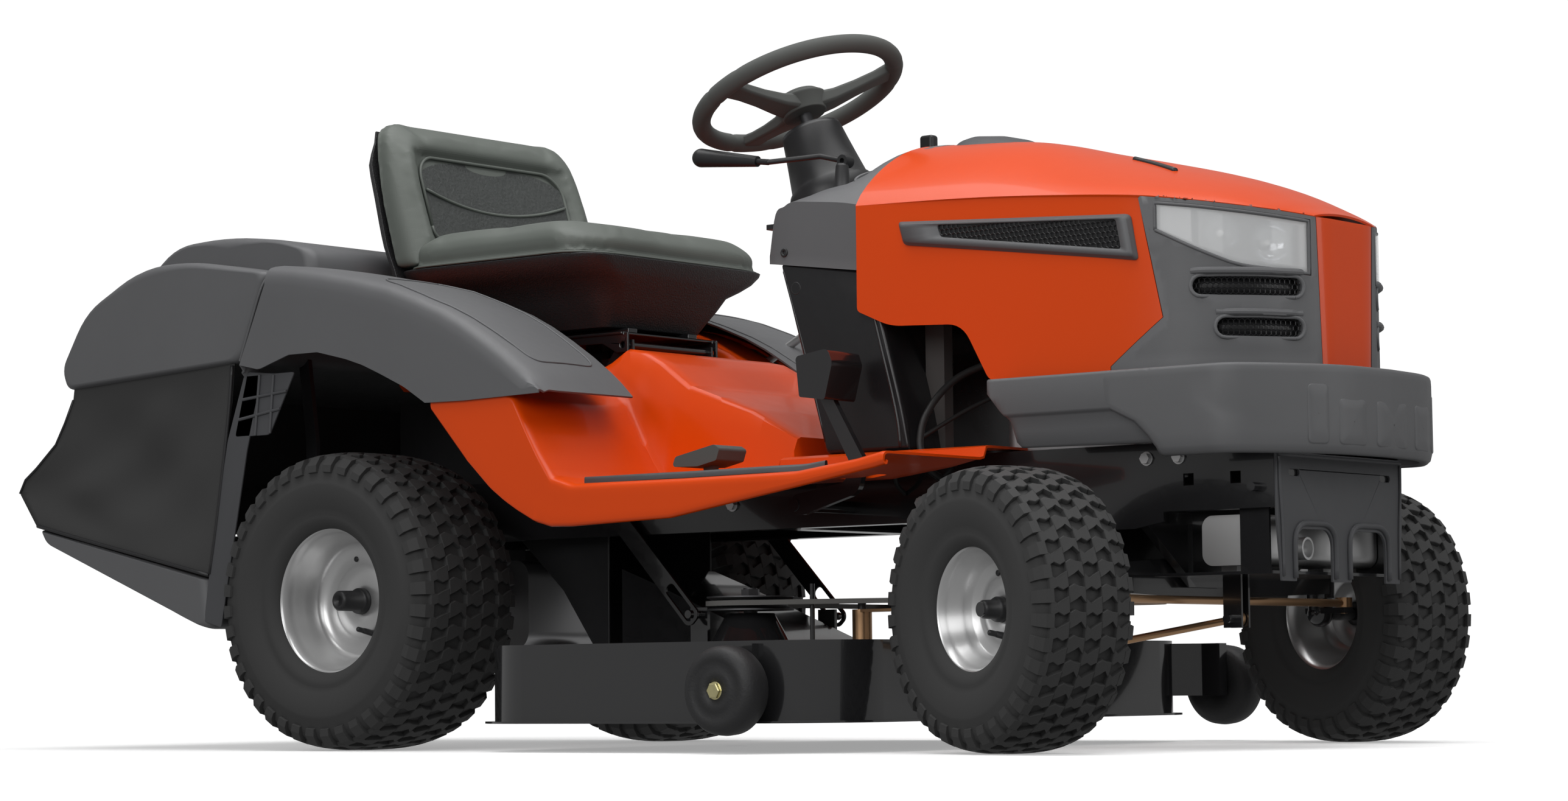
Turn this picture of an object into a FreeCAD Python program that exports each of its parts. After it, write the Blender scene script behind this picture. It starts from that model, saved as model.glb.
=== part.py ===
"""Riding lawn mower with a rear grass collector, built as separate pieces.

Lengths are millimetres. The model is laid out from the rear axle: X forward, Y to the
driver's left, Z up, ground at Z = 0. Before export everything is moved along X, so that
the origin is the bottom centre of the whole machine.
"""
import FreeCAD, Part
import math
import os

V = FreeCAD.Vector

# ---- driving dimensions -------------------------------------------------------------
wheelbase = 1232.0            # rear axle to front kingpins
rear_track_half = 346.0       # machine centre to the middle of a rear tyre
kingpin_half = 344.0          # machine centre to a kingpin
kingpin_offset = 60.0         # kingpin to the middle of a front tyre
rest_steer = -19.0            # front wheels as parked, turned to the right

rear_tyre_radius = 222.0
rear_tyre_width = 208.0
rear_rim_radius = 105.0       # bead seat
rear_flange_radius = 117.0
front_tyre_radius = 184.0
front_tyre_width = 150.0
front_rim_radius = 78.0
front_flange_radius = 90.0

rail_half = 162.0             # outer face of a frame rail
rail_bottom = 313.0
rail_top = 402.0
rail_flange = 30.0
plate = 4.0                   # frame plate thickness
skin = 3.5                    # moulded panels and pressed covers

dash_rear = 678.0             # rear face of the dash at its sides
hood_rear = 846.0             # joint between dash and hood
hood_half_rear = 210.0
hood_half_front = 228.0
hood_nose = wheelbase + 252.0
bumper_half = 258.0
bumper_front = wheelbase + 320.0
bumper_bottom = 380.0
bumper_top = 496.0
hood_bottom = bumper_top + 0.3  # grille stands just above the bumper's ledge
panel_gap = 4.0               # between neighbouring panels
hood_pivot = V(wheelbase + 208.0, 0, 340.0)

column_tilt = 22.5            # steering column, back from upright
steering_centre = V(559.0, 0, 969.0)
steering_radius = 151.0       # rim centre line
steering_tube = 14.0

seat_half = 234.0
seat_front = 335.0
seat_rear = -60.0
seat_seam = 735.0             # joint between pad and shell
seat_back_top = 985.0
seat_pivot = V(300.0, 0, 604.0)

fender_half = 446.0
arch_radius = 356.0
footrest_top = 372.0
footrest_front = wheelbase - 178.0
tunnel_half = 165.0

deck_rear = 296.0
deck_front = wheelbase - 270.0
deck_half = 455.0
deck_corner = 118.0
deck_lip = 40.0
deck_top = 150.0
deck_skin = 3.0
blade_offset = 216.0          # spindle to the machine's centre plane
blade_radius = 232.0
blade_height = 62.0
belt_height = 206.0
pulley_radius = 62.0
crank_x = wheelbase - 112.0
gauge_radius = 60.0
gauge_width = 52.0

collector_half = 436.0
collector_pivot = V(-188.0, 0, 770.0)
running = 0.05                # radial clearance of a turning fit
clear = 0.3                   # gap between surfaces that slide past each other
axle_shaft_radius = 9.5
stub_radius = 9.5
kingpin_radius = 10.0
axle_bottom = front_tyre_radius + 22
axle_top = axle_bottom + 38
tie_height = axle_bottom - 8
steer_arm = 52.0
ball_pin = 5.0
axle_pin_height = axle_bottom + 22

spoke_angles = (-96.0, 47.0, 163.0)
hub_drop = 34.0
shaft_radius = 9.5
sector_reach = 92.0
pinion_radius = 17.0
sector_down = 668.0

frame_rear = -150.0
frame_front = wheelbase + 234.0

hood_pin_radius = 6.0
link_front = V(wheelbase + 112, -62, 172)
link_rear = V(deck_front + 20, -62, 118)
pedal_pivot = V(776, 0, 338)
pedal_shaft = 9.0
lift_pivot = V(250, 0, 352)
arm_pivot = V(336, 0, 352)
lift_shaft = 9.0
drawbar_z = 236.0
hitch_hole = 9.5

upright_y = 300.0
collector_pin = 7.0
chute_half = 120.0

guard_slot_y = 118.0
guard_slot_z = 359.0

crank_radius = 12.5

housing_half = 60.0
housing_top = 178.0

lever_pivot = V(722.0, -96, 842)
throttle_pivot = V(740.0, 128, 838)
key_y = -150.0
key_z = 748.0

hood_arm_y = rail_half + 9

recess = 556.0                # pan floor under the seat
cross = (322.0, 563.7)        # where the tunnel rises above the fender line
cover_cross = (322.4, 564.3)   # the same place on the cover's underside
platform_top = 411.0          # raised floor under the dash tower
lever_slot = (100.0, 306.0)

seat_plate_z = seat_pivot.z + 16

pedal_y = -286.0
travel_pivot = V(660.0, -330, footrest_top + 13)
lift_lever_y = 330.0

outlet_half = 108.0
blade_x = (deck_rear + deck_front) / 2 + 6
spindle_radius = 10.0
gauge_x = {-1: 822.0, 1: 974.0}
gauge_y = 496.0
gauge_z = 84.0
lift_ear_x = deck_rear + 190
lift_ear_z = 194.0
slot_half = 9.5
idler_pivot = V((deck_rear + deck_front) / 2 + 130, -118, belt_height - 16)
idler_pin = 6.0
idler_radius = 36.0

bag_rear = -706.0


# ---- helpers ------------------------------------------------------------------------
def box(x, y, z):
    """Block between (low, high) pairs."""
    return Part.makeBox(x[1] - x[0], y[1] - y[0], z[1] - z[0], V(x[0], y[0], z[0]))


def rod(start, end, radius):
    return Part.makeCylinder(radius, (end - start).Length, start, end - start)


def ring(start, end, outer, inner):
    return rod(start, end, outer).cut(rod(start, end, inner))


def cone(start, end, first, last):
    return Part.makeCone(first, last, (end - start).Length, start, end - start)


def to_plane(plane, u, v, height):
    """A point with in-plane coordinates (u, v) and a height along the plane's normal."""
    if plane == "y":
        return V(u, height, v)
    if plane == "z":
        return V(u, v, height)
    return V(height, u, v)


def rounded_wire(points, radius):
    """Closed loop through the points, its corners rounded where the radius is not 0."""
    radii = radius if isinstance(radius, (list, tuple)) else [radius] * len(points)
    arcs = []
    for i, corner in enumerate(points):
        before = points[i - 1] - corner
        after = points[(i + 1) % len(points)] - corner
        if radii[i] <= 0:
            arcs.append((corner, None, corner))
            continue
        half = before.getAngle(after) / 2
        before = before.normalize()
        after = after.normalize()
        reach = radii[i] / math.tan(half)
        middle = (before + after).normalize() * (radii[i] / math.sin(half) - radii[i])
        arcs.append((corner + before * reach, corner + middle, corner + after * reach))
    edges = []
    for i, (start, middle, end) in enumerate(arcs):
        if middle is not None:
            edges.append(Part.Arc(start, middle, end).toShape())
        following = arcs[(i + 1) % len(arcs)][0]
        if (following - end).Length > 1e-6:
            edges.append(Part.LineSegment(end, following).toShape())
    return Part.Wire(edges)


def prism(plane, outline, low, high, radius=0.0):
    """Outline drawn in a plane and drawn out along the plane's normal."""
    points = [to_plane(plane, u, v, low) for u, v in outline]
    face = Part.Face(rounded_wire(points, radius))
    return face.extrude(to_plane(plane, 0, 0, high - low))


def loft(sections, radius=0.0):
    wires = [rounded_wire(points, radius) for points in sections]
    return Part.makeLoft(wires, True, True)


def mirror(shape):
    return shape.mirror(V(0, 0, 0), V(0, 1, 0))


def both_sides(shape):
    return [shape, mirror(shape)]


def fuse(shapes):
    first = shapes[0]
    return first.multiFuse(shapes[1:]).removeSplitter() if len(shapes) > 1 else first


def largest(shape):
    return max(shape.Solids, key=lambda solid: solid.Volume)


def stretch(side, near, far):
    """Low and high Y of a stretch between two distances from the centre plane."""
    return (min(side * near, side * far), max(side * near, side * far))


def turned(shape, centre, axis, degrees):
    copy = shape.copy()
    copy.rotate(centre, axis, degrees)
    return copy


def rounded(shape, radius, pick):
    """Fillet the edges that the test picks."""
    edges = [edge for edge in shape.Edges if pick(edge)]
    return shape.makeFillet(radius, edges)


def along(edge, axis):
    """True for a straight edge that runs along an axis."""
    if len(edge.Vertexes) != 2:
        return False
    step = edge.Vertexes[1].Point - edge.Vertexes[0].Point
    return step.Length > 1e-6 and abs(step.normalize().dot(axis)) > 0.999


def hex_prism(start, axis, across, length):
    """Hexagon bar from a point, used for bolt heads and nuts."""
    shape = Part.Face(Part.makePolygon([
        V(across / math.sqrt(3) * math.cos(math.pi / 3 * i),
          across / math.sqrt(3) * math.sin(math.pi / 3 * i), 0) for i in range(7)
    ])).extrude(V(0, 0, length))
    turn = FreeCAD.Rotation(V(0, 0, 1), axis)
    shape.Placement = FreeCAD.Placement(start, turn)
    return shape


def bolt(start, axis, across, head, shank, length):
    """Hexagon head with a washer, standing on a face, its shank below the face."""
    washer = rod(start, start + axis * 1.5, across * 0.72)
    body = rod(start - axis * length, start, shank)
    return fuse([washer, body, hex_prism(start + axis * 1.5, axis, across, head)])


def tangent_path(points, factor=0.45):
    """Straight runs joined by tangent arcs. Each arc is as large as its two runs allow."""
    edges = []
    at = points[0]
    radii = []
    for before, corner, after in zip(points, points[1:], points[2:]):
        back = before - corner
        on = after - corner
        turn = math.pi - back.getAngle(on)
        reach = factor * min(back.Length, on.Length)
        radius = reach / math.tan(turn / 2)
        radii.append(round(radius, 1))
        back.normalize()
        on.normalize()
        start = corner + back * reach
        end = corner + on * reach
        middle = corner + (back + on).normalize() * (radius / math.cos(turn / 2) - radius)
        edges.append(Part.LineSegment(at, start).toShape())
        edges.append(Part.Arc(start, middle, end).toShape())
        at = end
    edges.append(Part.LineSegment(at, points[-1]).toShape())
    return Part.Wire(edges), radii


def tube(name, points, radius):
    """Round cord or cable along a route."""
    path, radii = tangent_path(points)
    heading = points[1] - points[0]
    section = Part.Wire(Part.makeCircle(radius, points[0], heading))
    shape = path.makePipeShell([section], True, False)
    return shape


def lathe(profile, centre, axis):
    """Turn an outline of (distance along the axis, radius) points about the axis."""
    points = [V(radius, 0, distance) for distance, radius in profile]
    points.append(points[0])
    shape = Part.Face(Part.makePolygon(points)).revolve(V(0, 0, 0), V(0, 0, 1), 360)
    shape.Placement = FreeCAD.Placement(centre, FreeCAD.Rotation(V(0, 0, 1), axis))
    return shape


# ---- wheels -------------------------------------------------------------------------
def tyre(centre, outward, radius, width, bead, flange):
    """Tyre ring with rounded shoulders. The bead meets the rim with a small gap."""
    half = width / 2
    seat = bead + clear
    profile = [
        (-half * 0.80, seat), (half * 0.80, seat), (half * 0.80, flange + 1),
        (half * 0.97, flange + (radius - flange) * 0.35), (half, radius * 0.80),
        (half * 0.93, radius * 0.93), (half * 0.78, radius * 0.985), (half * 0.55, radius),
        (-half * 0.55, radius), (-half * 0.78, radius * 0.985), (-half * 0.93, radius * 0.93),
        (-half, radius * 0.80), (-half * 0.97, flange + (radius - flange) * 0.35),
        (-half * 0.80, flange + 1),
    ]
    return lathe(profile, centre, outward)


def rim(centre, outward, width, bead, flange, disc, hub_in, hub_out, hub, bore):
    """Pressed steel rim: barrel, dished disc and hub tube. Distances run outward."""
    half = width / 2
    wall = 3.0
    barrel = [
        (-half * 0.80 - 6, flange - wall), (-half * 0.80 - 6, flange), (-half * 0.80 - clear, flange),
        (-half * 0.80 - clear, bead), (-half * 0.35, bead), (-half * 0.25, bead * 0.88),
        (half * 0.25, bead * 0.88), (half * 0.35, bead), (half * 0.80 + clear, bead),
        (half * 0.80 + clear, flange), (half * 0.80 + 6, flange), (half * 0.80 + 6, flange - wall),
        (half * 0.80 - wall, bead - wall), (half * 0.35, bead - wall), (half * 0.22, bead * 0.88 - wall),
        (-half * 0.22, bead * 0.88 - wall), (-half * 0.35, bead - wall),
        (-half * 0.80 + wall, bead - wall),
    ]
    web = [
        (disc, hub - 1), (disc + wall, hub - 1), (disc + wall, hub + 14), (disc - 8, bead * 0.70),
        (disc - 8, bead * 0.87), (disc - 11, bead * 0.87), (disc - 11, bead * 0.68), (disc, hub + 12),
    ]
    centre_tube = [(hub_in, bore), (hub_out, bore), (hub_out, hub), (hub_in, hub)]
    return fuse([lathe(profile, centre, outward) for profile in (barrel, web, centre_tube)])


def hub_cap(centre, outward, at, radius):
    profile = [(at, 0), (at + 17, 0), (at + 16, radius * 0.7), (at + 10, radius), (at, radius)]
    return lathe(profile, centre, outward)


def rear_wheel(side):
    """Tyre and rim on one side. The axle shaft turns with the rim."""
    centre = V(0, side * rear_track_half, rear_tyre_radius)
    outward = V(0, side, 0)
    hub_in, hub_out = -70.0, 52.0
    wheel_rim = rim(centre, outward, rear_tyre_width, rear_rim_radius, rear_flange_radius,
                    18.0, hub_in, hub_out, 24.0, axle_shaft_radius)
    shaft = rod(centre - outward * (rear_track_half - 100), centre + outward * hub_out, axle_shaft_radius)
    cap = hub_cap(centre, outward, hub_out, 21.0)
    name = "right" if side < 0 else "left"
    parts["rear_tyre_" + name] = tyre(centre, outward, rear_tyre_radius, rear_tyre_width,
                                      rear_rim_radius, rear_flange_radius)
    parts["rear_rim_" + name] = [fuse([wheel_rim, shaft]), cap]


def steered(shape, side):
    kingpin = V(wheelbase, side * kingpin_half, 0)
    return turned(shape, kingpin, V(0, 0, 1), rest_steer)


def front_wheel(side):
    """Front tyre, rim, and the elbow spindle that carries them."""
    name = "right" if side < 0 else "left"
    centre = V(wheelbase, side * (kingpin_half + kingpin_offset), front_tyre_radius)
    outward = V(0, side, 0)
    hub_in, hub_out = -34.0, 42.0
    wheel_rim = rim(centre, outward, front_tyre_width, front_rim_radius, front_flange_radius,
                    14.0, hub_in, hub_out, 19.0, stub_radius + running)
    cap = hub_cap(centre, outward, hub_out + 3, 18.0)
    wheel_tyre = tyre(centre, outward, front_tyre_radius, front_tyre_width,
                      front_rim_radius, front_flange_radius)
    parts["front_tyre_" + name] = steered(wheel_tyre, side)
    parts["front_rim_" + name] = [steered(wheel_rim, side), steered(cap, side)]

    pin_foot = V(wheelbase, side * kingpin_half, front_tyre_radius)
    pin = rod(pin_foot, V(wheelbase, side * kingpin_half, axle_top + 9), kingpin_radius)
    stub = rod(pin_foot, centre + outward * (hub_out + 2), stub_radius)
    elbow = Part.makeSphere(19.0, pin_foot)
    collar = rod(pin_foot, V(wheelbase, side * kingpin_half, axle_bottom - clear), 18.0)
    top_nut = rod(V(wheelbase, side * kingpin_half, axle_top + clear),
                  V(wheelbase, side * kingpin_half, axle_top + 9), 15.0)
    arm_end = V(wheelbase + steer_arm, side * kingpin_half, tie_height)
    arm = prism("z", [(wheelbase - 16, side * kingpin_half - 14),
                      (wheelbase + 16, side * kingpin_half + 12),
                      (wheelbase + steer_arm + 9, side * kingpin_half + 8),
                      (wheelbase + steer_arm + 9, side * kingpin_half - 8)],
                tie_height - 14, tie_height - 6)
    hole = rod(arm_end - V(0, 0, 30), arm_end + V(0, 0, 30), ball_pin + running)
    spindle = fuse([pin, stub, elbow, collar, top_nut, arm]).cut(hole)
    parts["spindle_" + name] = steered(spindle, side)


# ---- front axle and steering --------------------------------------------------------


def front_axle():
    """Cast beam that rocks on a centre pin, with a vertical boss for each kingpin."""
    half = kingpin_half
    beam = prism("x", [(-half, axle_bottom + 6), (-90, axle_bottom - 2), (90, axle_bottom - 2),
                       (half, axle_bottom + 6), (half, axle_bottom + 32), (90, axle_bottom + 48),
                       (-90, axle_bottom + 48), (-half, axle_bottom + 32)],
                 wheelbase - 20, wheelbase + 20, [0, 8, 8, 0, 0, 8, 8, 0])
    bosses = [rod(V(wheelbase, s * half, axle_bottom), V(wheelbase, s * half, axle_top), 21.0)
              for s in (-1, 1)]
    body = fuse([beam] + bosses)
    for s in (-1, 1):
        body = body.cut(rod(V(wheelbase, s * half, 0), V(wheelbase, s * half, 400),
                            kingpin_radius + running))
    pivot = rod(V(wheelbase - 30, 0, axle_pin_height), V(wheelbase + 30, 0, axle_pin_height), 11 + running)
    parts["front_axle"] = body.cut(pivot)


def tie_rod():
    """Rod between the two steering arms. Its pin is in the left arm."""
    ends = []
    for side in (-1, 1):
        arm = V(wheelbase + steer_arm, side * kingpin_half, tie_height)
        ends.append(steered(Part.Vertex(arm), side).Vertexes[0].Point)
    pin = rod(ends[1] - V(0, 0, 14.5), ends[1] + V(0, 0, 8), ball_pin)
    eyes = [rod(end - V(0, 0, 6 - clear), end + V(0, 0, 8), 12.0) for end in ends]
    bar = rod(ends[0], ends[1], 5.5)
    parts["tie_rod"] = fuse([bar, pin] + eyes)


def column_axis():
    lean = math.radians(column_tilt)
    return V(-math.sin(lean), 0, math.cos(lean))


def column_point(down):
    """Point on the steering column, a distance below the wheel's centre."""
    return steering_centre - column_axis() * down


def steering():
    up = column_axis()
    forward = V(up.z, 0, -up.x)
    wheel = Part.makeTorus(steering_radius, steering_tube, steering_centre, up)
    pieces = [wheel]
    for angle in spoke_angles:
        turn = math.radians(angle)
        outward = forward * math.cos(turn) + V(0, math.sin(turn), 0)
        across = up.cross(outward)
        inner = column_point(hub_drop) + outward * 20
        outer = steering_centre + outward * steering_radius
        sections = []
        for place, width, thick in ((inner, 26.0, 11.0), (outer, 15.0, 8.0)):
            sections.append([place + across * width - up * thick, place + across * width + up * thick,
                             place - across * width + up * thick, place - across * width - up * thick])
        pieces.append(loft(sections))
    pieces.append(cone(column_point(hub_drop + 26), column_point(hub_drop - 16), 40.0, 36.0))
    wheel = fuse(pieces).cut(rod(column_point(hub_drop + 30), column_point(hub_drop - 4), shaft_radius))
    parts["steering_wheel"] = wheel
    shaft = rod(column_point(sector_down + 44), column_point(hub_drop - 4), shaft_radius)
    pinion = rod(column_point(sector_down + 9), column_point(sector_down - 9), pinion_radius)
    parts["steering_shaft"] = fuse([shaft, pinion])

    hub_place = sector_place()
    disc = rod(hub_place - up * 4, hub_place + up * 4, sector_reach)
    keep = Part.makeCylinder(sector_reach + 1, 8.2, hub_place - up * 4.1, up, 150)
    keep = turned(keep, hub_place, up, 105)
    arm = fuse([rod(hub_place - up * 4, hub_place + up * 4, 24.0), disc.common(keep)])
    arm = arm.cut(rod(hub_place - up * 20, hub_place + up * 20, 8 + running))
    parts["steering_sector"] = arm


def sector_place():
    """Pivot of the steering sector, ahead of the pinion in the column's lower end."""
    up = column_axis()
    return column_point(sector_down) + V(up.z, 0, -up.x) * (sector_reach + pinion_radius + 0.5)


# ---- frame --------------------------------------------------------------------------


def rail():
    """One channel rail, open towards the machine's centre."""
    outer = box((frame_rear, frame_front), (rail_half - rail_flange, rail_half), (rail_bottom, rail_top))
    inner = box((frame_rear - 1, frame_front + 1), (rail_half - rail_flange - 1, rail_half - plate),
                (rail_bottom + plate, rail_top - plate))
    channel = outer.cut(inner)
    for x in (wheelbase + 96, wheelbase + 168):
        channel = channel.cut(box((x, x + 16), (rail_half - plate - 1, rail_half + 1), (346, 362)))
    return channel


def cross_plate(x, low, high, half):
    return box((x, x + plate), (-half, half), (low, high))


def chassis_frame():
    """Welded frame: two rails, cross plates, the axle support and the skid tray."""
    inside = rail_half - plate + 0.5
    pieces = both_sides(rail())
    pieces.append(cross_plate(frame_rear, rail_bottom, rail_bottom + 18, rail_half))
    pieces.append(cross_plate(frame_front - plate, rail_bottom, 384, inside))
    pieces.append(box((290, 450), (-inside, inside), (rail_top - plate, rail_top)))
    pieces.append(box((crank_x - 130, crank_x + 190), (-rail_half, rail_half),
                      (rail_top - plate, rail_top + 2)))
    pieces.append(box((620, 660), (-inside, inside), (rail_bottom, rail_bottom + plate)))
    support_front = wheelbase + 64
    for side in (-1, 1):
        cheek = prism("y", [(wheelbase - 46, rail_bottom + 2), (support_front, rail_bottom + 2),
                            (support_front, 300), (wheelbase + 20, 292), (wheelbase - 46, 292)],
                      side * (rail_half - plate / 2) - plate / 2,
                      side * (rail_half - plate / 2) + plate / 2)
        pieces.append(cheek)
    for x in (wheelbase - 46, wheelbase + 26):
        wall = prism("x", [(-rail_half, rail_bottom + 2), (rail_half, rail_bottom + 2), (rail_half, 296),
                           (46, 216), (-46, 216), (-rail_half, 296)], x, x + 14)
        pieces.append(wall)
    pieces.append(rod(V(wheelbase - 46, 0, axle_pin_height), V(wheelbase + 40, 0, axle_pin_height), 11.0))
    tray_rear = wheelbase + 40
    pieces.append(box((tray_rear, frame_front - 16), (-150, 150), (228, 232)))
    pieces.append(box((tray_rear, tray_rear + plate), (-60, 60), (228, 300)))
    hub = sector_place()
    up = column_axis()
    pieces.append(box((hub.x - 10, hub.x + 70), (-inside, inside), (rail_bottom + 3, rail_bottom + 7)))
    pieces.append(rod(hub - up * 83, hub + up * 8, 8.0))
    foot = column_point(sector_down + 36)
    step = box((foot.x - 26, foot.x + 30), (-inside, inside), (rail_bottom + 3, rail_bottom + 7))
    pieces.append(step.cut(rod(column_point(sector_down), column_point(sector_down + 80),
                               shaft_radius + running)))
    for side in (-1, 1):
        pieces.append(box((frame_front - 60, frame_front - 16), (side * 148 - 2, side * 148 + 2),
                          (228, rail_bottom + 2)))
        pin = rod(V(hood_pivot.x, side * (rail_half - 2), hood_pivot.z),
                  V(hood_pivot.x, side * (hood_arm_y + 6), hood_pivot.z), hood_pin_radius)
        pieces.append(pin)
        hanger = V(link_front.x, link_front.y + side * 9, 0)
        pieces.append(box((link_front.x - 14, link_front.x + 14), (hanger.y - 2, hanger.y + 2),
                          (link_front.z - 12, 230)))
    pieces.append(rod(link_front - V(0, 26, 0), link_front + V(0, 20, 0), 6.0))
    frame = fuse(pieces)
    for side in (-1, 1):
        hole = rod(V(pedal_pivot.x, side * (rail_half - 10), pedal_pivot.z),
                   V(pedal_pivot.x, side * (rail_half + 10), pedal_pivot.z), pedal_shaft + running)
        frame = frame.cut(hole)
        arm_hole = rod(V(arm_pivot.x, side * (rail_half - 10), arm_pivot.z),
                       V(arm_pivot.x, side * (rail_half + 10), arm_pivot.z), lift_shaft + running)
        frame = frame.cut(arm_hole)
    frame = frame.cut(rod(V(lift_pivot.x, rail_half - 10, lift_pivot.z),
                          V(lift_pivot.x, rail_half + 10, lift_pivot.z), lift_shaft + running))
    parts["chassis_frame"] = frame


def rear_frame():
    """Drawbar plate bolted behind the transaxle, with the collector's two uprights."""
    inner = frame_rear
    pieces = [box((inner - plate, inner), (-rail_half, rail_half), (drawbar_z, rail_top))]
    tongue = prism("z", [(inner, -90), (inner, 90), (inner - 30, 90), (inner - 62, 40),
                         (inner - 62, -40), (inner - 30, -90)], drawbar_z, drawbar_z + 5,
                   [0, 0, 12, 20, 20, 12])
    pieces.append(tongue)
    for side in (-1, 1):
        y = side * upright_y
        post = prism("y", [(inner - plate, rail_top), (inner - 26, rail_top), (inner - 26, 470),
                           (collector_pivot.x - 10, 640), (collector_pivot.x - 10, collector_pivot.z),
                           (collector_pivot.x + 10, collector_pivot.z), (collector_pivot.x + 10, 640),
                           (inner - plate, 470)], y - 4, y + 4)
        foot = box((inner - 26, inner - plate + 0.5),
                   (min(side * (rail_half - 20), y + side * 4), max(side * (rail_half - 20), y + side * 4)),
                   (rail_top - 10, rail_top + 20))
        pin = rod(V(collector_pivot.x, y - side * 14, collector_pivot.z),
                  V(collector_pivot.x, y + side * 34, collector_pivot.z), collector_pin)
        eye = rod(V(collector_pivot.x, y - 4, collector_pivot.z),
                  V(collector_pivot.x, y + 4, collector_pivot.z), 10.0)
        pieces += [post, foot, pin, eye]
    frame = fuse(pieces)
    mouth = box((inner - 40, inner + 10), (-chute_half - clear, chute_half + clear), (300, rail_top + 60))
    frame = frame.cut(mouth)
    hole = rod(V(inner - 40, 0, drawbar_z - 5), V(inner - 40, 0, drawbar_z + 10), hitch_hole)
    parts["rear_frame"] = frame.cut(hole)


def guard_plate():
    """Front guard plate with two slots and two rounded openings between its legs."""
    x = frame_front
    outline = [(-162, 384), (162, 384), (162, 300), (152, 218), (-152, 218), (-162, 300)]
    guard = prism("x", outline, x, x + plate)
    for side in (-1, 1):
        window = [(side * 24, 210), (side * 24, 286), (side * 116, 286), (side * 116, 210)]
        guard = guard.cut(prism("x", window, x - 1, x + plate + 1, [0, 22, 22, 0]))
        y = side * guard_slot_y
        slot = box((x - 1, x + plate + 1), (y - 9, y + 9), (guard_slot_z - 4.5, guard_slot_z + 4.5))
        ends = [rod(V(x - 1, y + e * 9, guard_slot_z), V(x + plate + 1, y + e * 9, guard_slot_z), 4.5)
                for e in (-1, 1)]
        guard = guard.cut(fuse([slot] + ends))
    parts["guard_plate"] = guard


# ---- power train --------------------------------------------------------------------
def engine():
    base = rail_top + 2
    block = box((crank_x - 110, crank_x + 120), (-118, 118), (base, 590))
    block = rounded(block, 18, lambda edge: along(edge, V(0, 0, 1)))
    head = box((crank_x + 118, crank_x + 214), (-70, 70), (base + 40, 575))
    fins = [box((crank_x + 130 + 14 * i, crank_x + 136 + 14 * i), (-82, 82), (base + 34, 582))
            for i in range(6)]
    sump = rod(V(crank_x, 0, rail_top - 30), V(crank_x, 0, base), 95)
    well = rod(V(crank_x, 0, rail_top - 36), V(crank_x, 0, base + 1), 96)
    crank = rod(V(crank_x, 0, belt_height - 24), V(crank_x, 0, rail_top), crank_radius)
    parts["engine_block"] = fuse([block, head, sump, crank] + fins)
    parts["chassis_frame"] = parts["chassis_frame"].cut(well)

    shroud = rod(V(crank_x, 0, 590 + clear), V(crank_x, 0, 742), 162)
    shroud = shroud.makeFillet(30, [max(shroud.Edges, key=lambda edge: edge.BoundBox.ZMin)])
    duct = box((crank_x - 10, crank_x + 196), (-96, 96), (590 + clear, 668))
    parts["engine_shroud"] = fuse([shroud, duct])

    pipe_end = V(wheelbase + 150, 90, 300)
    body = box((wheelbase + 112, frame_front - 26), (-144, 144), (240, 306))
    body = rounded(body, 16, lambda edge: along(edge, V(0, 1, 0)))
    outlet = ring(V(frame_front - 30, -60, 262), V(frame_front - 12, -60, 262), 15, 12)
    flange = rod(pipe_end, V(pipe_end.x, pipe_end.y, 340), 16)
    straps = [box((wheelbase + 126, wheelbase + 150), (y - 10, y + 10), (232, 241)) for y in (-110, 110)]
    parts["muffler"] = fuse([body, outlet, flange] + straps)

    tank = box((hood_rear + 34, crank_x - 176), (-176, 176), (600, 748))
    tank = rounded(tank, 14, lambda edge: True)
    saddle = [box((hood_rear + 40, hood_rear + 72), (s * 120 - 10, s * 120 + 10), (platform_top, 602))
              for s in (-1, 1)]
    neck = rod(V(hood_rear + 66, -110, 740), V(hood_rear + 66, -110, 768), 26)
    parts["fuel_tank"] = fuse([tank, neck] + saddle)

    case = box((310, 440), (-92, 92), (rail_top, 540))
    posts = [rod(V(335, s * 60, 540), V(335, s * 60, 556), 9) for s in (-1, 1)]
    parts["battery"] = fuse([rounded(case, 6, lambda edge: along(edge, V(0, 0, 1)))] + posts)

    gearcase = box((-88, 92), (-92, 92), (150, 286))
    gearcase = rounded(gearcase, 26, lambda edge: along(edge, V(0, 1, 0)))
    tubes = rod(V(0, -208, rear_tyre_radius), V(0, 208, rear_tyre_radius), 30)
    hangers = [box((-60, 60), (s * 150 - 6, s * 150 + 6), (rear_tyre_radius, rail_bottom)) for s in (-1, 1)]
    pulley_shaft = rod(V(60, 0, 120), V(60, 0, 152), 9)
    pulley = rod(V(60, 0, 118), V(60, 0, 136), 58)
    bore = rod(V(0, -300, rear_tyre_radius), V(0, 300, rear_tyre_radius), axle_shaft_radius + running)
    parts["transaxle"] = fuse([gearcase, tubes, pulley_shaft, pulley] + hangers).cut(bore)


def drive_pulley():
    """Pulley on the foot of the crankshaft."""
    z = belt_height
    sheave = v_pulley(V(crank_x, 0, z), pulley_radius)
    parts["engine_pulley"] = sheave.cut(rod(V(crank_x, 0, 0), V(crank_x, 0, 400), crank_radius + running))


def v_pulley(centre, radius):
    profile = [(-10, 0), (-10, radius), (-8, radius), (-4, radius - 9), (4, radius - 9),
               (8, radius), (10, radius), (10, 0)]
    return lathe(profile, centre, V(0, 0, 1))


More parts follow.
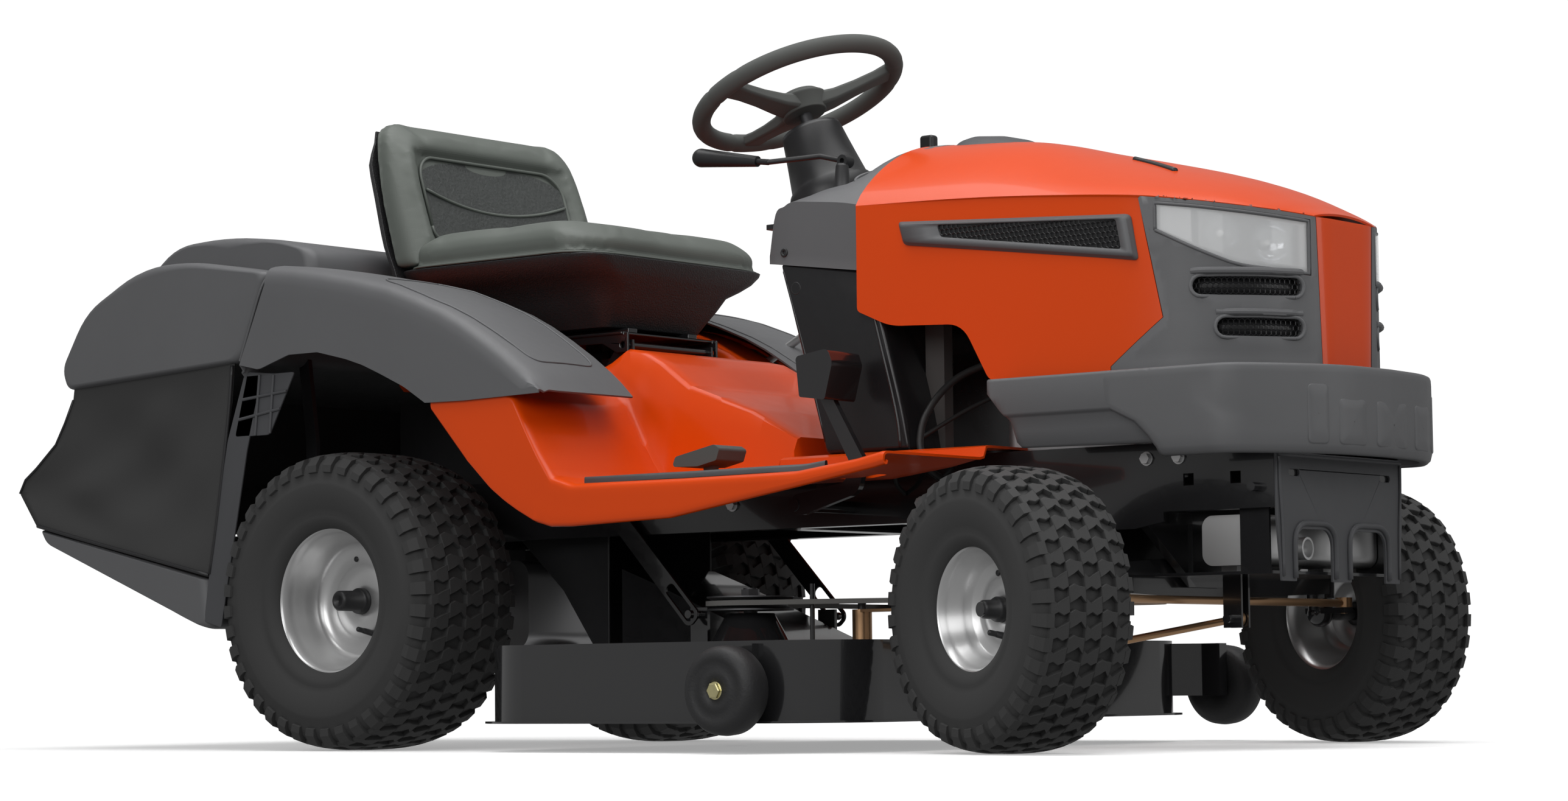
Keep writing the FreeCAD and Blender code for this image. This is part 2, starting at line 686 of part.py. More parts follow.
# ---- dash and hood ------------------------------------------------------------------
def dash():
    """Grey upper console, black lower tower and the column cover."""
    half = hood_half_rear - 2
    joint_front = hood_rear - panel_gap
    stations = [(dash_rear, 762, 770), (dash_rear + 34, 775, 806), (joint_front - 40, 765, 858),
                (joint_front, 756, 862)]
    outer = loft([crown_section(x, half, 640, shoulder, top) for x, shoulder, top in stations])
    inner = loft([crown_section(x, half - skin, 630, shoulder - skin, top - skin)
                  for x, shoulder, top in [(dash_rear + skin, 762,
                                            768)] + stations[1:3] + [(joint_front + 1, 756, 862)]])
    floor_cut = prism("y", [(dash_rear - 120, 690), (dash_rear - 20, 690), (joint_front + 20, 606),
                            (joint_front + 20, 500),
                            (dash_rear - 20, 300), (dash_rear - 120, 300)], -half - 5, half + 5)
    console = outer.cut(inner)
    housing, hollow = column_housing()
    console = console.cut(hollow).fuse(housing.cut(inner)).cut(floor_cut)
    column_hole = rod(column_point(30), column_point(330), 30.0)
    console = console.cut(column_hole)
    lever_slot = box((lever_pivot.x - 60, lever_pivot.x + 30), (lever_pivot.y - 7, lever_pivot.y + 7),
                     (700, 860))
    throttle_slot = box((throttle_pivot.x - 40, throttle_pivot.x + 30),
                        (throttle_pivot.y - 7, throttle_pivot.y + 7), (700, 880))
    console = console.cut(lever_slot).cut(throttle_slot)
    key_hole = rod(V(dash_rear - 30, key_y, key_z), V(dash_rear + 60, key_y, key_z), 11.0)
    bracket = []
    for pivot in (lever_pivot, throttle_pivot):
        low = pivot.z - 14
        for side in (-1, 1):
            y = pivot.y + side * 12
            bracket.append(box((pivot.x - 12, pivot.x + 12), (y - 1.5, y + 1.5), (low, pivot.z + 11)))
        bracket.append(box((pivot.x - 12, pivot.x + 12), (pivot.y - 13.5, pivot.y + 13.5), (low - 3, low)))
        bracket.append(box((pivot.x - 12, pivot.x + 12), (pivot.y - 5, pivot.y + 5), (low - 44, low)))
        bracket.append(rod(V(pivot.x, pivot.y - 13, pivot.z), V(pivot.x, pivot.y + 13, pivot.z), 4.0))
    deck_plate = box((dash_rear + 30, joint_front - 30), (-half + 3, half - 3),
                     (lever_pivot.z - 60, lever_pivot.z - 57))
    deck_plate = deck_plate.cut(column_hole)
    switch = ring(V(dash_rear - 6, key_y, key_z), V(dash_rear + 46, key_y, key_z), 12.0, 7 + running)
    back = box((dash_rear, dash_rear + 8), (key_y - 24, key_y + 24), (key_z - 22, key_z + 14))
    console = fuse([console, deck_plate, back] + bracket).cut(key_hole)
    parts["dash_console"] = largest(fuse([console, switch]))

    foot = platform_top + clear
    outline = [(dash_rear + 6, 690), (dash_rear + 86, foot), (hood_rear + 66, foot),
               (joint_front + 16, 620)]
    tower = prism("y", outline, -half + 2, half - 2)
    core = [(dash_rear + 6 + skin, 700), (dash_rear + 86 + skin, 400), (hood_rear + 90, 400),
            (joint_front + 40, 640)]
    core = prism("y", core, -half + 2 + skin, half - 2 - skin)
    tower = tower.cut(core)
    above = prism("y", [(540, 690 - clear), (dash_rear - 20, 690 - clear), (joint_front + 20, 606 - clear),
                        (joint_front + 20, 900), (540, 900)], -half, half)
    flange = [(hood_rear + 60, foot), (hood_rear + 74, foot), (joint_front + 28, 590),
              (joint_front + 12, 590)]
    for side in (-1, 1):
        y = side * (half + 1)
        tower = tower.fuse(prism("y", flange, y - 5, y + 5))
    tunnel = prism("y", [(580, 300), (580, 497.4), (600, 487.3), (690, 437.3), (743, foot), (743, 300)],
                   -80, 80)
    below = box((580, 1100), (-80, 80), (0, foot))
    tower = tower.cut(hollow).fuse(housing.cut(core)).cut(above).cut(tunnel).cut(below)
    parts["dash_tower"] = tower.removeSplitter()

    low = column_point(housing_top - clear)
    cover = cone(low, column_point(hub_drop + 30), 58.0, 44.0)
    inside = cone(low, column_point(hub_drop + 30), 55.0, 41.0)
    bearing = ring(column_point(168), column_point(160), 56.0, shaft_radius + running)
    collar = ring(low, column_point(160), 66.0, 54.5)
    cover = fuse([cover.cut(inside), bearing, collar])
    parts["column_cover"] = cover.cut(console_top(joint_front, half))


def column_housing():
    """Walls round the steering column, and the space that they enclose."""
    up = column_axis()
    across = V(up.z, 0, -up.x)
    shapes = []
    for half, top, bottom in ((housing_half, housing_top, 640),
                              (housing_half - skin, housing_top + skin, 660)):
        corners = [column_point(top) - across * half, column_point(top) + across * half,
                   column_point(bottom) + across * half, column_point(bottom) - across * half]
        shapes.append(prism("y", [(corner.x, corner.z) for corner in corners], -half, half))
    outer, hollow = shapes
    return outer.cut(hollow), hollow


def console_top(joint_front, half):
    """Space that the console fills, with a small gap over it."""
    stations = [(dash_rear, 762, 770), (dash_rear + 34, 775, 806), (joint_front - 40, 765, 858),
                (joint_front, 756, 862)]
    return loft([crown_section(x, half, 640, shoulder, top + 0.4) for x, shoulder, top in stations])


def crown_section(x, half, bottom, shoulder, top):
    """Cross-section with upright sides, a crisp shoulder and a crowned top."""
    rise = top - shoulder
    right = [(-half, bottom), (-half, shoulder), (-half * 0.90, shoulder + rise * 0.34),
             (-half * 0.62, shoulder + rise * 0.80), (-half * 0.22, top)]
    left = [(-y, z) for y, z in reversed(right)]
    return [V(x, y, z) for y, z in right + left]


def hood_stations():
    nose = hood_nose
    front = hood_half_front
    return [(hood_rear, hood_half_rear, 756, 862), (hood_rear + 160, 218, 750, 850),
            (hood_rear + 300, 224, 741, 818), (nose - 184, front, 727, 780),
            (nose - 100, front - 16, 715, 753),
            (nose - 44, front - 66, 706, 727), (nose - 16, front - 118, 701, 712), (nose, 78, 697, 705)]


def hood():
    """Hood shell, front grille, bumper and lamps. All of them tilt forward together."""
    stations = hood_stations()
    low = hood_bottom
    outer = loft([crown_section(x, half, low, shoulder, top) for x, half, shoulder, top in stations])
    inset = [(x, half - skin, shoulder - skin, top - skin) for x, half, shoulder, top in stations]
    inset[0] = (hood_rear - 1,) + inset[0][1:]
    inset[-2] = (stations[-2][0] - skin,) + inset[-2][1:]
    inset[-1] = (stations[-1][0] - skin,) + inset[-1][1:]
    inner = loft([crown_section(x, half, low - 2, shoulder, top) for x, half, shoulder, top in inset])
    shell = outer.cut(inner)

    edge = [(hood_rear - 20, 609), (hood_rear + 40, 584), (hood_rear + 172, 577), (hood_rear + 210, 506),
            (hood_rear + 210, 480), (hood_rear - 20, 480)]
    shell = shell.cut(prism("y", edge, -300, 300))
    nose = hood_nose
    front_zone = prism("y", [(nose - 222, 490), (nose - 222, 503), (nose - 142, 563), (nose - 158, 640),
                             (nose - 178, 730), (nose - 100, 719), (nose + 20, 697), (nose + 20, 490)],
                       -300, 300)
    strip = prism("x", [(-61, 490), (61, 490), (71, 700), (-71, 700)], nose - 60, nose + 30)
    grille_zone = front_zone.cut(strip)
    hood_shell = largest(shell.cut(grille_zone))

    lamp_zone = [(nose - 160, 724), (nose + 20, 694), (nose + 20, 610), (nose - 56, 622), (nose - 160, 676)]
    lamps = [prism("y", lamp_zone, s * 84 if s > 0 else -240, 240 if s > 0 else s * 84) for s in (-1, 1)]
    front = shell.common(grille_zone)
    lens = [front.common(lamp) for lamp in lamps]
    grille = front
    for lamp in lamps:
        grille = grille.cut(lamp)
    for z in (602, 548):
        for side in (-1, 1):
            slot = box((nose - 128, nose + 10), (min(side * 96, side * 215), max(side * 96, side * 215)),
                       (z - 11, z + 11))
            grille = grille.cut(slot)
    vent_inner = loft([crown_section(x, half - 1.2, low, shoulder - 1.2, top - 1.2)
                       for x, half, shoulder, top in inset[3:]])
    core = loft([crown_section(x, half - 3, low - 2, shoulder - 3, top - 3)
                 for x, half, shoulder, top in inset[3:]])
    mesh = vent_inner.cut(core).common(box((nose - 140, nose - skin - 1.5), (-240, 240), (528, 622)))
    mesh = mesh.cut(box((nose - 60, nose + 30), (-80, 80), (400, 800)))
    arms = []
    for side in (-1, 1):
        y = side * hood_arm_y
        arm = prism("y", [(hood_pivot.x - 16, hood_pivot.z - 16), (hood_pivot.x + 16, hood_pivot.z - 16),
                          (hood_pivot.x + 10, low - 30), (nose - 38, low + 8), (nose - 38, low + 40),
                          (nose - 64, low + 40)], y - 3, y + 3)
        arm = arm.cut(rod(V(hood_pivot.x, y - 10, hood_pivot.z), V(hood_pivot.x, y + 10, hood_pivot.z),
                          hood_pin_radius + running))
        arms.append(arm)
    bar = box((nose - 46, nose - 40), (-hood_arm_y - 3, hood_arm_y + 3), (low + 6, low + 40))
    wings = [box((nose - 150, nose - 40), stretch(s, hood_arm_y, 226), (low + 2, low + 6)) for s in (-1, 1)]
    wing_zone = loft([crown_section(x, half, low - 2, shoulder, top)
                      for x, half, shoulder, top in inset[3:]])
    ledge = [wing.common(wing_zone) for wing in wings]
    parts["hood_shell"] = hood_shell
    parts["grille"] = fuse([solid for shape in [grille, mesh] + ledge
                            for solid in shape.Solids] + arms + [bar])
    parts["headlamp_lenses"] = [solid for shape in lens for solid in shape.Solids]

    bowls = []
    lamp_outer = loft([crown_section(x - clear, half - clear, low, shoulder - clear, top - clear)
                       for x, half, shoulder, top in inset[3:]])
    core.translate(V(-38, 0, -12))
    for side in (-1, 1):
        outline = [(nose - 152, 716), (nose - 8, 694), (nose - 8, 624), (nose - 56, 632), (nose - 152, 680)]
        block = prism("y", outline, *stretch(side, 88, 236)).common(lamp_outer).cut(core)
        bowls.append(largest(block.cut(Part.makeSphere(24, V(nose - 42, side * 168, 664)))))
    parts["headlamp_reflectors"] = bowls


def bumper():
    """Wrap-around bumper with a ledge that closes the step to the grille."""
    def plan(half, front, rear):
        return [(rear, -half), (front - 96, -half), (front - 62, -half + 44), (front - 8, -120), (front, 0),
                (front - 8, 120), (front - 62, half - 44), (front - 96, half), (rear, half)]

    corner = [0, 30, 30, 90, 260, 90, 30, 30, 0]
    rear = wheelbase - 151
    outer = prism("z", plan(bumper_half, bumper_front, rear), bumper_bottom, bumper_top, corner)
    wall = skin + 0.5
    inner_plan = plan(bumper_half - wall, bumper_front - wall, rear - 5)
    inner = prism("z", inner_plan, bumper_bottom - 5, bumper_top - wall, corner)
    shell = outer.cut(inner)
    hole = [(x, max(-224, min(224, y))) for x, y in plan(222, hood_nose - 6, rear - 5)]
    shell = shell.cut(prism("z", hole, bumper_top - wall - 5, bumper_top + 5))
    step = [(rear - 10, bumper_bottom - 10), (wheelbase + 120, bumper_bottom - 10), (wheelbase + 90, 398),
            (rear + 42, 399), (rear + 34, 440), (rear, bumper_top + 10), (rear - 10, bumper_top + 10)]
    shell = shell.cut(prism("y", step, -300, 300))
    for side in (-1, 1):
        y = side * hood_arm_y
        shell = shell.cut(box((hood_nose - 80, hood_nose - 20), (y - 4.5, y + 4.5),
                              (bumper_top - 10, bumper_top + 5)))
    parts["bumper"] = shell


# ---- fenders, seat and controls -----------------------------------------------------
def sheet_profile(points, thick):
    """Outline of a bent sheet: a line of points and the same line moved down."""
    return points + [(x, z - thick) for x, z in reversed(points)]


def fenders():
    """Pressed fender pan with footrests and tunnel, and the moulded covers on its rear."""
    half = fender_half
    rest = footrest_top
    top_line = [(-108, 690), (60, 676), (190, 640), (300, 584), cross, (392, 500), (438, 420),
                (462, rest + 6),
                (500, rest), (900, rest + 2), (footrest_front - 12, rest + 22), (footrest_front, rest + 22)]
    side_sheet = [prism("y", sheet_profile(top_line, skin), s * half if s < 0 else tunnel_half,
                        -tunnel_half if s < 0 else s * half) for s in (-1, 1)]
    crest = [(-108, recess), (250, recess), (306, 560), cross, (364, 592), (430, 566), (482, 528),
             (600, 486),
             (690, 436), (742, platform_top)]
    tunnel = prism("y", sheet_profile(crest, skin), -tunnel_half, tunnel_half)
    behind = top_line[:4] + [cross, (306, 560), (250, recess), (-108, recess)]
    ahead = [cross, (364, 592), (430, 566), (482, 528), (600, 486), (690, 436), (742, platform_top),
             (742, rest - 2),
             (500, rest - 2), (462, rest + 4), (438, 418), (392, 498)]
    walls = []
    for side in (-1, 1):
        for outline in (behind, ahead):
            walls.append(prism("y", outline, side * tunnel_half - skin / 2, side * tunnel_half + skin / 2))
    front = footrest_front - 78
    platform_half = hood_half_rear + 6
    walls.append(box((696, front), (-platform_half, platform_half), (platform_top - skin, platform_top)))
    for side in (-1, 1):
        walls.append(box((696, front), stretch(side, platform_half - skin, platform_half),
                         (rest - 2, platform_top)))
        walls.append(box((696, 696 + skin), stretch(side, tunnel_half - 2, platform_half),
                         (rest - 2, platform_top)))
        walls.append(box((front - skin, front), stretch(side, tunnel_half - 2, platform_half),
                         (rest - 2, platform_top)))
    walls.append(box((front - skin, front), (-tunnel_half, tunnel_half), (rail_top + clear, platform_top)))
    skirts = []
    for side in (-1, 1):
        y = side * half
        skirt = [(240, 626), (300, 584), (392, 500), (438, 420), (462, rest), (footrest_front, rest + 22),
                 (footrest_front, rest + 4), (900, 352), (680, 318), (460, 314), (396, 340), (346, 372),
                 (223, 498)]
        shape = prism("y", skirt, y - skin / 2, y + skin / 2)
        shape = shape.cut(rod(V(0, y - 20, rear_tyre_radius), V(0, y + 20, rear_tyre_radius), arch_radius))
        skirts.append(shape)
    pan = fuse(side_sheet + [tunnel] + walls + skirts)
    pan = pan.cut(box((lever_slot[0], lever_slot[1]), (lift_lever_y - 12, lift_lever_y + 12), (540, 720)))
    pan = pan.cut(box((864, 944), (-206, -163), (355, 420)))
    pan = pan.cut(rod(column_point(400), column_point(700), 24.0))
    pan = pan.cut(rod(sector_place() - column_axis() * 9, sector_place() + column_axis() * 9,
                      sector_reach + 5))
    pan = pan.cut(box((pedal_pivot.x + 84, pedal_pivot.x + 150), (pedal_y - 9, pedal_y + 9), (330, 420)))
    lugs = []
    foot = travel_pivot
    for edge in (-1, 1):
        y = foot.y + edge * 11
        lugs.append(box((foot.x - 12, foot.x + 12), (y - 2, y + 2), (rest - 1, foot.z + 5)))
    lugs.append(rod(foot - V(0, 13, 0), foot + V(0, 13, 0), 4.0))
    pan = fuse([pan] + lugs)
    parts["fender_pan"] = pan

    covers = []
    for side in (-1, 1):
        outer_y, inner_y = side * (half + 1.75 + clear + skin), side * 246
        low_y, high_y = min(outer_y, inner_y), max(outer_y, inner_y)
        top = [(-114, 728), (0, 712), (141, 681), (250, 640), (330, 596), (404, 545), (440, 512)]
        lid = prism("y", sheet_profile(top, skin), low_y, high_y)
        face = top + [(452, 503), (223, 500), (180, 528), (131, 550), (60, 576), (-61, 590), (-126, 572),
                      (-171, 581)]
        side_wall = prism("y", face, *stretch(1, outer_y - side * skin, outer_y))
        inner_wall = top + [(400, 520), (300, 588), (190, 644), (60, 680), (-108, 694)]
        back_wall = prism("y", inner_wall, inner_y - 1.75, inner_y + 1.75)
        cover = fuse([lid, side_wall, back_wall])
        pan_zone = prism("y", [(-130, 560), (-130, 690 + clear), (-108, 690 + clear), (60, 676 + clear),
                               (190, 640 + clear),
                               (300, 584 + 2 * clear), cover_cross, (392, 500 + 2 * clear), (438, 420),
                               (300, 380)], -half - 1.75 - clear, half + 1.75 + clear)
        covers.append(largest(cover.cut(pan_zone)))
    slot_box = box((lever_slot[0], lever_slot[1]), (lift_lever_y - 12, lift_lever_y + 12), (500, 760))
    covers[1] = covers[1].cut(slot_box)
    parts["fender_covers"] = covers


def seat():
    """Fixed mount on the pan, hinged slide plate, moulded shell and padded cover."""
    rear = seat_pivot.x - 250
    mount = []
    for side in (-1, 1):
        ear = [(seat_pivot.x - 14, seat_pivot.z + 8), (seat_pivot.x + 10, seat_pivot.z + 8),
               (seat_pivot.x + 14, recess - 1), (seat_pivot.x - 60, recess - 1)]
        mount.append(prism("y", ear, side * 92 - 2, side * 92 + 2))
    pin = rod(V(seat_pivot.x, -98, seat_pivot.z), V(seat_pivot.x, 98, seat_pivot.z), 5.0)
    stops = [box((rear + 6, rear + 40), (s * 92 - 8, s * 92 + 8), (recess, seat_plate_z - clear))
             for s in (-1, 1)]
    mount = fuse(mount + [pin])
    under = prism("y", [(-112, 500), (-112, recess), (250, recess), (306, 560), (364, 592), (364, 500)],
                  -130, 130)
    parts["seat_mount"] = [mount.cut(under)] + stops

    base = box((rear, seat_pivot.x + 2), (-110, 110), (seat_plate_z, seat_plate_z + 4))
    cheeks = []
    for side in (-1, 1):
        cheek = prism("y", [(seat_pivot.x - 12, seat_pivot.z - 11), (seat_pivot.x + 10, seat_pivot.z - 11),
                            (seat_pivot.x + 10, seat_plate_z + 3), (rear, seat_plate_z + 3),
                            (rear, seat_plate_z - 10), (seat_pivot.x - 40, seat_plate_z - 12)],
                      side * 104 - 2, side * 104 + 2)
        cheeks.append(cheek)
    slide = fuse([base] + cheeks)
    slide = slide.cut(rod(V(seat_pivot.x, -120, seat_pivot.z), V(seat_pivot.x, 120, seat_pivot.z),
                          5 + running))
    rails = [box((rear + 10, seat_pivot.x - 10), (s * 70 - 10, s * 70 + 10),
                 (seat_plate_z + 4, seat_plate_z + 12)) for s in (-1, 1)]
    parts["seat_slide"] = fuse([slide] + rails)

    half = seat_half
    front, back = seat_front, seat_rear
    bottom = seat_plate_z + 12 + clear
    pan = loft([[V(x, y, z) for x, y in ((low_x, -wide), (high_x, -wide), (high_x, wide), (low_x, wide))]
                for z, low_x, high_x, wide in ((bottom, back + 60, front - 60, 110),
                                               (692, back + 6, front - 24, 158),
                                               (seat_seam, back - 20, front - 4, half - 12))])
    rear_shell = loft([[V(x, y, seat_seam - 40) for x,
                        y in ((back - 4, -half + 40), (back + 40, -half + 40), (back + 40, half - 40),
                              (back - 4, half - 40))],
                       [V(x, y, 800) for x, y in ((back - 68, -half + 8), (back - 24, -half + 8),
                                                  (back - 24, half - 8), (back - 68, half - 8))],
                       [V(x, y, seat_back_top - 22)
                        for x, y in ((back - 92, -half + 18), (back - 84, -half + 18),
                                     (back - 84, half - 18), (back - 92, half - 18))]])
    shell = fuse([pan, rear_shell])
    cushion = prism("z", [(back, -half), (front - 40, -half), (front, -half + 90), (front, half - 90),
                          (front - 40, half), (back, half)], seat_seam, seat_seam + 46,
                    [30, 60, 50, 50, 60, 30])
    back_sections = []
    for z, lean, thick, wide in ((seat_seam, 0, 60, half), (800, -26, 56, half), (900, -58, 48, half),
                                 (seat_back_top - 24, -84, 40, half - 6),
                                 (seat_back_top, -88, 28, half - 30)):
        face_x = back + lean + 44
        back_sections.append([V(x, y, z) for x, y in ((face_x - thick, -wide), (face_x, -wide),
                                                      (face_x, wide), (face_x - thick, wide))])
    backrest = loft(back_sections)
    pad = fuse([cushion, backrest])
    parts["seat_shell"] = shell.cut(pad)
    parts["seat_pad"] = pad


def controls():
    """Brake pedal, travel pedal, lift lever, blade lever, throttle and key."""
    pivot = pedal_pivot
    y = pedal_y
    arm = prism("y", [(pivot.x - 16, pivot.z - 12), (pivot.x + 16, pivot.z - 14), (pivot.x + 112, 350),
                      (pivot.x + 124, 392), (pivot.x + 62, 494), (pivot.x + 44, 488), (pivot.x + 98, 392),
                      (pivot.x + 90, 366), (pivot.x, pivot.z + 14)], y - 5, y + 5,
                [10, 10, 24, 24, 0, 0, 14, 14, 10])
    pad = prism("y", [(pivot.x + 34, 484), (pivot.x + 78, 478), (pivot.x + 92, 528), (pivot.x + 84, 548),
                      (pivot.x + 28, 540)], y - 34, y + 34, [4, 4, 14, 10, 6])
    pad_core = prism("y", [(pivot.x + 42, 470), (pivot.x + 60, 470), (pivot.x + 76, 530),
                           (pivot.x + 46, 530)],
                     y - 30, y + 30)
    pad = pad.cut(pad_core)
    shaft = rod(V(pivot.x, y - 6, pivot.z), V(pivot.x, rail_half + 12, pivot.z), pedal_shaft)
    parts["brake_pedal"] = fuse([arm, pad, shaft])

    foot = travel_pivot
    treadle = prism("y", [(foot.x - 46, foot.z + 10), (foot.x - 40, foot.z + 24),
                          (foot.x + 30, foot.z + 38),
                          (foot.x + 40, foot.z + 32), (foot.x + 34, foot.z + 16), (foot.x, foot.z + 9)],
                    foot.y - 30, foot.y + 30, [4, 6, 6, 4, 4, 6])
    stalk = prism("y", [(foot.x - 8, foot.z - 8), (foot.x + 8, foot.z - 8), (foot.x + 8, foot.z + 14),
                        (foot.x - 8, foot.z + 14)], foot.y - 7, foot.y + 7)
    treadle = fuse([treadle, stalk]).cut(rod(foot - V(0, 60, 0), foot + V(0, 60, 0), 4 + running))
    parts["travel_pedal"] = treadle

    lever = lift_pivot
    tip = V(lever.x + 214, lift_lever_y, 730)
    knee = V(lever.x - 40, lift_lever_y, 600)
    shaft = rod(V(lever.x, rail_half - 20, lever.z), V(lever.x, lift_lever_y + 6, lever.z), lift_shaft)
    limb = fuse([rod(V(lever.x, lift_lever_y, lever.z), knee, 6.5), Part.makeSphere(6.5, knee),
                 rod(knee, tip, 6.5)])
    along_rod = (tip - knee).normalize()
    grip = fuse([rod(tip - along_rod * 96, tip + along_rod * 8, 14.0),
                 Part.makeSphere(14.0, tip + along_rod * 8)])
    parts["lift_lever"] = fuse([shaft, limb, grip])

    pivot = lever_pivot
    knob_end = V(476.0, pivot.y - 30, 868)
    neck = V(600.0, pivot.y - 26, 850)
    hub = rod(V(pivot.x, pivot.y - 9, pivot.z), V(pivot.x, pivot.y + 9, pivot.z), 9.0)
    reach = V(pivot.x - 46, pivot.y, pivot.z + 12)
    stem = fuse([rod(pivot, reach, 4.0), Part.makeSphere(4, reach), rod(reach, neck, 4.0),
                 Part.makeSphere(4, neck),
                 rod(neck, knob_end, 4.5)])
    grip = cone(neck + V(-20, 0, 3), knob_end, 8.0, 14.0)
    stem = fuse([hub, stem, grip, Part.makeSphere(14.0, knob_end)])
    parts["blade_lever"] = stem.cut(rod(pivot - V(0, 30, 0), pivot + V(0, 30, 0), 4 + running))

    pivot = throttle_pivot
    hub = rod(V(pivot.x, pivot.y - 9, pivot.z), V(pivot.x, pivot.y + 9, pivot.z), 9.0)
    top = pivot + V(-34, 0, 46)
    knob = box((top.x - 12, top.x + 12), (top.y - 9, top.y + 9), (top.z - 4, top.z + 22))
    knob = knob.makeFillet(5, knob.Edges)
    throttle = fuse([hub, rod(pivot, top, 3.5), knob])
    parts["throttle_lever"] = throttle.cut(rod(pivot - V(0, 30, 0), pivot + V(0, 30, 0), 4 + running))

    barrel = rod(V(dash_rear - 14, key_y, key_z), V(dash_rear + 40, key_y, key_z), 7.0)
    bow = box((dash_rear - 52, dash_rear - 12), (key_y - 15, key_y + 15), (key_z - 3.5, key_z + 3.5))
    bow = rounded(bow, 7, lambda edge: along(edge, V(0, 0, 1)))
    bow = bow.cut(box((dash_rear - 43, dash_rear - 31), (key_y - 6, key_y + 6), (key_z - 9, key_z + 9)))
    parts["ignition_key"] = fuse([barrel, bow])


# ---- mower deck ---------------------------------------------------------------------
def deck_outline(grow):
    half = deck_half + grow
    low, high = deck_rear - grow, deck_front + grow
    return [(low, -half), (high, -half), (high, half), (low, half)], deck_corner + grow


def deck():
    """Pressed deck shell with the rear outlet hood, blade housings and wheel brackets."""
    outline, corner = deck_outline(0)
    outer = prism("z", outline, deck_lip, deck_top, corner)
    inside, inner_corner = deck_outline(-deck_skin)
    shell = outer.cut(prism("z", inside, deck_lip - 5, deck_top - deck_skin, inner_corner))
    lip_outline, lip_corner = deck_outline(14)
    lip = prism("z", lip_outline, deck_lip, deck_lip + deck_skin, lip_corner)
    lip = lip.cut(prism("z", inside, deck_lip - 5, deck_lip + 10, inner_corner))
    rear = deck_rear
    roof = prism("y", [(rear + 2, deck_lip + 30), (rear + 2, 266), (rear + 62, 244),
                       (rear + 300, deck_top - 1),
                       (rear + 160, 122)], -outlet_half, outlet_half)
    outlet = prism("y", [(rear - 20, deck_lip + 24), (rear - 20, 270), (rear + 1, 262), (rear + 61, 240),
                         (rear + 289, deck_top - deck_skin), (rear + 289, 100), (rear + 20, deck_lip + 24)],
                   -outlet_half + deck_skin, outlet_half - deck_skin)
    shell = fuse([shell, lip, roof]).cut(outlet)
    pieces = [shell]
    holes = []
    for side in (-1, 1):
        centre = V(blade_x, side * blade_offset, 0)
        pieces.append(cone(centre + V(0, 0, deck_top - 1), centre + V(0, 0, belt_height - 14), 58, 34))
        pieces.append(rod(centre + V(0, 0, blade_height + 14), centre + V(0, 0, deck_top), 30))
        holes.append(rod(centre, centre + V(0, 0, 400), spindle_radius + running))
        bracket_x = gauge_x[side]
        bracket = box((bracket_x - 22, bracket_x + 22), stretch(side, deck_half - 6, gauge_y - 27.5),
                      (gauge_z - 16, deck_top - 4))
        if bracket_x > deck_front - 60:
            tab = prism("z", [(bracket_x - 22, side * (gauge_y - 27.5)),
                              (bracket_x - 22, side * (gauge_y - 33)),
                              (deck_front - 40, side * (deck_half - 50)),
                              (deck_front - 34, side * (deck_half - 42)),
                              (bracket_x + 10, side * (gauge_y - 27.5))], gauge_z - 16, deck_top - 4)
            pieces.append(tab)
        pieces.append(bracket)
        pieces.append(rod(V(bracket_x, side * (deck_half - 4), gauge_z),
                          V(bracket_x, side * (gauge_y + 27), gauge_z), 6.0))
        ear = box((lift_ear_x - 16, lift_ear_x + 16), (side * 150 - 3, side * 150 + 3),
                  (deck_top - 1, lift_ear_z + 10))
        pieces.append(ear)
        pieces.append(rod(V(lift_ear_x, side * 150, lift_ear_z),
                          V(lift_ear_x, side * (rail_half + 16), lift_ear_z), 6.0))
        keeper = rod(V(blade_x + 96, side * 196, deck_top - 1),
                     V(blade_x + 96, side * 196, belt_height + 26), 3.5)
        pieces.append(keeper)
    pieces.append(rod(V(idler_pivot.x, idler_pivot.y, deck_top - 1), idler_pivot + V(0, 0, 18), idler_pin))
    for side in (-1, 1):
        y = link_rear.y + side * 9
        pieces.append(box((deck_front - 2, link_rear.x + 12), (y - 2, y + 2),
                          (link_rear.z - 12, deck_top - 1)))
    pieces.append(rod(V(link_rear.x, link_rear.y - 13, link_rear.z),
                      V(link_rear.x, link_rear.y + 13, link_rear.z), 5.0))
    shell = fuse(pieces)
    for hole in holes:
        shell = shell.cut(hole)
    parts["deck_shell"] = shell


def blades():
    """Spindle shaft with its blade and belt pulley, one each side."""
    for side, name in ((-1, "right"), (1, "left")):
        centre = V(blade_x, side * blade_offset, 0)
        shaft = rod(centre + V(0, 0, blade_height - 14), centre + V(0, 0, belt_height + 22), spindle_radius)
        flange = rod(centre + V(0, 0, blade_height + 5), centre + V(0, 0, blade_height + 13), 26)
        nut = hex_prism(centre + V(0, 0, belt_height + 10), V(0, 0, 1), 24, 10)
        pulley = v_pulley(centre + V(0, 0, belt_height), pulley_radius)
        shaft = fuse([shaft, flange, nut, pulley])
        reach = blade_radius
        outline = [(-reach, -14), (-reach, 22), (-reach + 90, 27), (reach - 90, 27), (reach, 14),
                   (reach, -22), (reach - 90, -27), (-reach + 90, -27)]
        blade = prism("z", [(x, y) for x, y in outline], blade_height, blade_height + 5)
        blade.translate(centre)
        blade = blade.cut(rod(centre, centre + V(0, 0, 100), spindle_radius + clear))
        blade = turned(blade, centre, V(0, 0, 1), 45 + 90 * (side > 0))
        bolt_head = hex_prism(centre + V(0, 0, blade_height - 15), V(0, 0, 1), 24, 14)
        washer = rod(centre + V(0, 0, blade_height - 3), centre + V(0, 0, blade_height - clear), 20)
        shaft = fuse([shaft, bolt_head, washer])
        parts["blade_spindle_" + name] = [shaft, blade]


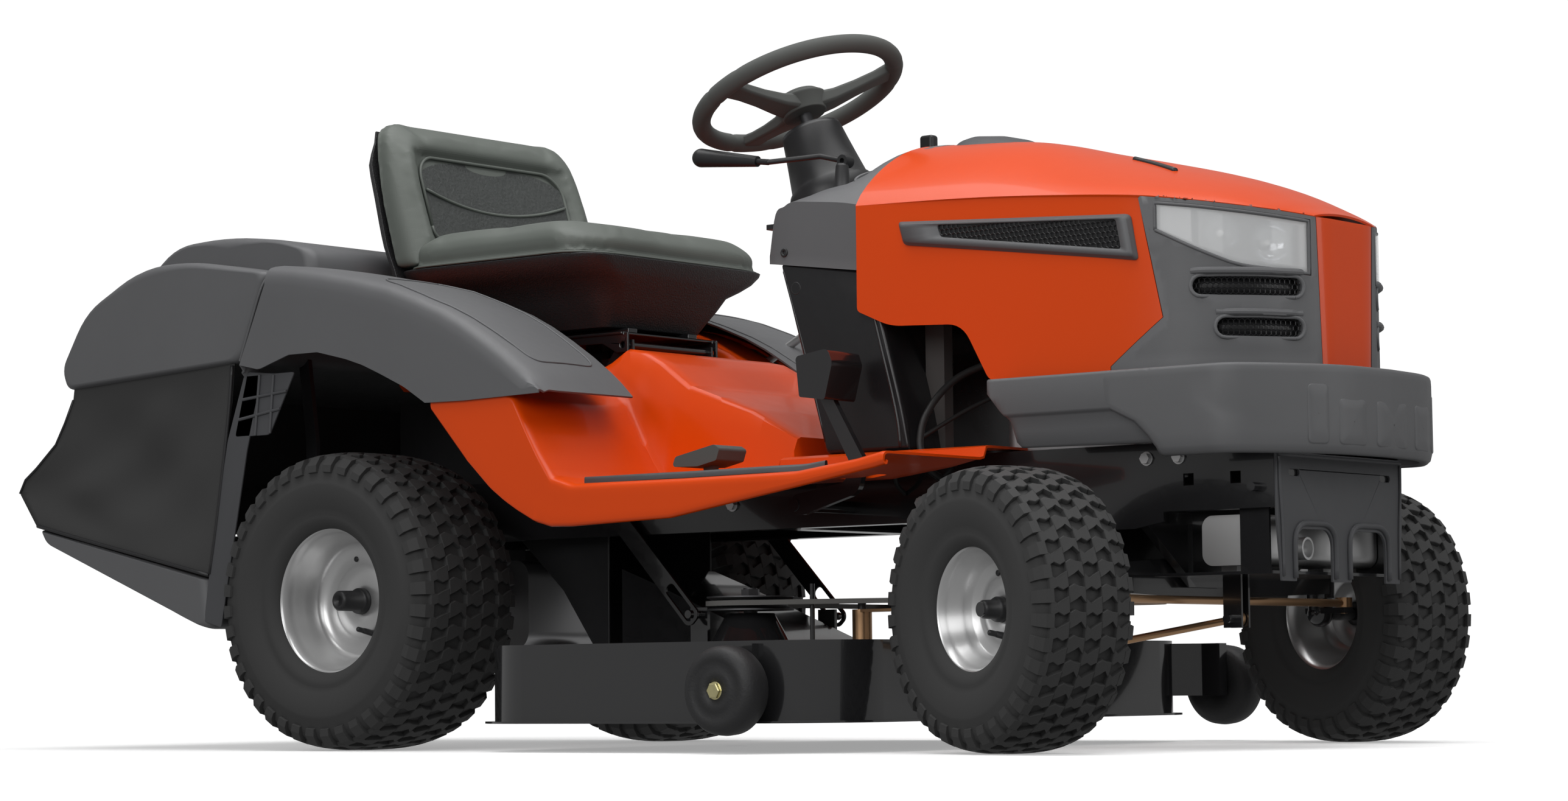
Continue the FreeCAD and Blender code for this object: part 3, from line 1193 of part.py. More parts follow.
def belt_loop():
    """V belt round the crank pulley and both blade pulleys, as straight runs and arcs."""
    wheels = [V(crank_x, 0, 0), V(blade_x, blade_offset, 0), V(blade_x, -blade_offset, 0)]
    radius = pulley_radius - 9 + 5.5
    outer = hull_loop(wheels, radius + 5)
    inner = hull_loop(wheels, radius - 5)
    belt = outer.cut(inner)
    belt.translate(V(0, 0, belt_height - 3.5))
    parts["deck_belt"] = belt


def hull_loop(centres, radius):
    """Plate in the shape of a tight loop round equal circles, taken anticlockwise."""
    edges = []
    count = len(centres)
    tangents = []
    for i, centre in enumerate(centres):
        step = (centres[(i + 1) % count] - centre).normalize()
        normal = V(step.y, -step.x, 0)
        tangents.append(normal)
    for i, centre in enumerate(centres):
        before, after = tangents[i - 1], tangents[i]
        start = centre + before * radius
        end = centre + after * radius
        middle = centre + (before + after).normalize() * radius
        edges.append(Part.Arc(start, middle, end).toShape())
        following = centres[(i + 1) % count] + after * radius
        edges.append(Part.LineSegment(end, following).toShape())
    return Part.Face(Part.Wire(edges)).extrude(V(0, 0, 7))


def belt_idler():
    """Sprung arm on the deck. Its flat pulley presses the back of the belt."""
    back = pulley_radius - 9 + 10.5
    heading = V(blade_x - crank_x, -blade_offset, 0).normalize()
    outside = V(heading.y, -heading.x, 0)
    if outside.y > 0:
        outside = outside * -1
    on_run = V(crank_x, 0, 0) + outside * (back + idler_radius + clear) + heading * 118
    centre = V(on_run.x, on_run.y, belt_height)
    base = V(idler_pivot.x, idler_pivot.y, belt_height - 14)
    boss = rod(V(base.x, base.y, deck_top + clear), V(base.x, base.y, base.z + 4), 14.0)
    step = (V(centre.x, centre.y, base.z) - base)
    across = V(-step.y, step.x, 0).normalize() * 12
    strap = Part.Face(Part.makePolygon([base + across, base + step + across, base + step - across,
                                        base - across, base + across])).extrude(V(0, 0, 4))
    end = rod(base + step, base + step + V(0, 0, 4), 14.0)
    arm = fuse([boss, strap, end]).cut(rod(base - V(0, 0, 50), base + V(0, 0, 50), idler_pin + running))
    axle = rod(V(centre.x, centre.y, base.z), V(centre.x, centre.y, belt_height + 14), 6.0)
    wheel = rod(V(centre.x, centre.y, belt_height - 9), V(centre.x, centre.y, belt_height + 9),
                idler_radius)
    parts["belt_idler"] = fuse([arm, axle, wheel])


def gauge_wheels():
    for side, name in ((-1, "right"), (1, "left")):
        centre = V(gauge_x[side], side * gauge_y, gauge_z)
        outward = V(0, side, 0)
        half = gauge_width / 2
        profile = [(-half, 6 + running), (-half, 20), (-half + 6, 24), (-half + 6, gauge_radius - 16),
                   (-half, gauge_radius - 12),
                   (-half + 3, gauge_radius - 3), (-half + 10, gauge_radius), (half - 10, gauge_radius),
                   (half - 3, gauge_radius - 3), (half, gauge_radius - 12), (half - 3, gauge_radius - 24),
                   (half - 9, 24), (half - 9, 6 + running)]
        parts["gauge_wheel_" + name] = lathe(profile, centre, outward)
        head = hex_prism(centre + outward * (half - 5), outward, 17, 8)
        parts["deck_shell"] = parts["deck_shell"].fuse(head)


def deck_links():
    """Front link rod, and the rear lift arms on their cross shaft."""
    heading = (link_front - link_rear).normalize()
    across = V(-heading.z, 0, heading.x)
    front_eye = ring(link_front - V(0, 5, 0), link_front + V(0, 5, 0), 11.0, 6 + running)

    def slotted(half, start, end):
        """Block along the rod, round its rear pin."""
        corners = [link_rear + heading * a + across * b
                   for a, b in ((start, -half), (end, -half), (end, half), (start, half))]
        return prism("y", [(corner.x, corner.z) for corner in corners], link_rear.y - 5, link_rear.y + 5,
                     half - 0.5)

    rear_eye = slotted(11.0, -12, 20)
    link = fuse([rod(link_front - heading * 9, link_rear + heading * 17, 5.0), front_eye, rear_eye])
    link = link.cut(slotted(6.5, -7.5, 15))
    parts["front_link"] = link


def lift_arms():
    """Two bell-crank arms. Their lower ends carry the deck's ears in slots."""
    arms = [rod(V(arm_pivot.x, -rail_half - 14, arm_pivot.z), V(arm_pivot.x, rail_half + 14, arm_pivot.z),
                lift_shaft)]
    ear = V(lift_ear_x, 0, lift_ear_z)
    heading = (ear - arm_pivot).normalize()
    across = V(-heading.z, 0, heading.x)
    reach = (ear - arm_pivot).Length
    for side in (-1, 1):
        y = side * (rail_half + 12)
        corners = [arm_pivot + heading * a + across * b for a, b in
                   ((-14, -14), (reach + 15, -15), (reach + 15, 15), (-14, 14))]
        arm = prism("y", [(corner.x, corner.z) for corner in corners], y - 2, y + 2, 12)
        slot = [arm_pivot + heading * a + across * b for a, b in
                ((reach - 58, -slot_half), (reach + 10, -slot_half), (reach + 10, slot_half),
                 (reach - 58, slot_half))]
        arm = arm.cut(prism("y", [(corner.x, corner.z) for corner in slot], y - 5, y + 5, slot_half - 1))
        arms.append(arm)
    arms = [fuse(arms)]
    parts["lift_arms"] = arms


# ---- chute and collector ------------------------------------------------------------
def chute():
    """Duct that carries the grass from the deck's outlet to the collector."""
    spine = [(deck_rear - 14, 108, 360), (190, 236, 440), (100, 318, 492), (0, 330, 524),
             (frame_rear - 6, 338, 540)]
    outer = loft([[V(x, y, z) for y, z in ((-chute_half, low), (chute_half, low), (chute_half, high),
                                           (-chute_half, high))]
                  for x, low, high in spine])
    spine[0] = (spine[0][0] + 1,) + spine[0][1:]
    spine[-1] = (spine[-1][0] - 1,) + spine[-1][1:]
    wall = 3.0
    inner = loft([[V(x, y, z) for y, z in ((-chute_half + wall, low + wall),
                                           (chute_half - wall, low + wall),
                                           (chute_half - wall, high - wall),
                                           (-chute_half + wall, high - wall))]
                  for x, low, high in spine])
    duct = outer.cut(inner)
    parts["discharge_chute"] = duct


def collector():
    """Moulded lid, fabric bag and moulded pan, which tip together to empty."""
    half = collector_half
    pivot = collector_pivot
    lid_rear = bag_rear + 130
    outline = [(-120, 722), (-176, 585), (lid_rear - 10, 566), (lid_rear - 22, 600), (lid_rear + 34, 690),
               (-414, 752), (-300, 756)]
    block = prism("y", outline, -half - 6, half + 6, [4, 0, 10, 24, 60, 60, 30])
    crest = prism("y", [(-120, 722), (-125, 766), (-188, 786), (-320, 802), (-440, 796), (-532, 724),
                        (-460, 700)],
                  -half + 90, half - 90, [4, 16, 30, 60, 60, 10, 10])
    skin_cut = prism("y", [(-100, 718), (-122, 718), (-168, 560), (lid_rear + 2, 540), (lid_rear - 8, 600),
                           (lid_rear + 44, 684), (-414, 742), (-300, 748), (-100, 740)], -half, half)
    crest_cut = prism("y", [(-100, 700), (-100, 766), (-188, 781), (-320, 797), (-438, 791), (-516, 730),
                            (-460, 690)],
                      -half + 95, half - 95)
    lid = fuse([block, crest]).cut(skin_cut).cut(crest_cut)
    lugs = []
    for side in (-1, 1):
        y = side * (upright_y + 24)
        lug = box((pivot.x - 14, pivot.x + 14), (y - 5, y + 5), (pivot.z - 14, pivot.z + 16))
        lug = lug.cut(rod(V(pivot.x, y - 20, pivot.z), V(pivot.x, y + 20, pivot.z),
                          collector_pin + running))
        lugs.append(lug)
    lid = fuse([lid] + lugs)
    parts["collector_lid"] = lid

    inner = half - clear
    side = [(-196, 578), (-254, 262), (bag_rear + 48, 352), (bag_rear, 408), (bag_rear + 134, 552),
            (lid_rear + 6, 590), (-214, 590)]
    bag = prism("y", side, -inner, inner, [0, 0, 20, 20, 40, 0, 0])
    core = [(-150, 582), (-258, 220), (bag_rear + 50, 362), (bag_rear + 6, 409), (bag_rear + 140, 549),
            (lid_rear + 12, 620), (-150, 620)]
    cavity = prism("y", core, -inner + 4, inner - 4, [0, 0, 18, 18, 38, 0, 0])
    parts["collector_bag"] = bag.cut(cavity)

    pan_outline = [(-254.5, 261.6), (-244, 176), (-300, 196), (bag_rear + 60, 330),
                   (bag_rear + 47.5, 351.6)]
    pan = prism("y", pan_outline, -half, half, [0, 16, 0, 20, 0])
    hollow = prism("y", [(-249, 270), (-249, 182), (-300, 201), (bag_rear + 64, 334), (bag_rear + 54, 360)],
                   -half + 4, half - 4)
    pan = pan.cut(hollow)
    parts["collector_pan"] = pan


# ---- wiring and fasteners -----------------------------------------------------------
def wiring():
    """Conduit and brake cable between the engine and the frame, with a connector."""
    conduit = tube("conduit", [V(crank_x - 111.8, -84, 540), V(968, -96, 534), V(938, -126, 516),
                               V(924, -158, 486),
                               V(918, -184, 450), V(922, -196, 414), V(932, -190, 384),
                               V(936, -164.6, 372)], 5.0)
    cable = tube("cable", [V(crank_x - 111.2, -60, 500), V(972, -72, 492), V(946, -104, 474),
                           V(926, -144, 450),
                           V(904, -180, 424), V(884, -196, 396), V(874, -190, 368), V(872, -164.0, 354)],
                 3.0)
    parts["wiring"] = [conduit, cable]


def fasteners():
    """Hexagon bolts on the rails and the guard plate."""
    bolts = []
    for side in (-1, 1):
        face = V(0, side, 0)
        for x, z in ((wheelbase + 40, 384), (wheelbase + 90, 384), (frame_rear + 40, 380), (560, 350),
                     (900, 340)):
            bolts.append(bolt(V(x, side * (rail_half + clear), z), face, 13, 6, 4, 0.1))
    parts["chassis_bolts"] = bolts


# ---- build --------------------------------------------------------------------------
parts = {}
for wheel_side in (-1, 1):
    rear_wheel(wheel_side)
    front_wheel(wheel_side)
front_axle()
tie_rod()
steering()
chassis_frame()
rear_frame()
guard_plate()
engine()
drive_pulley()
dash()
hood()
bumper()
fenders()
seat()
controls()
deck()
blades()
belt_loop()
belt_idler()
gauge_wheels()
deck_links()
lift_arms()
chute()
collector()
wiring()
fasteners()

shapes = {}
for node, shape in parts.items():
    pieces = shape if isinstance(shape, list) else [shape]
    solids = [solid for piece in pieces for solid in piece.Solids]
    shapes[node] = solids[0] if len(solids) == 1 else Part.Compound(solids)
whole = FreeCAD.BoundBox()
for shape in shapes.values():
    whole.add(shape.BoundBox)
shift = V(-(whole.XMin + whole.XMax) / 2, 0, 0)
os.makedirs("parts", exist_ok=True)
for node, shape in shapes.items():
    shape.translate(shift)
    shape.exportStep("parts/" + node + ".step")
    if not shape.isValid():
        print("not valid:", node)
    print(node, len(shape.Solids), "solids", round(shape.Volume / 1000), "cm3")
print("nodes", len(shapes), "shift", round(shift.x, 3), "size",
      [round(v, 1) for v in (whole.XLength, whole.YLength, whole.ZLength)])
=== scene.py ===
"""Looks of a ride-on lawn mower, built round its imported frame."""

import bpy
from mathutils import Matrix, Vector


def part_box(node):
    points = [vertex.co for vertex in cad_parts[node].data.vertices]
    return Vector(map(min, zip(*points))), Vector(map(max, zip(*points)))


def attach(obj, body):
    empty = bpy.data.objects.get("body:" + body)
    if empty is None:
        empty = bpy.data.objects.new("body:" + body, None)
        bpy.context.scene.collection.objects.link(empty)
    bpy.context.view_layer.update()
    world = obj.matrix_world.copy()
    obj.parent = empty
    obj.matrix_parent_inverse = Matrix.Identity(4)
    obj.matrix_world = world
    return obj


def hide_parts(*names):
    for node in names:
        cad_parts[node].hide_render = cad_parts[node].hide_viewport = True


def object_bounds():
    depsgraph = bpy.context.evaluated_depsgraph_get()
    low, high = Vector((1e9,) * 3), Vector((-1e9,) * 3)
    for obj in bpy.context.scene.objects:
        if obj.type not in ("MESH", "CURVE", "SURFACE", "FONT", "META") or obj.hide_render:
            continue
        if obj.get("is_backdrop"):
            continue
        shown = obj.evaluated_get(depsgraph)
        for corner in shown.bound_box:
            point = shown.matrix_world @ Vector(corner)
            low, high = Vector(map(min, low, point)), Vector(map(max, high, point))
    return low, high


bl_info = {
    "name": "Ride-on mower looks",
    "version": (1, 0, 0),
    "blender": (4, 5, 0),
    "location": "3D View > Sidebar > Mower",
    "description": "Panels, tyres, seat, collector and finishes of a ride-on lawn mower",
    "category": "Object",
}
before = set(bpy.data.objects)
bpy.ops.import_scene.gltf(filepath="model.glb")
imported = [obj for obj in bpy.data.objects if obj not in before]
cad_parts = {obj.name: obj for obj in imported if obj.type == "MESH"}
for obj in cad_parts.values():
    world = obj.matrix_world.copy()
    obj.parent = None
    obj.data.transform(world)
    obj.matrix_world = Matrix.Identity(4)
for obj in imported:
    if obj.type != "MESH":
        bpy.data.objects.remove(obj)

from math import cos, degrees, dist, exp, hypot, pi, radians, sin, sqrt

import bmesh
import bpy
from mathutils import Matrix, Vector

CAD_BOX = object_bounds()


# ---- places ----
def middle(node):
    low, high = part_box(node)
    return (low + high) / 2


AXLE = middle("rear_tyre_right").x * 1000


def at(x, y, z):
    """A place in metres, from millimetres ahead of the rear axle, to the left, and up."""
    return Vector(((x + AXLE) / 1000, y / 1000, z / 1000))


def blend_list(a, b, share):
    return [p + (q - p) * share for p, q in zip(a, b)]


def along(table, x):
    """Row of values at x, taken smoothly from a table of (x, value, value...)."""
    if x <= table[0][0]:
        return list(table[0][1:])
    for left, right in zip(table, table[1:]):
        if x <= right[0]:
            share = (x - left[0]) / (right[0] - left[0])
            return blend_list(left[1:], right[1:], share)
    return list(table[-1][1:])


# ---- mesh helpers ----
def linked(name, data, smooth=None):
    """A new object in the scene. Smooth says how its faces are shaded, and None leaves them as they are."""
    if smooth is not None:
        for face in data.polygons:
            face.use_smooth = smooth
    obj = bpy.data.objects.new(name, data)
    bpy.context.scene.collection.objects.link(obj)
    return obj


def removed(obj):
    """Takes an object and its mesh out of the file."""
    mesh = obj.data
    bpy.data.objects.remove(obj)
    bpy.data.meshes.remove(mesh)


def new_object(name, verts, faces, smooth=True):
    mesh = bpy.data.meshes.new(name)
    mesh.from_pydata([tuple(v) for v in verts], [], faces)
    mesh.validate()
    work = bmesh.new()
    work.from_mesh(mesh)
    bmesh.ops.remove_doubles(work, verts=work.verts, dist=1e-6)
    bmesh.ops.recalc_face_normals(work, faces=work.faces)
    work.to_mesh(mesh)
    work.free()
    return linked(name, mesh, smooth)


def finish(obj, finish_name, body, slot, *nodes):
    """Gives a piece its finish and its body, and hides the CAD nodes it stands for. The slot is not used."""
    obj.data.materials.clear()
    obj.data.materials.append(finish_of(finish_name))
    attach(obj, body)
    if nodes:
        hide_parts(*nodes)
    return obj


def modify(obj, kind, **settings):
    modifier = obj.modifiers.new(kind.title(), kind)
    for key, value in settings.items():
        setattr(modifier, key, value)
    return modifier


def apply_modifiers(obj):
    """Turns a piece's modifiers into mesh."""
    graph = bpy.context.evaluated_depsgraph_get()
    mesh = bpy.data.meshes.new_from_object(obj.evaluated_get(graph))
    old = obj.data
    obj.modifiers.clear()
    obj.data = mesh
    bpy.data.meshes.remove(old)
    return obj


def soft_edges(obj, width=0.0012, segments=2, angle=35):
    modify(obj, "BEVEL", width=width, segments=segments, limit_method="ANGLE",
           angle_limit=radians(angle), harden_normals=False)
    modify(obj, "WEIGHTED_NORMAL", keep_sharp=True, weight=60)
    return obj


def join(name, objects):
    """One object from several."""
    work = bmesh.new()
    for obj in objects:
        mesh = obj.data
        start = len(work.verts)
        work.from_mesh(mesh)
        work.verts.ensure_lookup_table()
        bmesh.ops.transform(work, matrix=obj.matrix_world, verts=work.verts[start:])
    mesh = bpy.data.meshes.new(name)
    work.to_mesh(mesh)
    work.free()
    for obj in objects:
        removed(obj)
    return linked(name, mesh)


def cut(obj, cutters):
    """Takes the cutters' space out of a closed piece."""
    tool = join("cutter", cutters)
    modify(obj, "BOOLEAN", object=tool, operation="DIFFERENCE", solver="EXACT", use_self=True)
    apply_modifiers(obj)
    removed(tool)
    return obj


def skin_grid(name, rows, closed_rows=False, closed_columns=False, caps=False):
    """Surface through rows of points, all of one length."""
    verts = [point for row in rows for point in row]
    count, width = len(rows), len(rows[0])
    faces = []
    for i in range(count if closed_rows else count - 1):
        for j in range(width if closed_columns else width - 1):
            a, b = i * width + j, i * width + (j + 1) % width
            c, d = ((i + 1) % count) * width + (j + 1) % width, ((i + 1) % count) * width + j
            faces.append((a, b, c, d))
    if caps:
        faces.append(tuple(range(width))[::-1])
        faces.append(tuple((count - 1) * width + j for j in range(width)))
    return new_object(name, verts, faces)


def ring_solid(name, rows):
    """Closed piece through rings of points, with a face at each end."""
    return skin_grid(name, rows, closed_columns=True, caps=True)


def basis(direction):
    """Two directions across a third."""
    direction = direction.normalized()
    side = direction.cross(Vector((0, 0, 1)))
    if side.length < 1e-3:
        side = direction.cross(Vector((1, 0, 0)))
    side.normalize()
    return side, direction.cross(side)


def lathe(name, profile, centre, axis, segments=96, closed=True):
    """Turned shape. The profile holds (distance along the axis, radius) in millimetres."""
    axis = axis.normalized()
    side, other = basis(axis)
    rows = []
    for i in range(segments):
        turn = 2 * pi * i / segments
        out = side * cos(turn) + other * sin(turn)
        rows.append([centre + axis * (d / 1000) + out * (r / 1000) for d, r in profile])
    return skin_grid(name, rows, closed_rows=True, closed_columns=closed)


def rod(name, start, end, radius, segments=24, taper=1.0):
    """Closed rod with slightly rounded ends, radius in millimetres."""
    length = (end - start).length * 1000
    edge = min(radius * 0.3, length * 0.2, 1.5)
    far = radius * taper
    profile = [(0, 0.01), (0, radius - edge), (edge, radius),
               (length - edge, far), (length, far - edge), (length, 0.01)]
    return lathe(name, profile, start, end - start, segments)


def smooth_path(points, steps=8):
    """Points on a curve through the given ones."""
    places = []
    ends = [points[0] * 2 - points[1]] + list(points) + [points[-1] * 2 - points[-2]]
    for a, b, c, d in zip(ends, ends[1:], ends[2:], ends[3:]):
        for i in range(steps):
            t = i / steps
            places.append(0.5 * (2 * b + (c - a) * t + (2 * a - 5 * b + 4 * c - d) * t * t
                                 + (3 * b - a - 3 * c + d) * t * t * t))
    places.append(points[-1])
    return places


def pipe(name, points, radius, segments=14, steps=8, ribs=0.0):
    """Tube along a smooth line. Ribs make it corrugated. Radius in millimetres."""
    places = smooth_path(points, steps) if steps else list(points)
    if ribs:
        dense = []
        for a, b in zip(places, places[1:]):
            count = max(1, int((b - a).length * 1000 / (ribs / 4)))
            dense += [a.lerp(b, i / count) for i in range(count)]
        places = dense + [places[-1]]
    rows = []
    side = None
    for i, place in enumerate(places):
        ahead = (places[min(i + 1, len(places) - 1)] - places[max(i - 1, 0)]).normalized()
        if side is None:
            side, _ = basis(ahead)
        side = (side - ahead * side.dot(ahead)).normalized()
        other = ahead.cross(side)
        size = radius / 1000
        if ribs and i % 4 in (0, 1):
            size *= 0.82
        rows.append([place + side * cos(2 * pi * k / segments) * size
                     + other * sin(2 * pi * k / segments) * size for k in range(segments)])
    return ring_solid(name, rows)


def rounded_outline(points, radius, steps=5):
    """Polygon with its corners rounded. The radius is one number or one for each corner."""
    count = len(points)
    sizes = radius if isinstance(radius, (list, tuple)) else [radius] * count
    out = []
    for i, point in enumerate(points):
        here = Vector(point)
        before, after = Vector(points[i - 1]) - here, Vector(points[(i + 1) % count]) - here
        reach = min(sizes[i], before.length * 0.48, after.length * 0.48)
        if reach < 0.05:
            out.append(tuple(here))
            continue
        start, end = here + before.normalized() * reach, here + after.normalized() * reach
        for k in range(steps + 1):
            t = k / steps
            out.append(tuple(start * (1 - t) ** 2 + here * 2 * t * (1 - t) + end * t * t))
    return out


def rectangle(x0, x1, y0, y1, corner, steps=5):
    """Rectangle with rounded corners, from its limits along the two directions of its plane."""
    return rounded_outline([(x0, y0), (x1, y0), (x1, y1), (x0, y1)], corner, steps)


def dense_line(points, step):
    """Points along straight runs, about a step apart. The last point is left out."""
    dense = []
    for a, b in zip(points, points[1:]):
        count = max(1, int(dist(a, b) / step))
        dense += [tuple(blend_list(a, b, i / count)) for i in range(count)]
    return dense


def crowned(low, high, t):
    """Height across a crowned top: low at its side where t is 0, high at its middle where t is 1."""
    return low + (high - low) * sin(t * pi / 2) ** 0.9


def plate(name, plane, outline, low, high, radius=0.0, steps=5):
    """Flat plate. The outline lies in the named plane ("x", "y" or "z"), in millimetres."""
    ring = rounded_outline(outline, radius, steps) if radius else outline
    order = {"x": (2, 0, 1), "y": (0, 2, 1), "z": (0, 1, 2)}[plane]

    def put(*spot):
        return at(*[spot[k] for k in order])
    count = len(ring)
    verts = [put(u, v, low) for u, v in ring] + [put(u, v, high) for u, v in ring]
    faces = [tuple(range(count)), tuple(range(2 * count - 1, count - 1, -1))]
    faces += [(i, (i + 1) % count, count + (i + 1) % count, count + i) for i in range(count)]
    return new_object(name, verts, faces, smooth=False)


def hexagon(name, start, axis, across, length):
    """Hexagonal head with a chamfered top."""
    radius = across / sqrt(3)
    profile = [(0, 0.01), (0, radius), (length - 1, radius), (length, radius * 0.86), (length, 0.01)]
    return lathe(name, profile, start, axis, 6)


def bolt(start, axis, across=13.0, length=6.0):
    """Flanged hexagon bolt head."""
    flange = lathe("flange", [(0, 0.01), (0, across * 0.75), (1.2, across * 0.72), (2.2, across * 0.5),
                              (2.2, 0.01)],
                   start, axis, 28)
    head = hexagon("head", start + axis * 0.0018, axis, across, length)
    for obj in (flange, head):
        for face in obj.data.polygons:
            face.use_smooth = False
    return join("bolt", [flange, head])


# ---- shader maths ----
class Term:
    """A shader socket that can be used in Python expressions."""

    def __init__(self, graph, socket):
        self.graph = graph
        self.socket = socket

    def math(self, operation, other):
        return self.graph.math(operation, self, other)

    def __add__(self, other):
        return self.math("ADD", other)

    __radd__ = __add__

    def __mul__(self, other):
        return self.math("MULTIPLY", other)

    __rmul__ = __mul__

    def __sub__(self, other):
        return self.math("SUBTRACT", other)

    def __rsub__(self, other):
        return self.graph.math("SUBTRACT", other, self)

    def clip(self, low, high):
        """0 below low, 1 above high."""
        return ((self - low) * (1.0 / (high - low))).math("MINIMUM", 1.0).math("MAXIMUM", 0.0)


class Graph:
    """Node tree of one finish."""

    def __init__(self, name):
        self.material = bpy.data.materials.new(name)
        self.material.use_nodes = True
        self.tree = self.material.node_tree
        self.shader = self.tree.nodes["Principled BSDF"]

    def node(self, kind, settings=None, **inputs):
        """A node with its settings, and values or links for its inputs by name, or by number as i0."""
        made = self.tree.nodes.new(kind)
        for key, value in (settings or {}).items():
            setattr(made, key, value)
        for key, value in inputs.items():
            numbered = key[0] == "i" and key[1:].isdigit()
            self.feed(made.inputs[int(key[1:]) if numbered else key.replace("_", " ")], value)
        return made

    def feed(self, socket, value):
        """Links a term to a socket, or sets a value. A colour of three numbers gets its alpha."""
        if isinstance(value, Term):
            self.tree.links.new(value.socket, socket)
        elif isinstance(value, tuple) and len(value) == 3 and socket.type == "RGBA":
            socket.default_value = value + (1.0,)
        else:
            socket.default_value = value

    def math(self, operation, first, second):
        return Term(self, self.node("ShaderNodeMath", {"operation": operation}, i0=first,
                                    i1=second).outputs[0])

    def place(self, scale=(1, 1, 1)):
        """Position on the piece, stretched."""
        coordinates = self.node("ShaderNodeTexCoord")
        moved = self.node("ShaderNodeVectorMath", {"operation": "MULTIPLY"},
                          i0=Term(self, coordinates.outputs["Object"]), i1=scale)
        return Term(self, moved.outputs[0])

    def noise(self, scale, detail=3.0, rough=0.5, stretch=(1, 1, 1)):
        made = self.node("ShaderNodeTexNoise", None, Vector=self.place(stretch), Scale=scale, Detail=detail,
                         Roughness=rough)
        return Term(self, made.outputs["Fac"])

    def cells(self, scale, feature="F1", stretch=(1, 1, 1)):
        made = self.node("ShaderNodeTexVoronoi", {"feature": feature}, Vector=self.place(stretch),
                         Scale=scale)
        return Term(self, made.outputs["Distance"])

    def wave(self, scale, direction="X", distortion=0.0):
        made = self.node("ShaderNodeTexWave", {"wave_type": "BANDS", "bands_direction": direction},
                         Vector=self.place(), Scale=scale, Distortion=distortion)
        return Term(self, made.outputs["Fac"])

    def mix(self, share, first, second):
        """Colour between two colours."""
        made = self.node("ShaderNodeMix", {"data_type": "RGBA"}, i0=share, i6=first, i7=second)
        return Term(self, made.outputs[2])

    def reach(self):
        """Distance from the middle of the piece, in metres."""
        made = self.node("ShaderNodeVectorMath", {"operation": "LENGTH"}, i0=self.place())
        return Term(self, made.outputs["Value"])

    def edge(self):
        """1 on worn outer edges, 0 on flats."""
        made = self.node("ShaderNodeNewGeometry")
        return Term(self, made.outputs["Pointiness"]).clip(0.52, 0.62)

    def dirt(self, low=0.45, high=0.75, scale=6.0):
        """Slow patches, 0 to 1."""
        return self.noise(scale, 5.0, 0.6).clip(low, high)

    def set(self, **values):
        for key, value in values.items():
            self.feed(self.shader.inputs[key.replace("_", " ")], value)

    def bump(self, height, strength=0.2, distance=0.001):
        made = self.node("ShaderNodeBump", None, Strength=strength, Distance=distance, Height=height)
        self.tree.links.new(made.outputs["Normal"], self.shader.inputs["Normal"])


def shade(colour, factor):
    return tuple(min(1.0, c * factor) for c in colour)


# ---- finishes ----
def paint(graph, colour, roughness=0.22, coat=0.8, flake=False, gloss=0.5):
    """Glossy paint with faint orange peel and a little dust."""
    dust = graph.dirt(0.5, 0.85, 4.0)
    worn = graph.edge()
    base = graph.mix(dust * 0.16, shade(colour, 1.0), shade(colour, 0.72))
    base = graph.mix(worn * 0.25, base, shade(colour, 1.25))
    graph.set(Base_Color=base, Roughness=graph.noise(30.0) * 0.06 + (roughness - 0.03) + dust * 0.06,
              Coat_Weight=coat, Coat_Roughness=0.05, Specular_IOR_Level=gloss)
    if flake:
        graph.set(Metallic=0.75)
    graph.bump(graph.noise(420.0, 2.0), 0.04, 0.0004)


def moulded(graph, colour, roughness=0.55, grain=1400.0, depth=0.25):
    """Textured injection moulding."""
    patch = graph.dirt(0.4, 0.8, 5.0)
    worn = graph.edge()
    base = graph.mix(patch * 0.3, colour, shade(colour, 0.78))
    base = graph.mix(worn * 0.35, base, shade(colour, 1.5))
    graph.set(Base_Color=base, Roughness=graph.noise(60.0) * 0.1 + (roughness - 0.05) + patch * 0.05,
              Specular_IOR_Level=0.4)
    graph.bump(graph.noise(grain, 2.0) + graph.cells(grain * 0.6) * 0.5, depth, 0.0004)


def rubber(graph, colour, roughness=0.75, grain=500.0, dusty=0.35):
    patch = graph.dirt(0.42, 0.75, 9.0)
    base = graph.mix(patch * dusty, colour, shade(colour, 1.9))
    graph.set(Base_Color=base, Roughness=graph.noise(80.0) * 0.12 + (roughness - 0.06),
              Specular_IOR_Level=0.3)
    graph.bump(graph.noise(grain, 3.0), 0.25, 0.0006)


def metal(graph, colour, roughness=0.35, stretch=(1, 1, 1), tint=None):
    """Bare or plated metal with fine scratches and dull patches."""
    patch = graph.dirt(0.4, 0.8, 12.0)
    streak = graph.noise(220.0, 3.0, 0.6, stretch)
    base = graph.mix(patch * 0.5, colour, tint or shade(colour, 0.6))
    graph.set(Base_Color=base, Metallic=0.95, Roughness=streak * 0.2 + (roughness - 0.1) + patch * 0.12)
    graph.bump(streak, 0.12, 0.0003)


def orange_paint(graph):
    paint(graph, tuple(stage_settings().paint), 0.3, 0.14, gloss=0.22)


def grey_moulding(graph):
    moulded(graph, tuple(stage_settings().trim), 0.5, 1500.0, 0.18)


def pebbled(graph):
    """Black seat shell with a coarse pebble grain."""
    patch = graph.dirt()
    graph.set(Base_Color=graph.mix(patch * 0.4, (0.02, 0.02, 0.021), (0.032, 0.032, 0.034)),
              Roughness=graph.noise(50.0) * 0.1 + 0.42, Specular_IOR_Level=0.45)
    graph.bump(graph.cells(420.0), 0.7, 0.0008)


def belt_rubber(graph):
    """Cloth-covered belt."""
    weave = graph.wave(520.0, "DIAGONAL") * graph.noise(900.0)
    graph.set(Base_Color=graph.mix(weave, (0.12, 0.12, 0.115), (0.24, 0.235, 0.22)), Roughness=0.85)
    graph.bump(weave, 0.5, 0.0005)


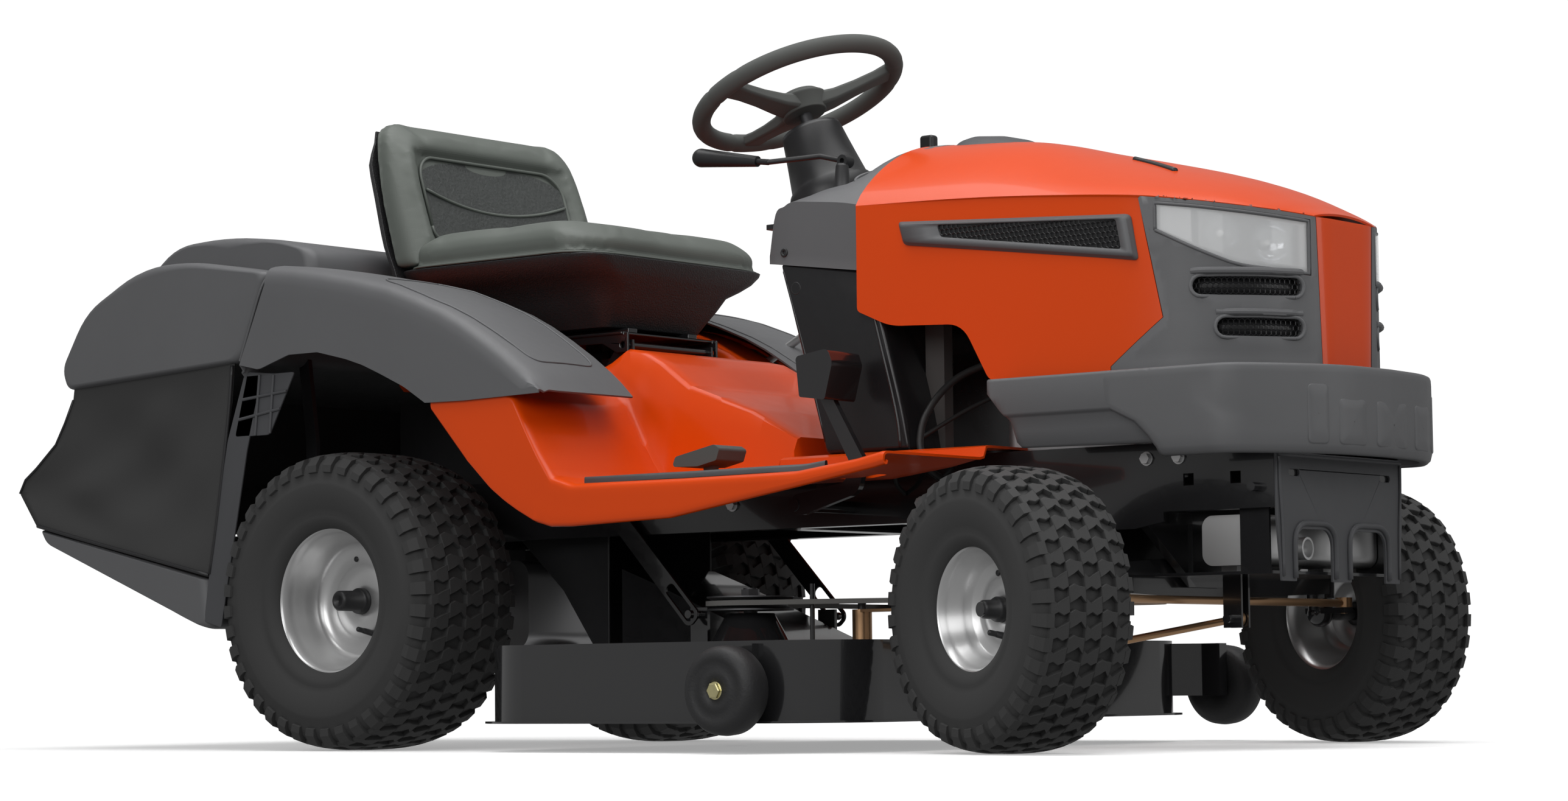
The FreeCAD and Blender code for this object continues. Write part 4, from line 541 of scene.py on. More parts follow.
def vinyl(graph):
    """Smooth seat vinyl with a fine leather grain."""
    grain = graph.cells(520.0, "DISTANCE_TO_EDGE").clip(0.0, 0.25)
    patch = graph.dirt(0.4, 0.75, 5.0)
    base = graph.mix(patch * 0.4, (0.032, 0.035, 0.035), (0.025, 0.028, 0.028))
    graph.set(Base_Color=base, Roughness=0.52 - grain * 0.08 + patch * 0.05, Specular_IOR_Level=0.4)
    graph.bump(grain + graph.noise(1500.0) * 0.3, 0.16, 0.0006)


def grained_vinyl(graph):
    """Inset panel of the seat back with a coarse leather grain."""
    grain = graph.cells(210.0, "SMOOTH_F1")
    fine = graph.cells(600.0, "DISTANCE_TO_EDGE").clip(0.0, 0.2)
    graph.set(Base_Color=graph.mix(grain, (0.03, 0.033, 0.032), (0.052, 0.058, 0.055)),
              Roughness=0.46 - fine * 0.06, Specular_IOR_Level=0.45)
    graph.bump(grain * 1.4 + fine * 0.4, 0.75, 0.0012)


def bag_mesh(graph):
    """Coarse woven mesh: slanting and upright threads over slow creases."""
    slanting = graph.wave(80.0, "DIAGONAL", 0.3)
    upright = graph.wave(60.0, "Z", 0.3)
    thread = slanting * 0.7 + upright * 0.3
    patch = graph.dirt(0.4, 0.8, 3.0)
    base = graph.mix(thread.clip(0.35, 0.8), (0.0, 0.0, 0.0), (0.06, 0.06, 0.062))
    base = graph.mix(patch * 0.3, base, (0.04, 0.04, 0.042))
    crease = graph.noise(7.0, 3.0, 0.55, (1.0, 1.0, 0.4))
    graph.set(Base_Color=base, Roughness=0.5 + patch * 0.1, Sheen_Weight=0.2, Sheen_Roughness=0.4)
    graph.bump(thread * 0.06 + crease, 0.9, 0.03)


def chrome(graph):
    patch = graph.dirt()
    graph.set(Base_Color=graph.mix(patch, (0.5, 0.51, 0.53), (0.4, 0.41, 0.44)), Metallic=1.0,
              Roughness=graph.noise(20.0) * 0.04 + 0.12)
    graph.bump(graph.noise(60.0), 0.03, 0.0004)


def lamp_clear(graph):
    """Clear moulded lens, seen mostly as its edge and a little shine."""
    patch = graph.dirt()
    graph.set(Base_Color=graph.mix(patch, (0.9, 0.93, 0.95), (0.8, 0.83, 0.85)),
              Roughness=patch * 0.03 + 0.03,
              Alpha=patch * 0.04 + 0.1, Specular_IOR_Level=0.6)
    graph.bump(graph.noise(40.0), 0.02, 0.0004)


PLAIN_FINISHES = {
    "black_paint": (paint, (0.012, 0.012, 0.013), 0.2, 0.7),
    "deck_paint": (paint, (0.016, 0.016, 0.017), 0.14, 1.0),
    "silver_paint": (paint, (0.56, 0.56, 0.56), 0.3, 0.35, True),
    "dark_moulding": (moulded, (0.055, 0.056, 0.06), 0.5, 1500.0, 0.2),
    "black_moulding": (moulded, (0.014, 0.014, 0.015), 0.38, 1200.0, 0.2),
    # Smooth black panel that takes a soft reflection.
    "tower_plastic": (moulded, (0.012, 0.012, 0.013), 0.24, 700.0, 0.05),
    # Coarse black moulding, scuffed by the ground.
    "gauge_plastic": (moulded, (0.018, 0.018, 0.019), 0.55, 330.0, 0.7),
    "conduit": (rubber, (0.02, 0.02, 0.02), 0.45, 300.0, 0.15),
    "tyre_rubber": (rubber, (0.013, 0.013, 0.014), 0.6, 260.0, 0.45),
    "soft_rubber": (rubber, (0.032, 0.036, 0.034), 0.46, 900.0, 0.2),
    "cast_metal": (metal, (0.33, 0.33, 0.34), 0.55),
    "dark_steel": (metal, (0.12, 0.12, 0.125), 0.45),
    "bright_steel": (metal, (0.62, 0.62, 0.63), 0.3, (1, 8, 1)),
    "copper_plate": (metal, (0.56, 0.33, 0.22), 0.32, (1, 6, 1), (0.4, 0.3, 0.16)),
    # Dark moulded back of the lamp, seen between the bowls.
    "lamp_back": (moulded, (0.045, 0.045, 0.048), 0.45, 600.0, 0.1),
    "smoked_plastic": (moulded, (0.06, 0.058, 0.056), 0.4, 500.0, 0.1),
    "white_plastic": (moulded, (0.6, 0.6, 0.58), 0.35, 700.0, 0.1),
    "brass_bolt": (metal, (0.72, 0.66, 0.36), 0.3),
}
OWN_FINISHES = (orange_paint, grey_moulding, pebbled, belt_rubber, vinyl, grained_vinyl, bag_mesh, chrome,
                lamp_clear)


def finish_of(name):
    """Material of a finish, made when it is first asked for."""
    if name not in bpy.data.materials:
        recipes = {make.__name__: (make,) for make in OWN_FINISHES}
        make, *values = {**recipes, **PLAIN_FINISHES}[name]
        make(Graph(name), *values)
    return bpy.data.materials[name]


def recoat(node, finish_name, width=0.0):
    """Gives a CAD node a finish, and softens its edges if a width is given."""
    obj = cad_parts[node]
    obj.data.materials.clear()
    obj.data.materials.append(finish_of(finish_name))
    if width:
        modify(obj, "WELD", merge_threshold=1e-5)
        soft_edges(obj, width, 2, 30)
    return obj


# ---- hood, grille, lamps and bumper ----
HOOD_STATIONS = ((826, 209, 757, 862), (1006, 218, 750, 850), (1146, 224, 741, 818), (1300, 228, 727, 780),
                 (1384, 212, 715, 753), (1440, 162, 706, 727), (1468, 110, 701, 712), (1484, 78, 697, 705))
HOOD_FOOT = 496.5
HOOD_REAR = 826
HOOD_SKIN = 3.2
GRILLE_SKIN = 3.0
NOSE_HALF = 64
VENT_SLOT = 25
LAMP_START = 1330
LAMP_END = 1486
LAMP_LOW = ((1324, 676), (1428, 622), (1504, 610))
VENT_HEIGHTS = (602, 548)


def hood_stations(step=8.0):
    """Fine rows of (x, half, shoulder, top) from the rear to the nose."""
    coarse = smooth_path([Vector(row) for row in HOOD_STATIONS], 12)
    table = [tuple(row) for row in coarse]
    xs = [HOOD_REAR + step * i for i in range(int((1380 - HOOD_REAR) / step) + 1)]
    rows = [[x] + along(table, x) for x in xs]
    return rows + [list(row) for row in table if row[0] > 1382]


def nose_path():
    """Plan line of the hood side from the rear round to the centre, as (x, y)."""
    rows = hood_stations()
    return [(row[0], row[1]) for row in rows] + [(1484.5, 60), (1485, 40), (1485, 20), (1485, 0)]


def track(points):
    """Path with its running length, so that a place can be asked for by length."""
    lengths = [0.0]
    for a, b in zip(points, points[1:]):
        lengths.append(lengths[-1] + dist(a, b))
    return points, lengths


def on_track(path, s):
    """(x, y) at length s."""
    points, lengths = path
    s = min(max(s, 0.0), lengths[-1] - 1e-6)
    i = next(k for k in range(len(lengths) - 1) if s < lengths[k + 1])
    share = (s - lengths[i]) / (lengths[i + 1] - lengths[i])
    a, b = points[i], points[i + 1]
    return a[0] + (b[0] - a[0]) * share, a[1] + (b[1] - a[1]) * share


def beside_track(path, reach, s, z, offset, side):
    """Place at length s and height z, moved out from the line, whose direction is taken over the reach."""
    x, y = on_track(path, s)
    ahead, back = on_track(path, s + reach), on_track(path, s - reach)
    dx, dy = ahead[0] - back[0], ahead[1] - back[1]
    size = hypot(dx, dy) or 1.0
    return at(x - dy / size * offset, side * (y + dx / size * offset), z)


def length_at_x(path, x):
    points, lengths = path
    for (a, b), s, t in zip(zip(points, points[1:]), lengths, lengths[1:]):
        if a[0] <= x <= b[0] and b[0] > a[0]:
            return s + (t - s) * (x - a[0]) / (b[0] - a[0])
    return 0.0 if x < points[0][0] else lengths[-1]


def length_at_y(path, y):
    points, lengths = path
    for (a, b), s, t in reversed(list(zip(zip(points, points[1:]), lengths, lengths[1:]))):
        if b[1] <= y <= a[1] and a[1] > b[1]:
            return s + (t - s) * (a[1] - y) / (a[1] - b[1])
    return lengths[-1]


NOSE = track(nose_path())


def on_nose(s, z, offset=0.0, side=1):
    """Place on the hood's wall: s along the plan line from the rear, height z."""
    return beside_track(NOSE, 3, s, z, offset, side)


def near_faces(work, a, b, reach):
    low = (min(a[0], b[0]) - reach, min(a[1], b[1]) - reach)
    high = (max(a[0], b[0]) + reach, max(a[1], b[1]) + reach)
    found = []
    for face in work.faces:
        spot = face.calc_center_bounds()
        if low[0] < spot.x < high[0] and low[1] < spot.y < high[1]:
            found.append(face)
    return found


def point_in(outline, u, v):
    inside = False
    for (ax, ay), (bx, by) in zip(outline, outline[1:] + outline[:1]):
        if (ay > v) != (by > v) and u < (bx - ax) * (v - ay) / (by - ay) + ax:
            inside = not inside
    return inside


def cut_sheet(name, outline, holes, step, mapping, thickness=3.0):
    """Moulded sheet: a flat pattern with holes, laid on a surface and made thick inward."""
    outline = [tuple(p) for p in outline]
    holes = [[tuple(p) for p in hole] for hole in holes]
    us, vs = [p[0] for p in outline], [p[1] for p in outline]
    columns = max(2, int((max(us) - min(us)) / step[0]) + 1)
    rows = max(2, int((max(vs) - min(vs)) / step[1]) + 1)
    du, dv = (max(us) - min(us)) / columns, (max(vs) - min(vs)) / rows
    work = bmesh.new()
    table = [[work.verts.new((min(us) + du * i, min(vs) + dv * j, 0)) for j in range(rows + 1)]
             for i in range(columns + 1)]
    for i in range(columns):
        for j in range(rows):
            work.faces.new((table[i][j], table[i + 1][j], table[i + 1][j + 1], table[i][j + 1]))
    for ring in [outline] + holes:
        for a, b in zip(ring, ring[1:] + ring[:1]):
            if dist(a, b) < 1e-6:
                continue
            faces = near_faces(work, a, b, max(du, dv))
            edges = list({edge for face in faces for edge in face.edges})
            verts = list({vert for face in faces for vert in face.verts})
            bmesh.ops.bisect_plane(work, geom=verts + edges + faces, dist=1e-3, plane_co=(a[0], a[1], 0),
                                   plane_no=(b[1] - a[1], a[0] - b[0], 0))
    doomed = []
    for face in work.faces:
        spot = face.calc_center_median()
        if not point_in(outline, spot.x, spot.y) or any(point_in(hole, spot.x, spot.y) for hole in holes):
            doomed.append(face)
    bmesh.ops.delete(work, geom=doomed, context="FACES")
    bmesh.ops.remove_doubles(work, verts=work.verts, dist=0.05)
    for vert in work.verts:
        vert.co = mapping(vert.co.x, vert.co.y)
    mesh = bpy.data.meshes.new(name)
    work.to_mesh(mesh)
    work.free()
    return thicken(linked(name, mesh, True), thickness)


def thicken(obj, thickness, core=(1200, 0, 600)):
    """Makes a skin thick towards a point inside the piece, so that its outer face stays in place."""
    inside = at(*core)
    outward = sum((face.center - inside).dot(face.normal) * face.area for face in obj.data.polygons)
    modify(obj, "SOLIDIFY", thickness=thickness / 1000, offset=-1.0 if outward > 0 else 1.0)
    return apply_modifiers(obj)


def hood_shoulder(x):
    return along([(row[0], row[2]) for row in HOOD_STATIONS], x)[0]


def lamp_outline():
    """(x, low, high) of the lamp opening."""
    rows = []
    for i in range(13):
        x = LAMP_START + (LAMP_END - LAMP_START) * i / 12
        high = hood_shoulder(x) - 7
        rows.append((x, along(LAMP_LOW, x)[0] + 5, high))
    return rows


def stadium(length, height, steps=8):
    """Slot outline about its middle, as (along, up)."""
    radius = height / 2
    points = []
    for sign, start in ((1, -pi / 2), (-1, pi / 2)):
        for k in range(steps + 1):
            turn = start + pi * k / steps
            points.append((sign * (length / 2 - radius) + radius * cos(turn), radius * sin(turn)))
    return points


def vent_map(s_mid, z_mid, side):
    def mapping(u, v, depth):
        return on_nose(s_mid + u, z_mid + v, depth, side)
    return mapping


def slot_grid(name, mapping, length, height, depth, columns=28):
    """Closed slot-shaped block that follows a curved wall."""
    low_ring, high_ring = depth
    rows = []
    for i in range(columns + 1):
        u = -length / 2 + length * i / columns
        reach = max(length / 2 - abs(u), 0.0)
        radius = height / 2
        half = radius if reach > radius else sqrt(max(radius ** 2 - (radius - reach) ** 2, 0.02))
        rows.append([mapping(u, -half, low_ring), mapping(u, half, low_ring),
                     mapping(u, half, high_ring), mapping(u, -half, high_ring)])
    return ring_solid(name, rows)


def honeycomb(name, mapping, inside, width, height, cell, depth, wire=1.3):
    """Hexagonal mesh on a wall: every whole cell that lies inside the outline."""
    verts, faces = [], []
    across, up = cell * sqrt(3), cell * 1.5
    rows, columns = int(height / up) + 2, int(width / across) + 2
    for i in range(-rows, rows + 1):
        for j in range(-columns, columns + 1):
            u = (j + (0.5 if i % 2 else 0.0)) * across
            v = i * up
            if not inside(u, v):
                continue
            start = len(verts)
            for k in range(6):
                turn = pi / 6 + pi * k / 3
                verts.append(mapping(u + cell * cos(turn), v + cell * sin(turn), depth))
            faces.append(tuple(range(start, start + 6)))
    obj = new_object(name, verts, faces, smooth=False)
    work = bmesh.new()
    work.from_mesh(obj.data)
    bmesh.ops.remove_doubles(work, verts=work.verts, dist=0.0002)
    work.to_mesh(obj.data)
    work.free()
    modify(obj, "WIREFRAME", thickness=wire / 1000, use_even_offset=False, use_boundary=True)
    return apply_modifiers(obj)


def vent_places():
    """(middle length along the wall, height, slot length, side) of the four grille vents."""
    near = length_at_y(NOSE, 96)
    places = []
    for height, far_y in ((VENT_HEIGHTS[0], 214), (VENT_HEIGHTS[1], 198)):
        far = length_at_y(NOSE, far_y)
        for side in (-1, 1):
            places.append(((near + far) / 2, height, near - far, side))
    return places


SEAM = ((HOOD_FOOT, 1262), (503, 1262), (563, 1342), (640, 1326), (722, 1308))


def shoulder_at(s):
    return hood_shoulder(on_track(NOSE, s)[0])


def nose_rows():
    """(length, shoulder height) along the wall, finely."""
    end = NOSE[1][-1]
    return [(end * k / 240, shoulder_at(end * k / 240)) for k in range(241)]


def lamp_ring(grow=0.0):
    """Lamp outline on the wall, as (length, height)."""
    start, end = length_at_x(NOSE, 1333), length_at_y(NOSE, 84)
    low, high = [], []
    for k in range(17):
        s = start + (end - start) * k / 16
        x, _ = on_track(NOSE, s)
        bottom, top = along(lamp_outline(), x)
        low.append((s, bottom - grow))
        high.append((s, top + grow))
    low[0] = (low[0][0] - grow, low[0][1])
    high[0] = (high[0][0] - grow, high[0][1])
    low[-1] = (low[-1][0] + grow, low[-1][1])
    high[-1] = (high[-1][0] + grow, high[-1][1])
    return low + high[::-1]


def build_grille():
    """Grey front moulding with four recessed honeycomb vents, each closed behind its comb by a black block
    of painted shade.
    """
    seam = [(length_at_x(NOSE, x), z) for z, x in SEAM]
    inner_low, inner_high = length_at_y(NOSE, NOSE_HALF), length_at_y(NOSE, NOSE_HALF + 10)
    crest = [(s, z - 1.0) for s, z in nose_rows() if seam[-1][0] < s < inner_high]
    outline = seam + crest + [(inner_high, shoulder_at(inner_high) - 1.0), (inner_low, HOOD_FOOT)]
    pieces, meshes = [], []
    for side in (-1, 1):
        holes = [lamp_ring(1.0)]
        for s, z, length, where in vent_places():
            if where != side:
                continue
            mapping = vent_map(s, z, side)
            holes.append([(s + u, z + v) for u, v in stadium(length, VENT_SLOT, 6)])
            ring = stadium(length + 3, VENT_SLOT + 3)
            pieces.append(pipe("lip", [mapping(u, v, 0.6) for u, v in ring + ring[:1]], 2.6, 10, 0))
            brow = [mapping(u, 19.5, 2.2 if abs(u) < length / 2 - 12 else -2.5)
                    for u in [length * (k / 12 - 0.5) for k in range(13)]]
            pieces.append(pipe("brow", brow, 4.6, 10, 3))

            def inside(u, v, length=length):
                return abs(u) < length / 2 - 5 and abs(v) < 10.5
            meshes.append(honeycomb("comb", mapping, inside, length / 2, 12, 4.4, -4.0, 1.6))
            # A black block closes each vent behind the comb: painted shade for the dark inside the hood.
            meshes.append(slot_grid("back", mapping, length + 2, VENT_SLOT + 2, (-13, -10.5)))
            mouth = stadium(length + 0.5, VENT_SLOT + 0.5, 6)
            wall = [[mapping(u, v, depth) for u, v in mouth] for depth in (0, -4, -11)]
            pieces.append(skin_grid("wall", wall, closed_columns=True))

        def lay(u, v, side=side):
            return on_nose(u, v, 0.0, side)
        pieces.append(cut_sheet("sheet", outline, holes, (9, 12), lay, GRILLE_SKIN))
    grille = join("grille_moulding", pieces)
    soft_edges(grille, 0.0016, 3, 32)
    return grille, join("grille_mesh_and_shade", meshes)


def build_hood_paint():
    """Orange hood: two sides, a crowned top and the strip down the nose."""
    seam = [(length_at_x(NOSE, x) - 1.2, z) for z, x in SEAM]
    rows = hood_stations()
    pieces = []
    corners = [(826.5, 700), (826.5, 609), (886, 584), (1014, 577.5), (1060, HOOD_FOOT), (1200, HOOD_FOOT)]
    foot = rounded_outline(corners, [0, 6, 20, 26, 12, 0], 6)[1:]
    low = [(length_at_x(NOSE, x), z) for x, z in foot]
    top = [(s, z) for s, z in nose_rows() if 1 < s < seam[-1][0]]
    outline = low + seam + [(seam[-1][0], shoulder_at(seam[-1][0]))] + top[::-1] + [(0.5, shoulder_at(0.5))]
    for side in (-1, 1):
        def lay(u, v, side=side):
            rise = (shoulder_at(u) - v) / 160
            tuck = -7.0 * soft_step(1 - rise * 2.2)
            tuck = tuck * soft_step((1310 - HOOD_REAR - u) / 80 + 1) * soft_step(u / 200)
            return on_nose(u, v, tuck * 0.35, side)
        pieces.append(cut_sheet("side", outline, [], (11, 14), lay, HOOD_SKIN))
    grid = []
    for x, half, shoulder, crest in rows:
        line = []
        for k in range(13):
            t = k / 12
            line.append((half * (1 - t ** 1.15), crowned(shoulder, crest, t)))
        grid.append([at(x, y, z) for y, z in line + [(-y, z) for y, z in reversed(line[:-1])]])
    top_piece = skin_grid("top", grid)
    thicken(top_piece, HOOD_SKIN)
    pieces.append(top_piece)
    strip = []
    for k in range(25):
        z = 497 + (696 - 497) * k / 24
        half = 62 + 10 * (z - 490) / 210
        row = []
        for j in range(25):
            y = half * (j / 12 - 1)
            s = length_at_y(NOSE, abs(y)) if abs(y) > 1 else NOSE[1][-1]
            lift = 3.5 * (1 - abs(y / half) ** 8)
            row.append(on_nose(min(s, NOSE[1][-1] - 0.5), z, lift - 0.5, 1 if y >= 0 else -1))
        strip.append(row)
    nose = skin_grid("nose", strip)
    thicken(nose, GRILLE_SKIN)
    pieces.append(nose)
    return soft_edges(join("hood_panel", pieces), 0.003, 3, 30)


HOOD_WALL = [(row[0], row[1]) for row in hood_stations()]


def wall_at(x, z, offset, side):
    half = along(HOOD_WALL, x)[0]
    return at(x, side * (half + offset), z)


WEDGE = ((905, 727), (1296, 702), (1308, 640), (915, 694))


def inset(outline, amount):
    """Outline moved inward by an amount, for a convex outline that turns clockwise."""
    count = len(outline)
    out = []
    for i in range(count):
        before, here, after = Vector(outline[i - 1]), Vector(outline[i]), Vector(outline[(i + 1) % count])
        first, second = (here - before).normalized(), (after - here).normalized()
        normal = Vector((first.y, -first.x)) + Vector((second.y, -second.x))
        normal.normalize()
        grow = amount / max(0.3, normal.dot(Vector((first.y, -first.x))))
        out.append(tuple(here + normal * grow))
    return out


def build_wedges():
    """Grey wedge trims with a dark mesh over a black bed of painted shade, one on each hood side."""
    frames, combs_and_shade = [], []
    outer = rounded_outline(WEDGE, 7, 4)
    middle_ring = rounded_outline(inset(list(WEDGE), 4.0), 6, 4)
    core = [(975, 716.5), (1276, 697), (1284, 656), (981, 699)]
    inner = rounded_outline(core, 5, 4)
    for side in (-1, 1):
        rings = []
        for ring, depth in ((outer, -1.0), (outer, 3.0), (middle_ring, 6.0), (middle_ring, 6.2),
                            (inner, 5.2), (inner, -0.6)):
            rings.append([wall_at(x, z, depth, side) for x, z in ring])
        frames.append(skin_grid("trim", rings, closed_columns=True))
        # A black bed fills the trim's opening behind the mesh: painted shade for the dark inside the vent.
        flat = [wall_at(x, z, 1.5, side) for x, z in inner]
        combs_and_shade.append(new_object("bed", flat, [tuple(range(len(flat)))], smooth=False))
        mid = (1128, 678)

        def mapping(u, v, depth, side=side):
            return wall_at(mid[0] + u, mid[1] + v, depth, side)

        def inside(u, v):
            return point_in(inset(core, 2.0), mid[0] + u, mid[1] + v)
        combs_and_shade.append(honeycomb("comb", mapping, inside, 170, 50, 4.6, 3.2, 1.8))
    return join("hood_side_trims", frames), join("hood_side_mesh_and_shade", combs_and_shade)


def build_hood_trims():
    """Grey cap at the hood's rear, and two black strips laid on its top as painted shade for slots."""
    rows = []
    for x, half, lift in ((880, 46, 0.4), (888, 54, 9), (905, 60, 13), (940, 62, 12), (975, 58, 6),
                          (992, 48, 0.4)):
        crest = along([(r[0], r[3]) for r in HOOD_STATIONS], x)[0]
        row = []
        for k in range(13):
            u = k / 6 - 1
            row.append(at(x, half * u, crest - 9.0 * abs(u * half / 60) ** 1.6 + lift * (1 - abs(u) ** 6)))
        rows.append(row)
    cap = skin_grid("hood_cap", rows)
    slot_shades = []
    # Each slot is a black strip laid on the crowned top: painted shade where the slot's opening would be.
    for side in (-1, 1):
        line = []
        for x, y in ((1196, 62), (1230, 76), (1262, 92), (1290, 108)):
            half, shoulder, crest = along(HOOD_STATIONS, x)
            t = (1 - y / half) ** (1 / 1.15)
            line.append(at(x, side * y, crowned(shoulder, crest, t) + 0.6))
        slot_shades.append(pipe("slot", line, 4.2, 10, 6))
    return cap, join("hood_top_slot_shade", slot_shades)


def build_lamps():
    """Clear lenses over bowls, bulbs and a grey surround."""
    rows = lamp_outline()
    lenses, rims, bowls, bulbs, backs = [], [], [], [], []
    for side in (-1, 1):
        start, end = length_at_x(NOSE, 1332), length_at_y(NOSE, 86)
        grid = []
        for i in range(25):
            s = start + (end - start) * i / 24
            x, _ = on_track(NOSE, s)
            low, high = along(rows, x)
            grid.append([on_nose(s, low + 1.5 + (high - low - 3) * j / 8, -0.6, side) for j in range(9)])
        lens = skin_grid("lens", grid)
        modify(lens, "SOLIDIFY", thickness=0.0022, offset=-1.0 if side < 0 else 1.0)
        lenses.append(apply_modifiers(lens))
        edge = [row[0] for row in grid] + grid[-1][1:]
        edge = edge + [row[-1] for row in reversed(grid[:-1])] + grid[0][1:-1][::-1]
        rims.append(pipe("rim", edge + edge[:1], 2.4, 8, 0))
        for s_share, z, radius in ((0.42, 672, 25), (0.74, 660, 29)):
            s = start + (end - start) * s_share
            mouth = on_nose(s, z, -6, side)
            inward = (on_nose(s, z, -30, side) - mouth).normalized()
            profile = [(0, radius), (3, radius * 0.97), (9, radius * 0.86), (15, radius * 0.66),
                       (19, radius * 0.36), (20, 5), (20, 0.1)]
            bowls.append(lathe("bowl", profile, mouth, inward, 40, closed=False))
            bulbs.append(rod("bulb", mouth + inward * 0.018, mouth + inward * 0.004, 5.0, 20, 0.8))
        back = []
        for i in range(17):
            s = start + (end - start) * (0.02 + 0.96 * i / 16)
            x, _ = on_track(NOSE, s)
            low, high = along(rows, x)
            ripple = 2.0 * sin(i * 2.4)
            back.append([on_nose(s, low + 3 + (high - low - 6) * j / 10, -26 - ripple + 2 * sin(j * 1.7),
                                 side)
                         for j in range(11)])
        backs.append(skin_grid("back", back))
    surround = join("lamp_surround", rims)
    return (join("lamp_lenses", lenses), surround, join("lamp_bowls", bowls), join("lamp_backs", backs),
            join("lamp_bulbs", bulbs))




BUMPER_REAR = 1081
BUMPER_SKIN = 3.0
BUMPER_COLUMNS = 150


def bumper_plan():
    """Half of the bumper's plan line from the side's rear to the front middle."""
    full = [(BUMPER_REAR, 258), (1456, 258), (1490, 214), (1544, 120), (1552, 0)]
    radii = [0, 30, 30, 90, 0]
    ring = rounded_outline(full + [(BUMPER_REAR, 0)], radii + [0], 8)
    ring = [p for p in ring if p != (BUMPER_REAR, 0)]
    return dense_line(ring, 8) + [ring[-1]]


BUMPER = track(bumper_plan())


def on_bumper(s, z, offset=0.0, side=1):
    """Place on the bumper's wall: s along the plan line from the side's rear, height z."""
    return beside_track(BUMPER, 4, s, z, offset, side)


def build_bumper():
    """Front bumper: two side wings with a step, and a front piece that laps over them."""
    total = BUMPER[1][-1]
    wing_low = ((BUMPER_REAR, 476), (1115, 436), (1123, 402), (1322, 399), (1342, 394))
    wing = [(-16, 495.6), (-5, 495.6), (-1.8, 494.2), (-0.8, 491), (-0.8, 470), (-0.8, 448), (-1.6, 445),
            (-5.0, 443.4), (-6.2, 441), (-9.0, 424), (-12.5, 404), (-15.0, 400), (-21.0, 399)]
    objects = []
    for side in (-1, 1):
        grid = []
        for i in range(40):
            x = 1081.5 + (1340 - 1081.5) * i / 39
            low = along(wing_low, x)[0]
            s = length_at_x(BUMPER, x) if i else 0.6
            grid.append([on_bumper(s, max(z, low), depth, side) for depth, z in wing])
        objects.append(thicken(skin_grid("wing", grid), BUMPER_SKIN, (1200, 0, 450)))
    front = [(-16, 495.8), (-5, 495.8), (-2.2, 494.4), (-0.8, 491), (-0.4, 484), (-0.4, 452), (-0.4, 428),
             (-0.6, 408), (-1.2, 392), (-3.0, 384.5), (-7.0, 381), (-18, 380.4)]
    seam = ((380, 1352), (398, 1344), (432, 1308), (440, 1270), (446, 1262), (496, 1258))
    grid = []
    count = BUMPER_COLUMNS
    for i in range(count + 1):
        row = []
        for depth, z in front:
            start = length_at_x(BUMPER, along(seam, z)[0])
            reach = 2 * (total - start)
            place = start + reach * i / count
            side = 1 if place <= total else -1
            s = place if side > 0 else 2 * total - place
            edge = min(i, count - i)
            lift = 0.0 if edge > 1 else -1.4 + 0.7 * edge
            row.append(on_bumper(s, z, depth + lift, side))
        grid.append(row)
    objects.append(thicken(skin_grid("front", grid), BUMPER_SKIN, (1300, 0, 440)))
    pads = []
    for side in (-1, 1):
        for near, far, low, high in ((0.0, 46, 392, 452), (64, 118, 392, 452), (136, 168, 392, 470)):
            a, b = total - near, total - far
            if near == 0.0 and side < 0:
                continue
            if near == 0.0:
                a, b = total + 40, total - 40
            outline = rectangle(b, a, low, high, 7, 4)
            rings = []
            for share, depth in ((1.0, -0.8), (0.985, 1.6), (0.94, 2.2), (0.5, 2.2), (0.02, 2.2)):
                mid = (sum(p[0] for p in outline) / len(outline), sum(p[1] for p in outline) / len(outline))
                ring = []
                for u, v in outline:
                    u, v = mid[0] + (u - mid[0]) * share, mid[1] + (v - mid[1]) * share
                    here = side if u <= total else -side
                    ring.append(on_bumper(u if u <= total else 2 * total - u, v, depth - 1.8, here))
                rings.append(ring)
            pads.append(skin_grid("pad", rings, closed_columns=True))
    return join("bumper_moulding", objects + pads)


# ---- wheels ----
STEER_AXIS = radians(19.0)


def lug_outline(kind):
    """Outline of one tread block as (along the tread, across it), each about one block long."""
    if kind == "left":
        return [(-0.48, -0.5), (-0.12, -0.18), (-0.30, 0.12), (-0.48, 0.5), (0.30, 0.5), (0.46, 0.18),
                (0.34, -0.14), (0.30, -0.5)]
    return [(-0.30, -0.5), (-0.46, -0.16), (-0.30, 0.14), (-0.48, 0.5), (0.34, 0.5), (0.12, 0.2),
            (0.30, -0.12), (0.48, -0.5)]


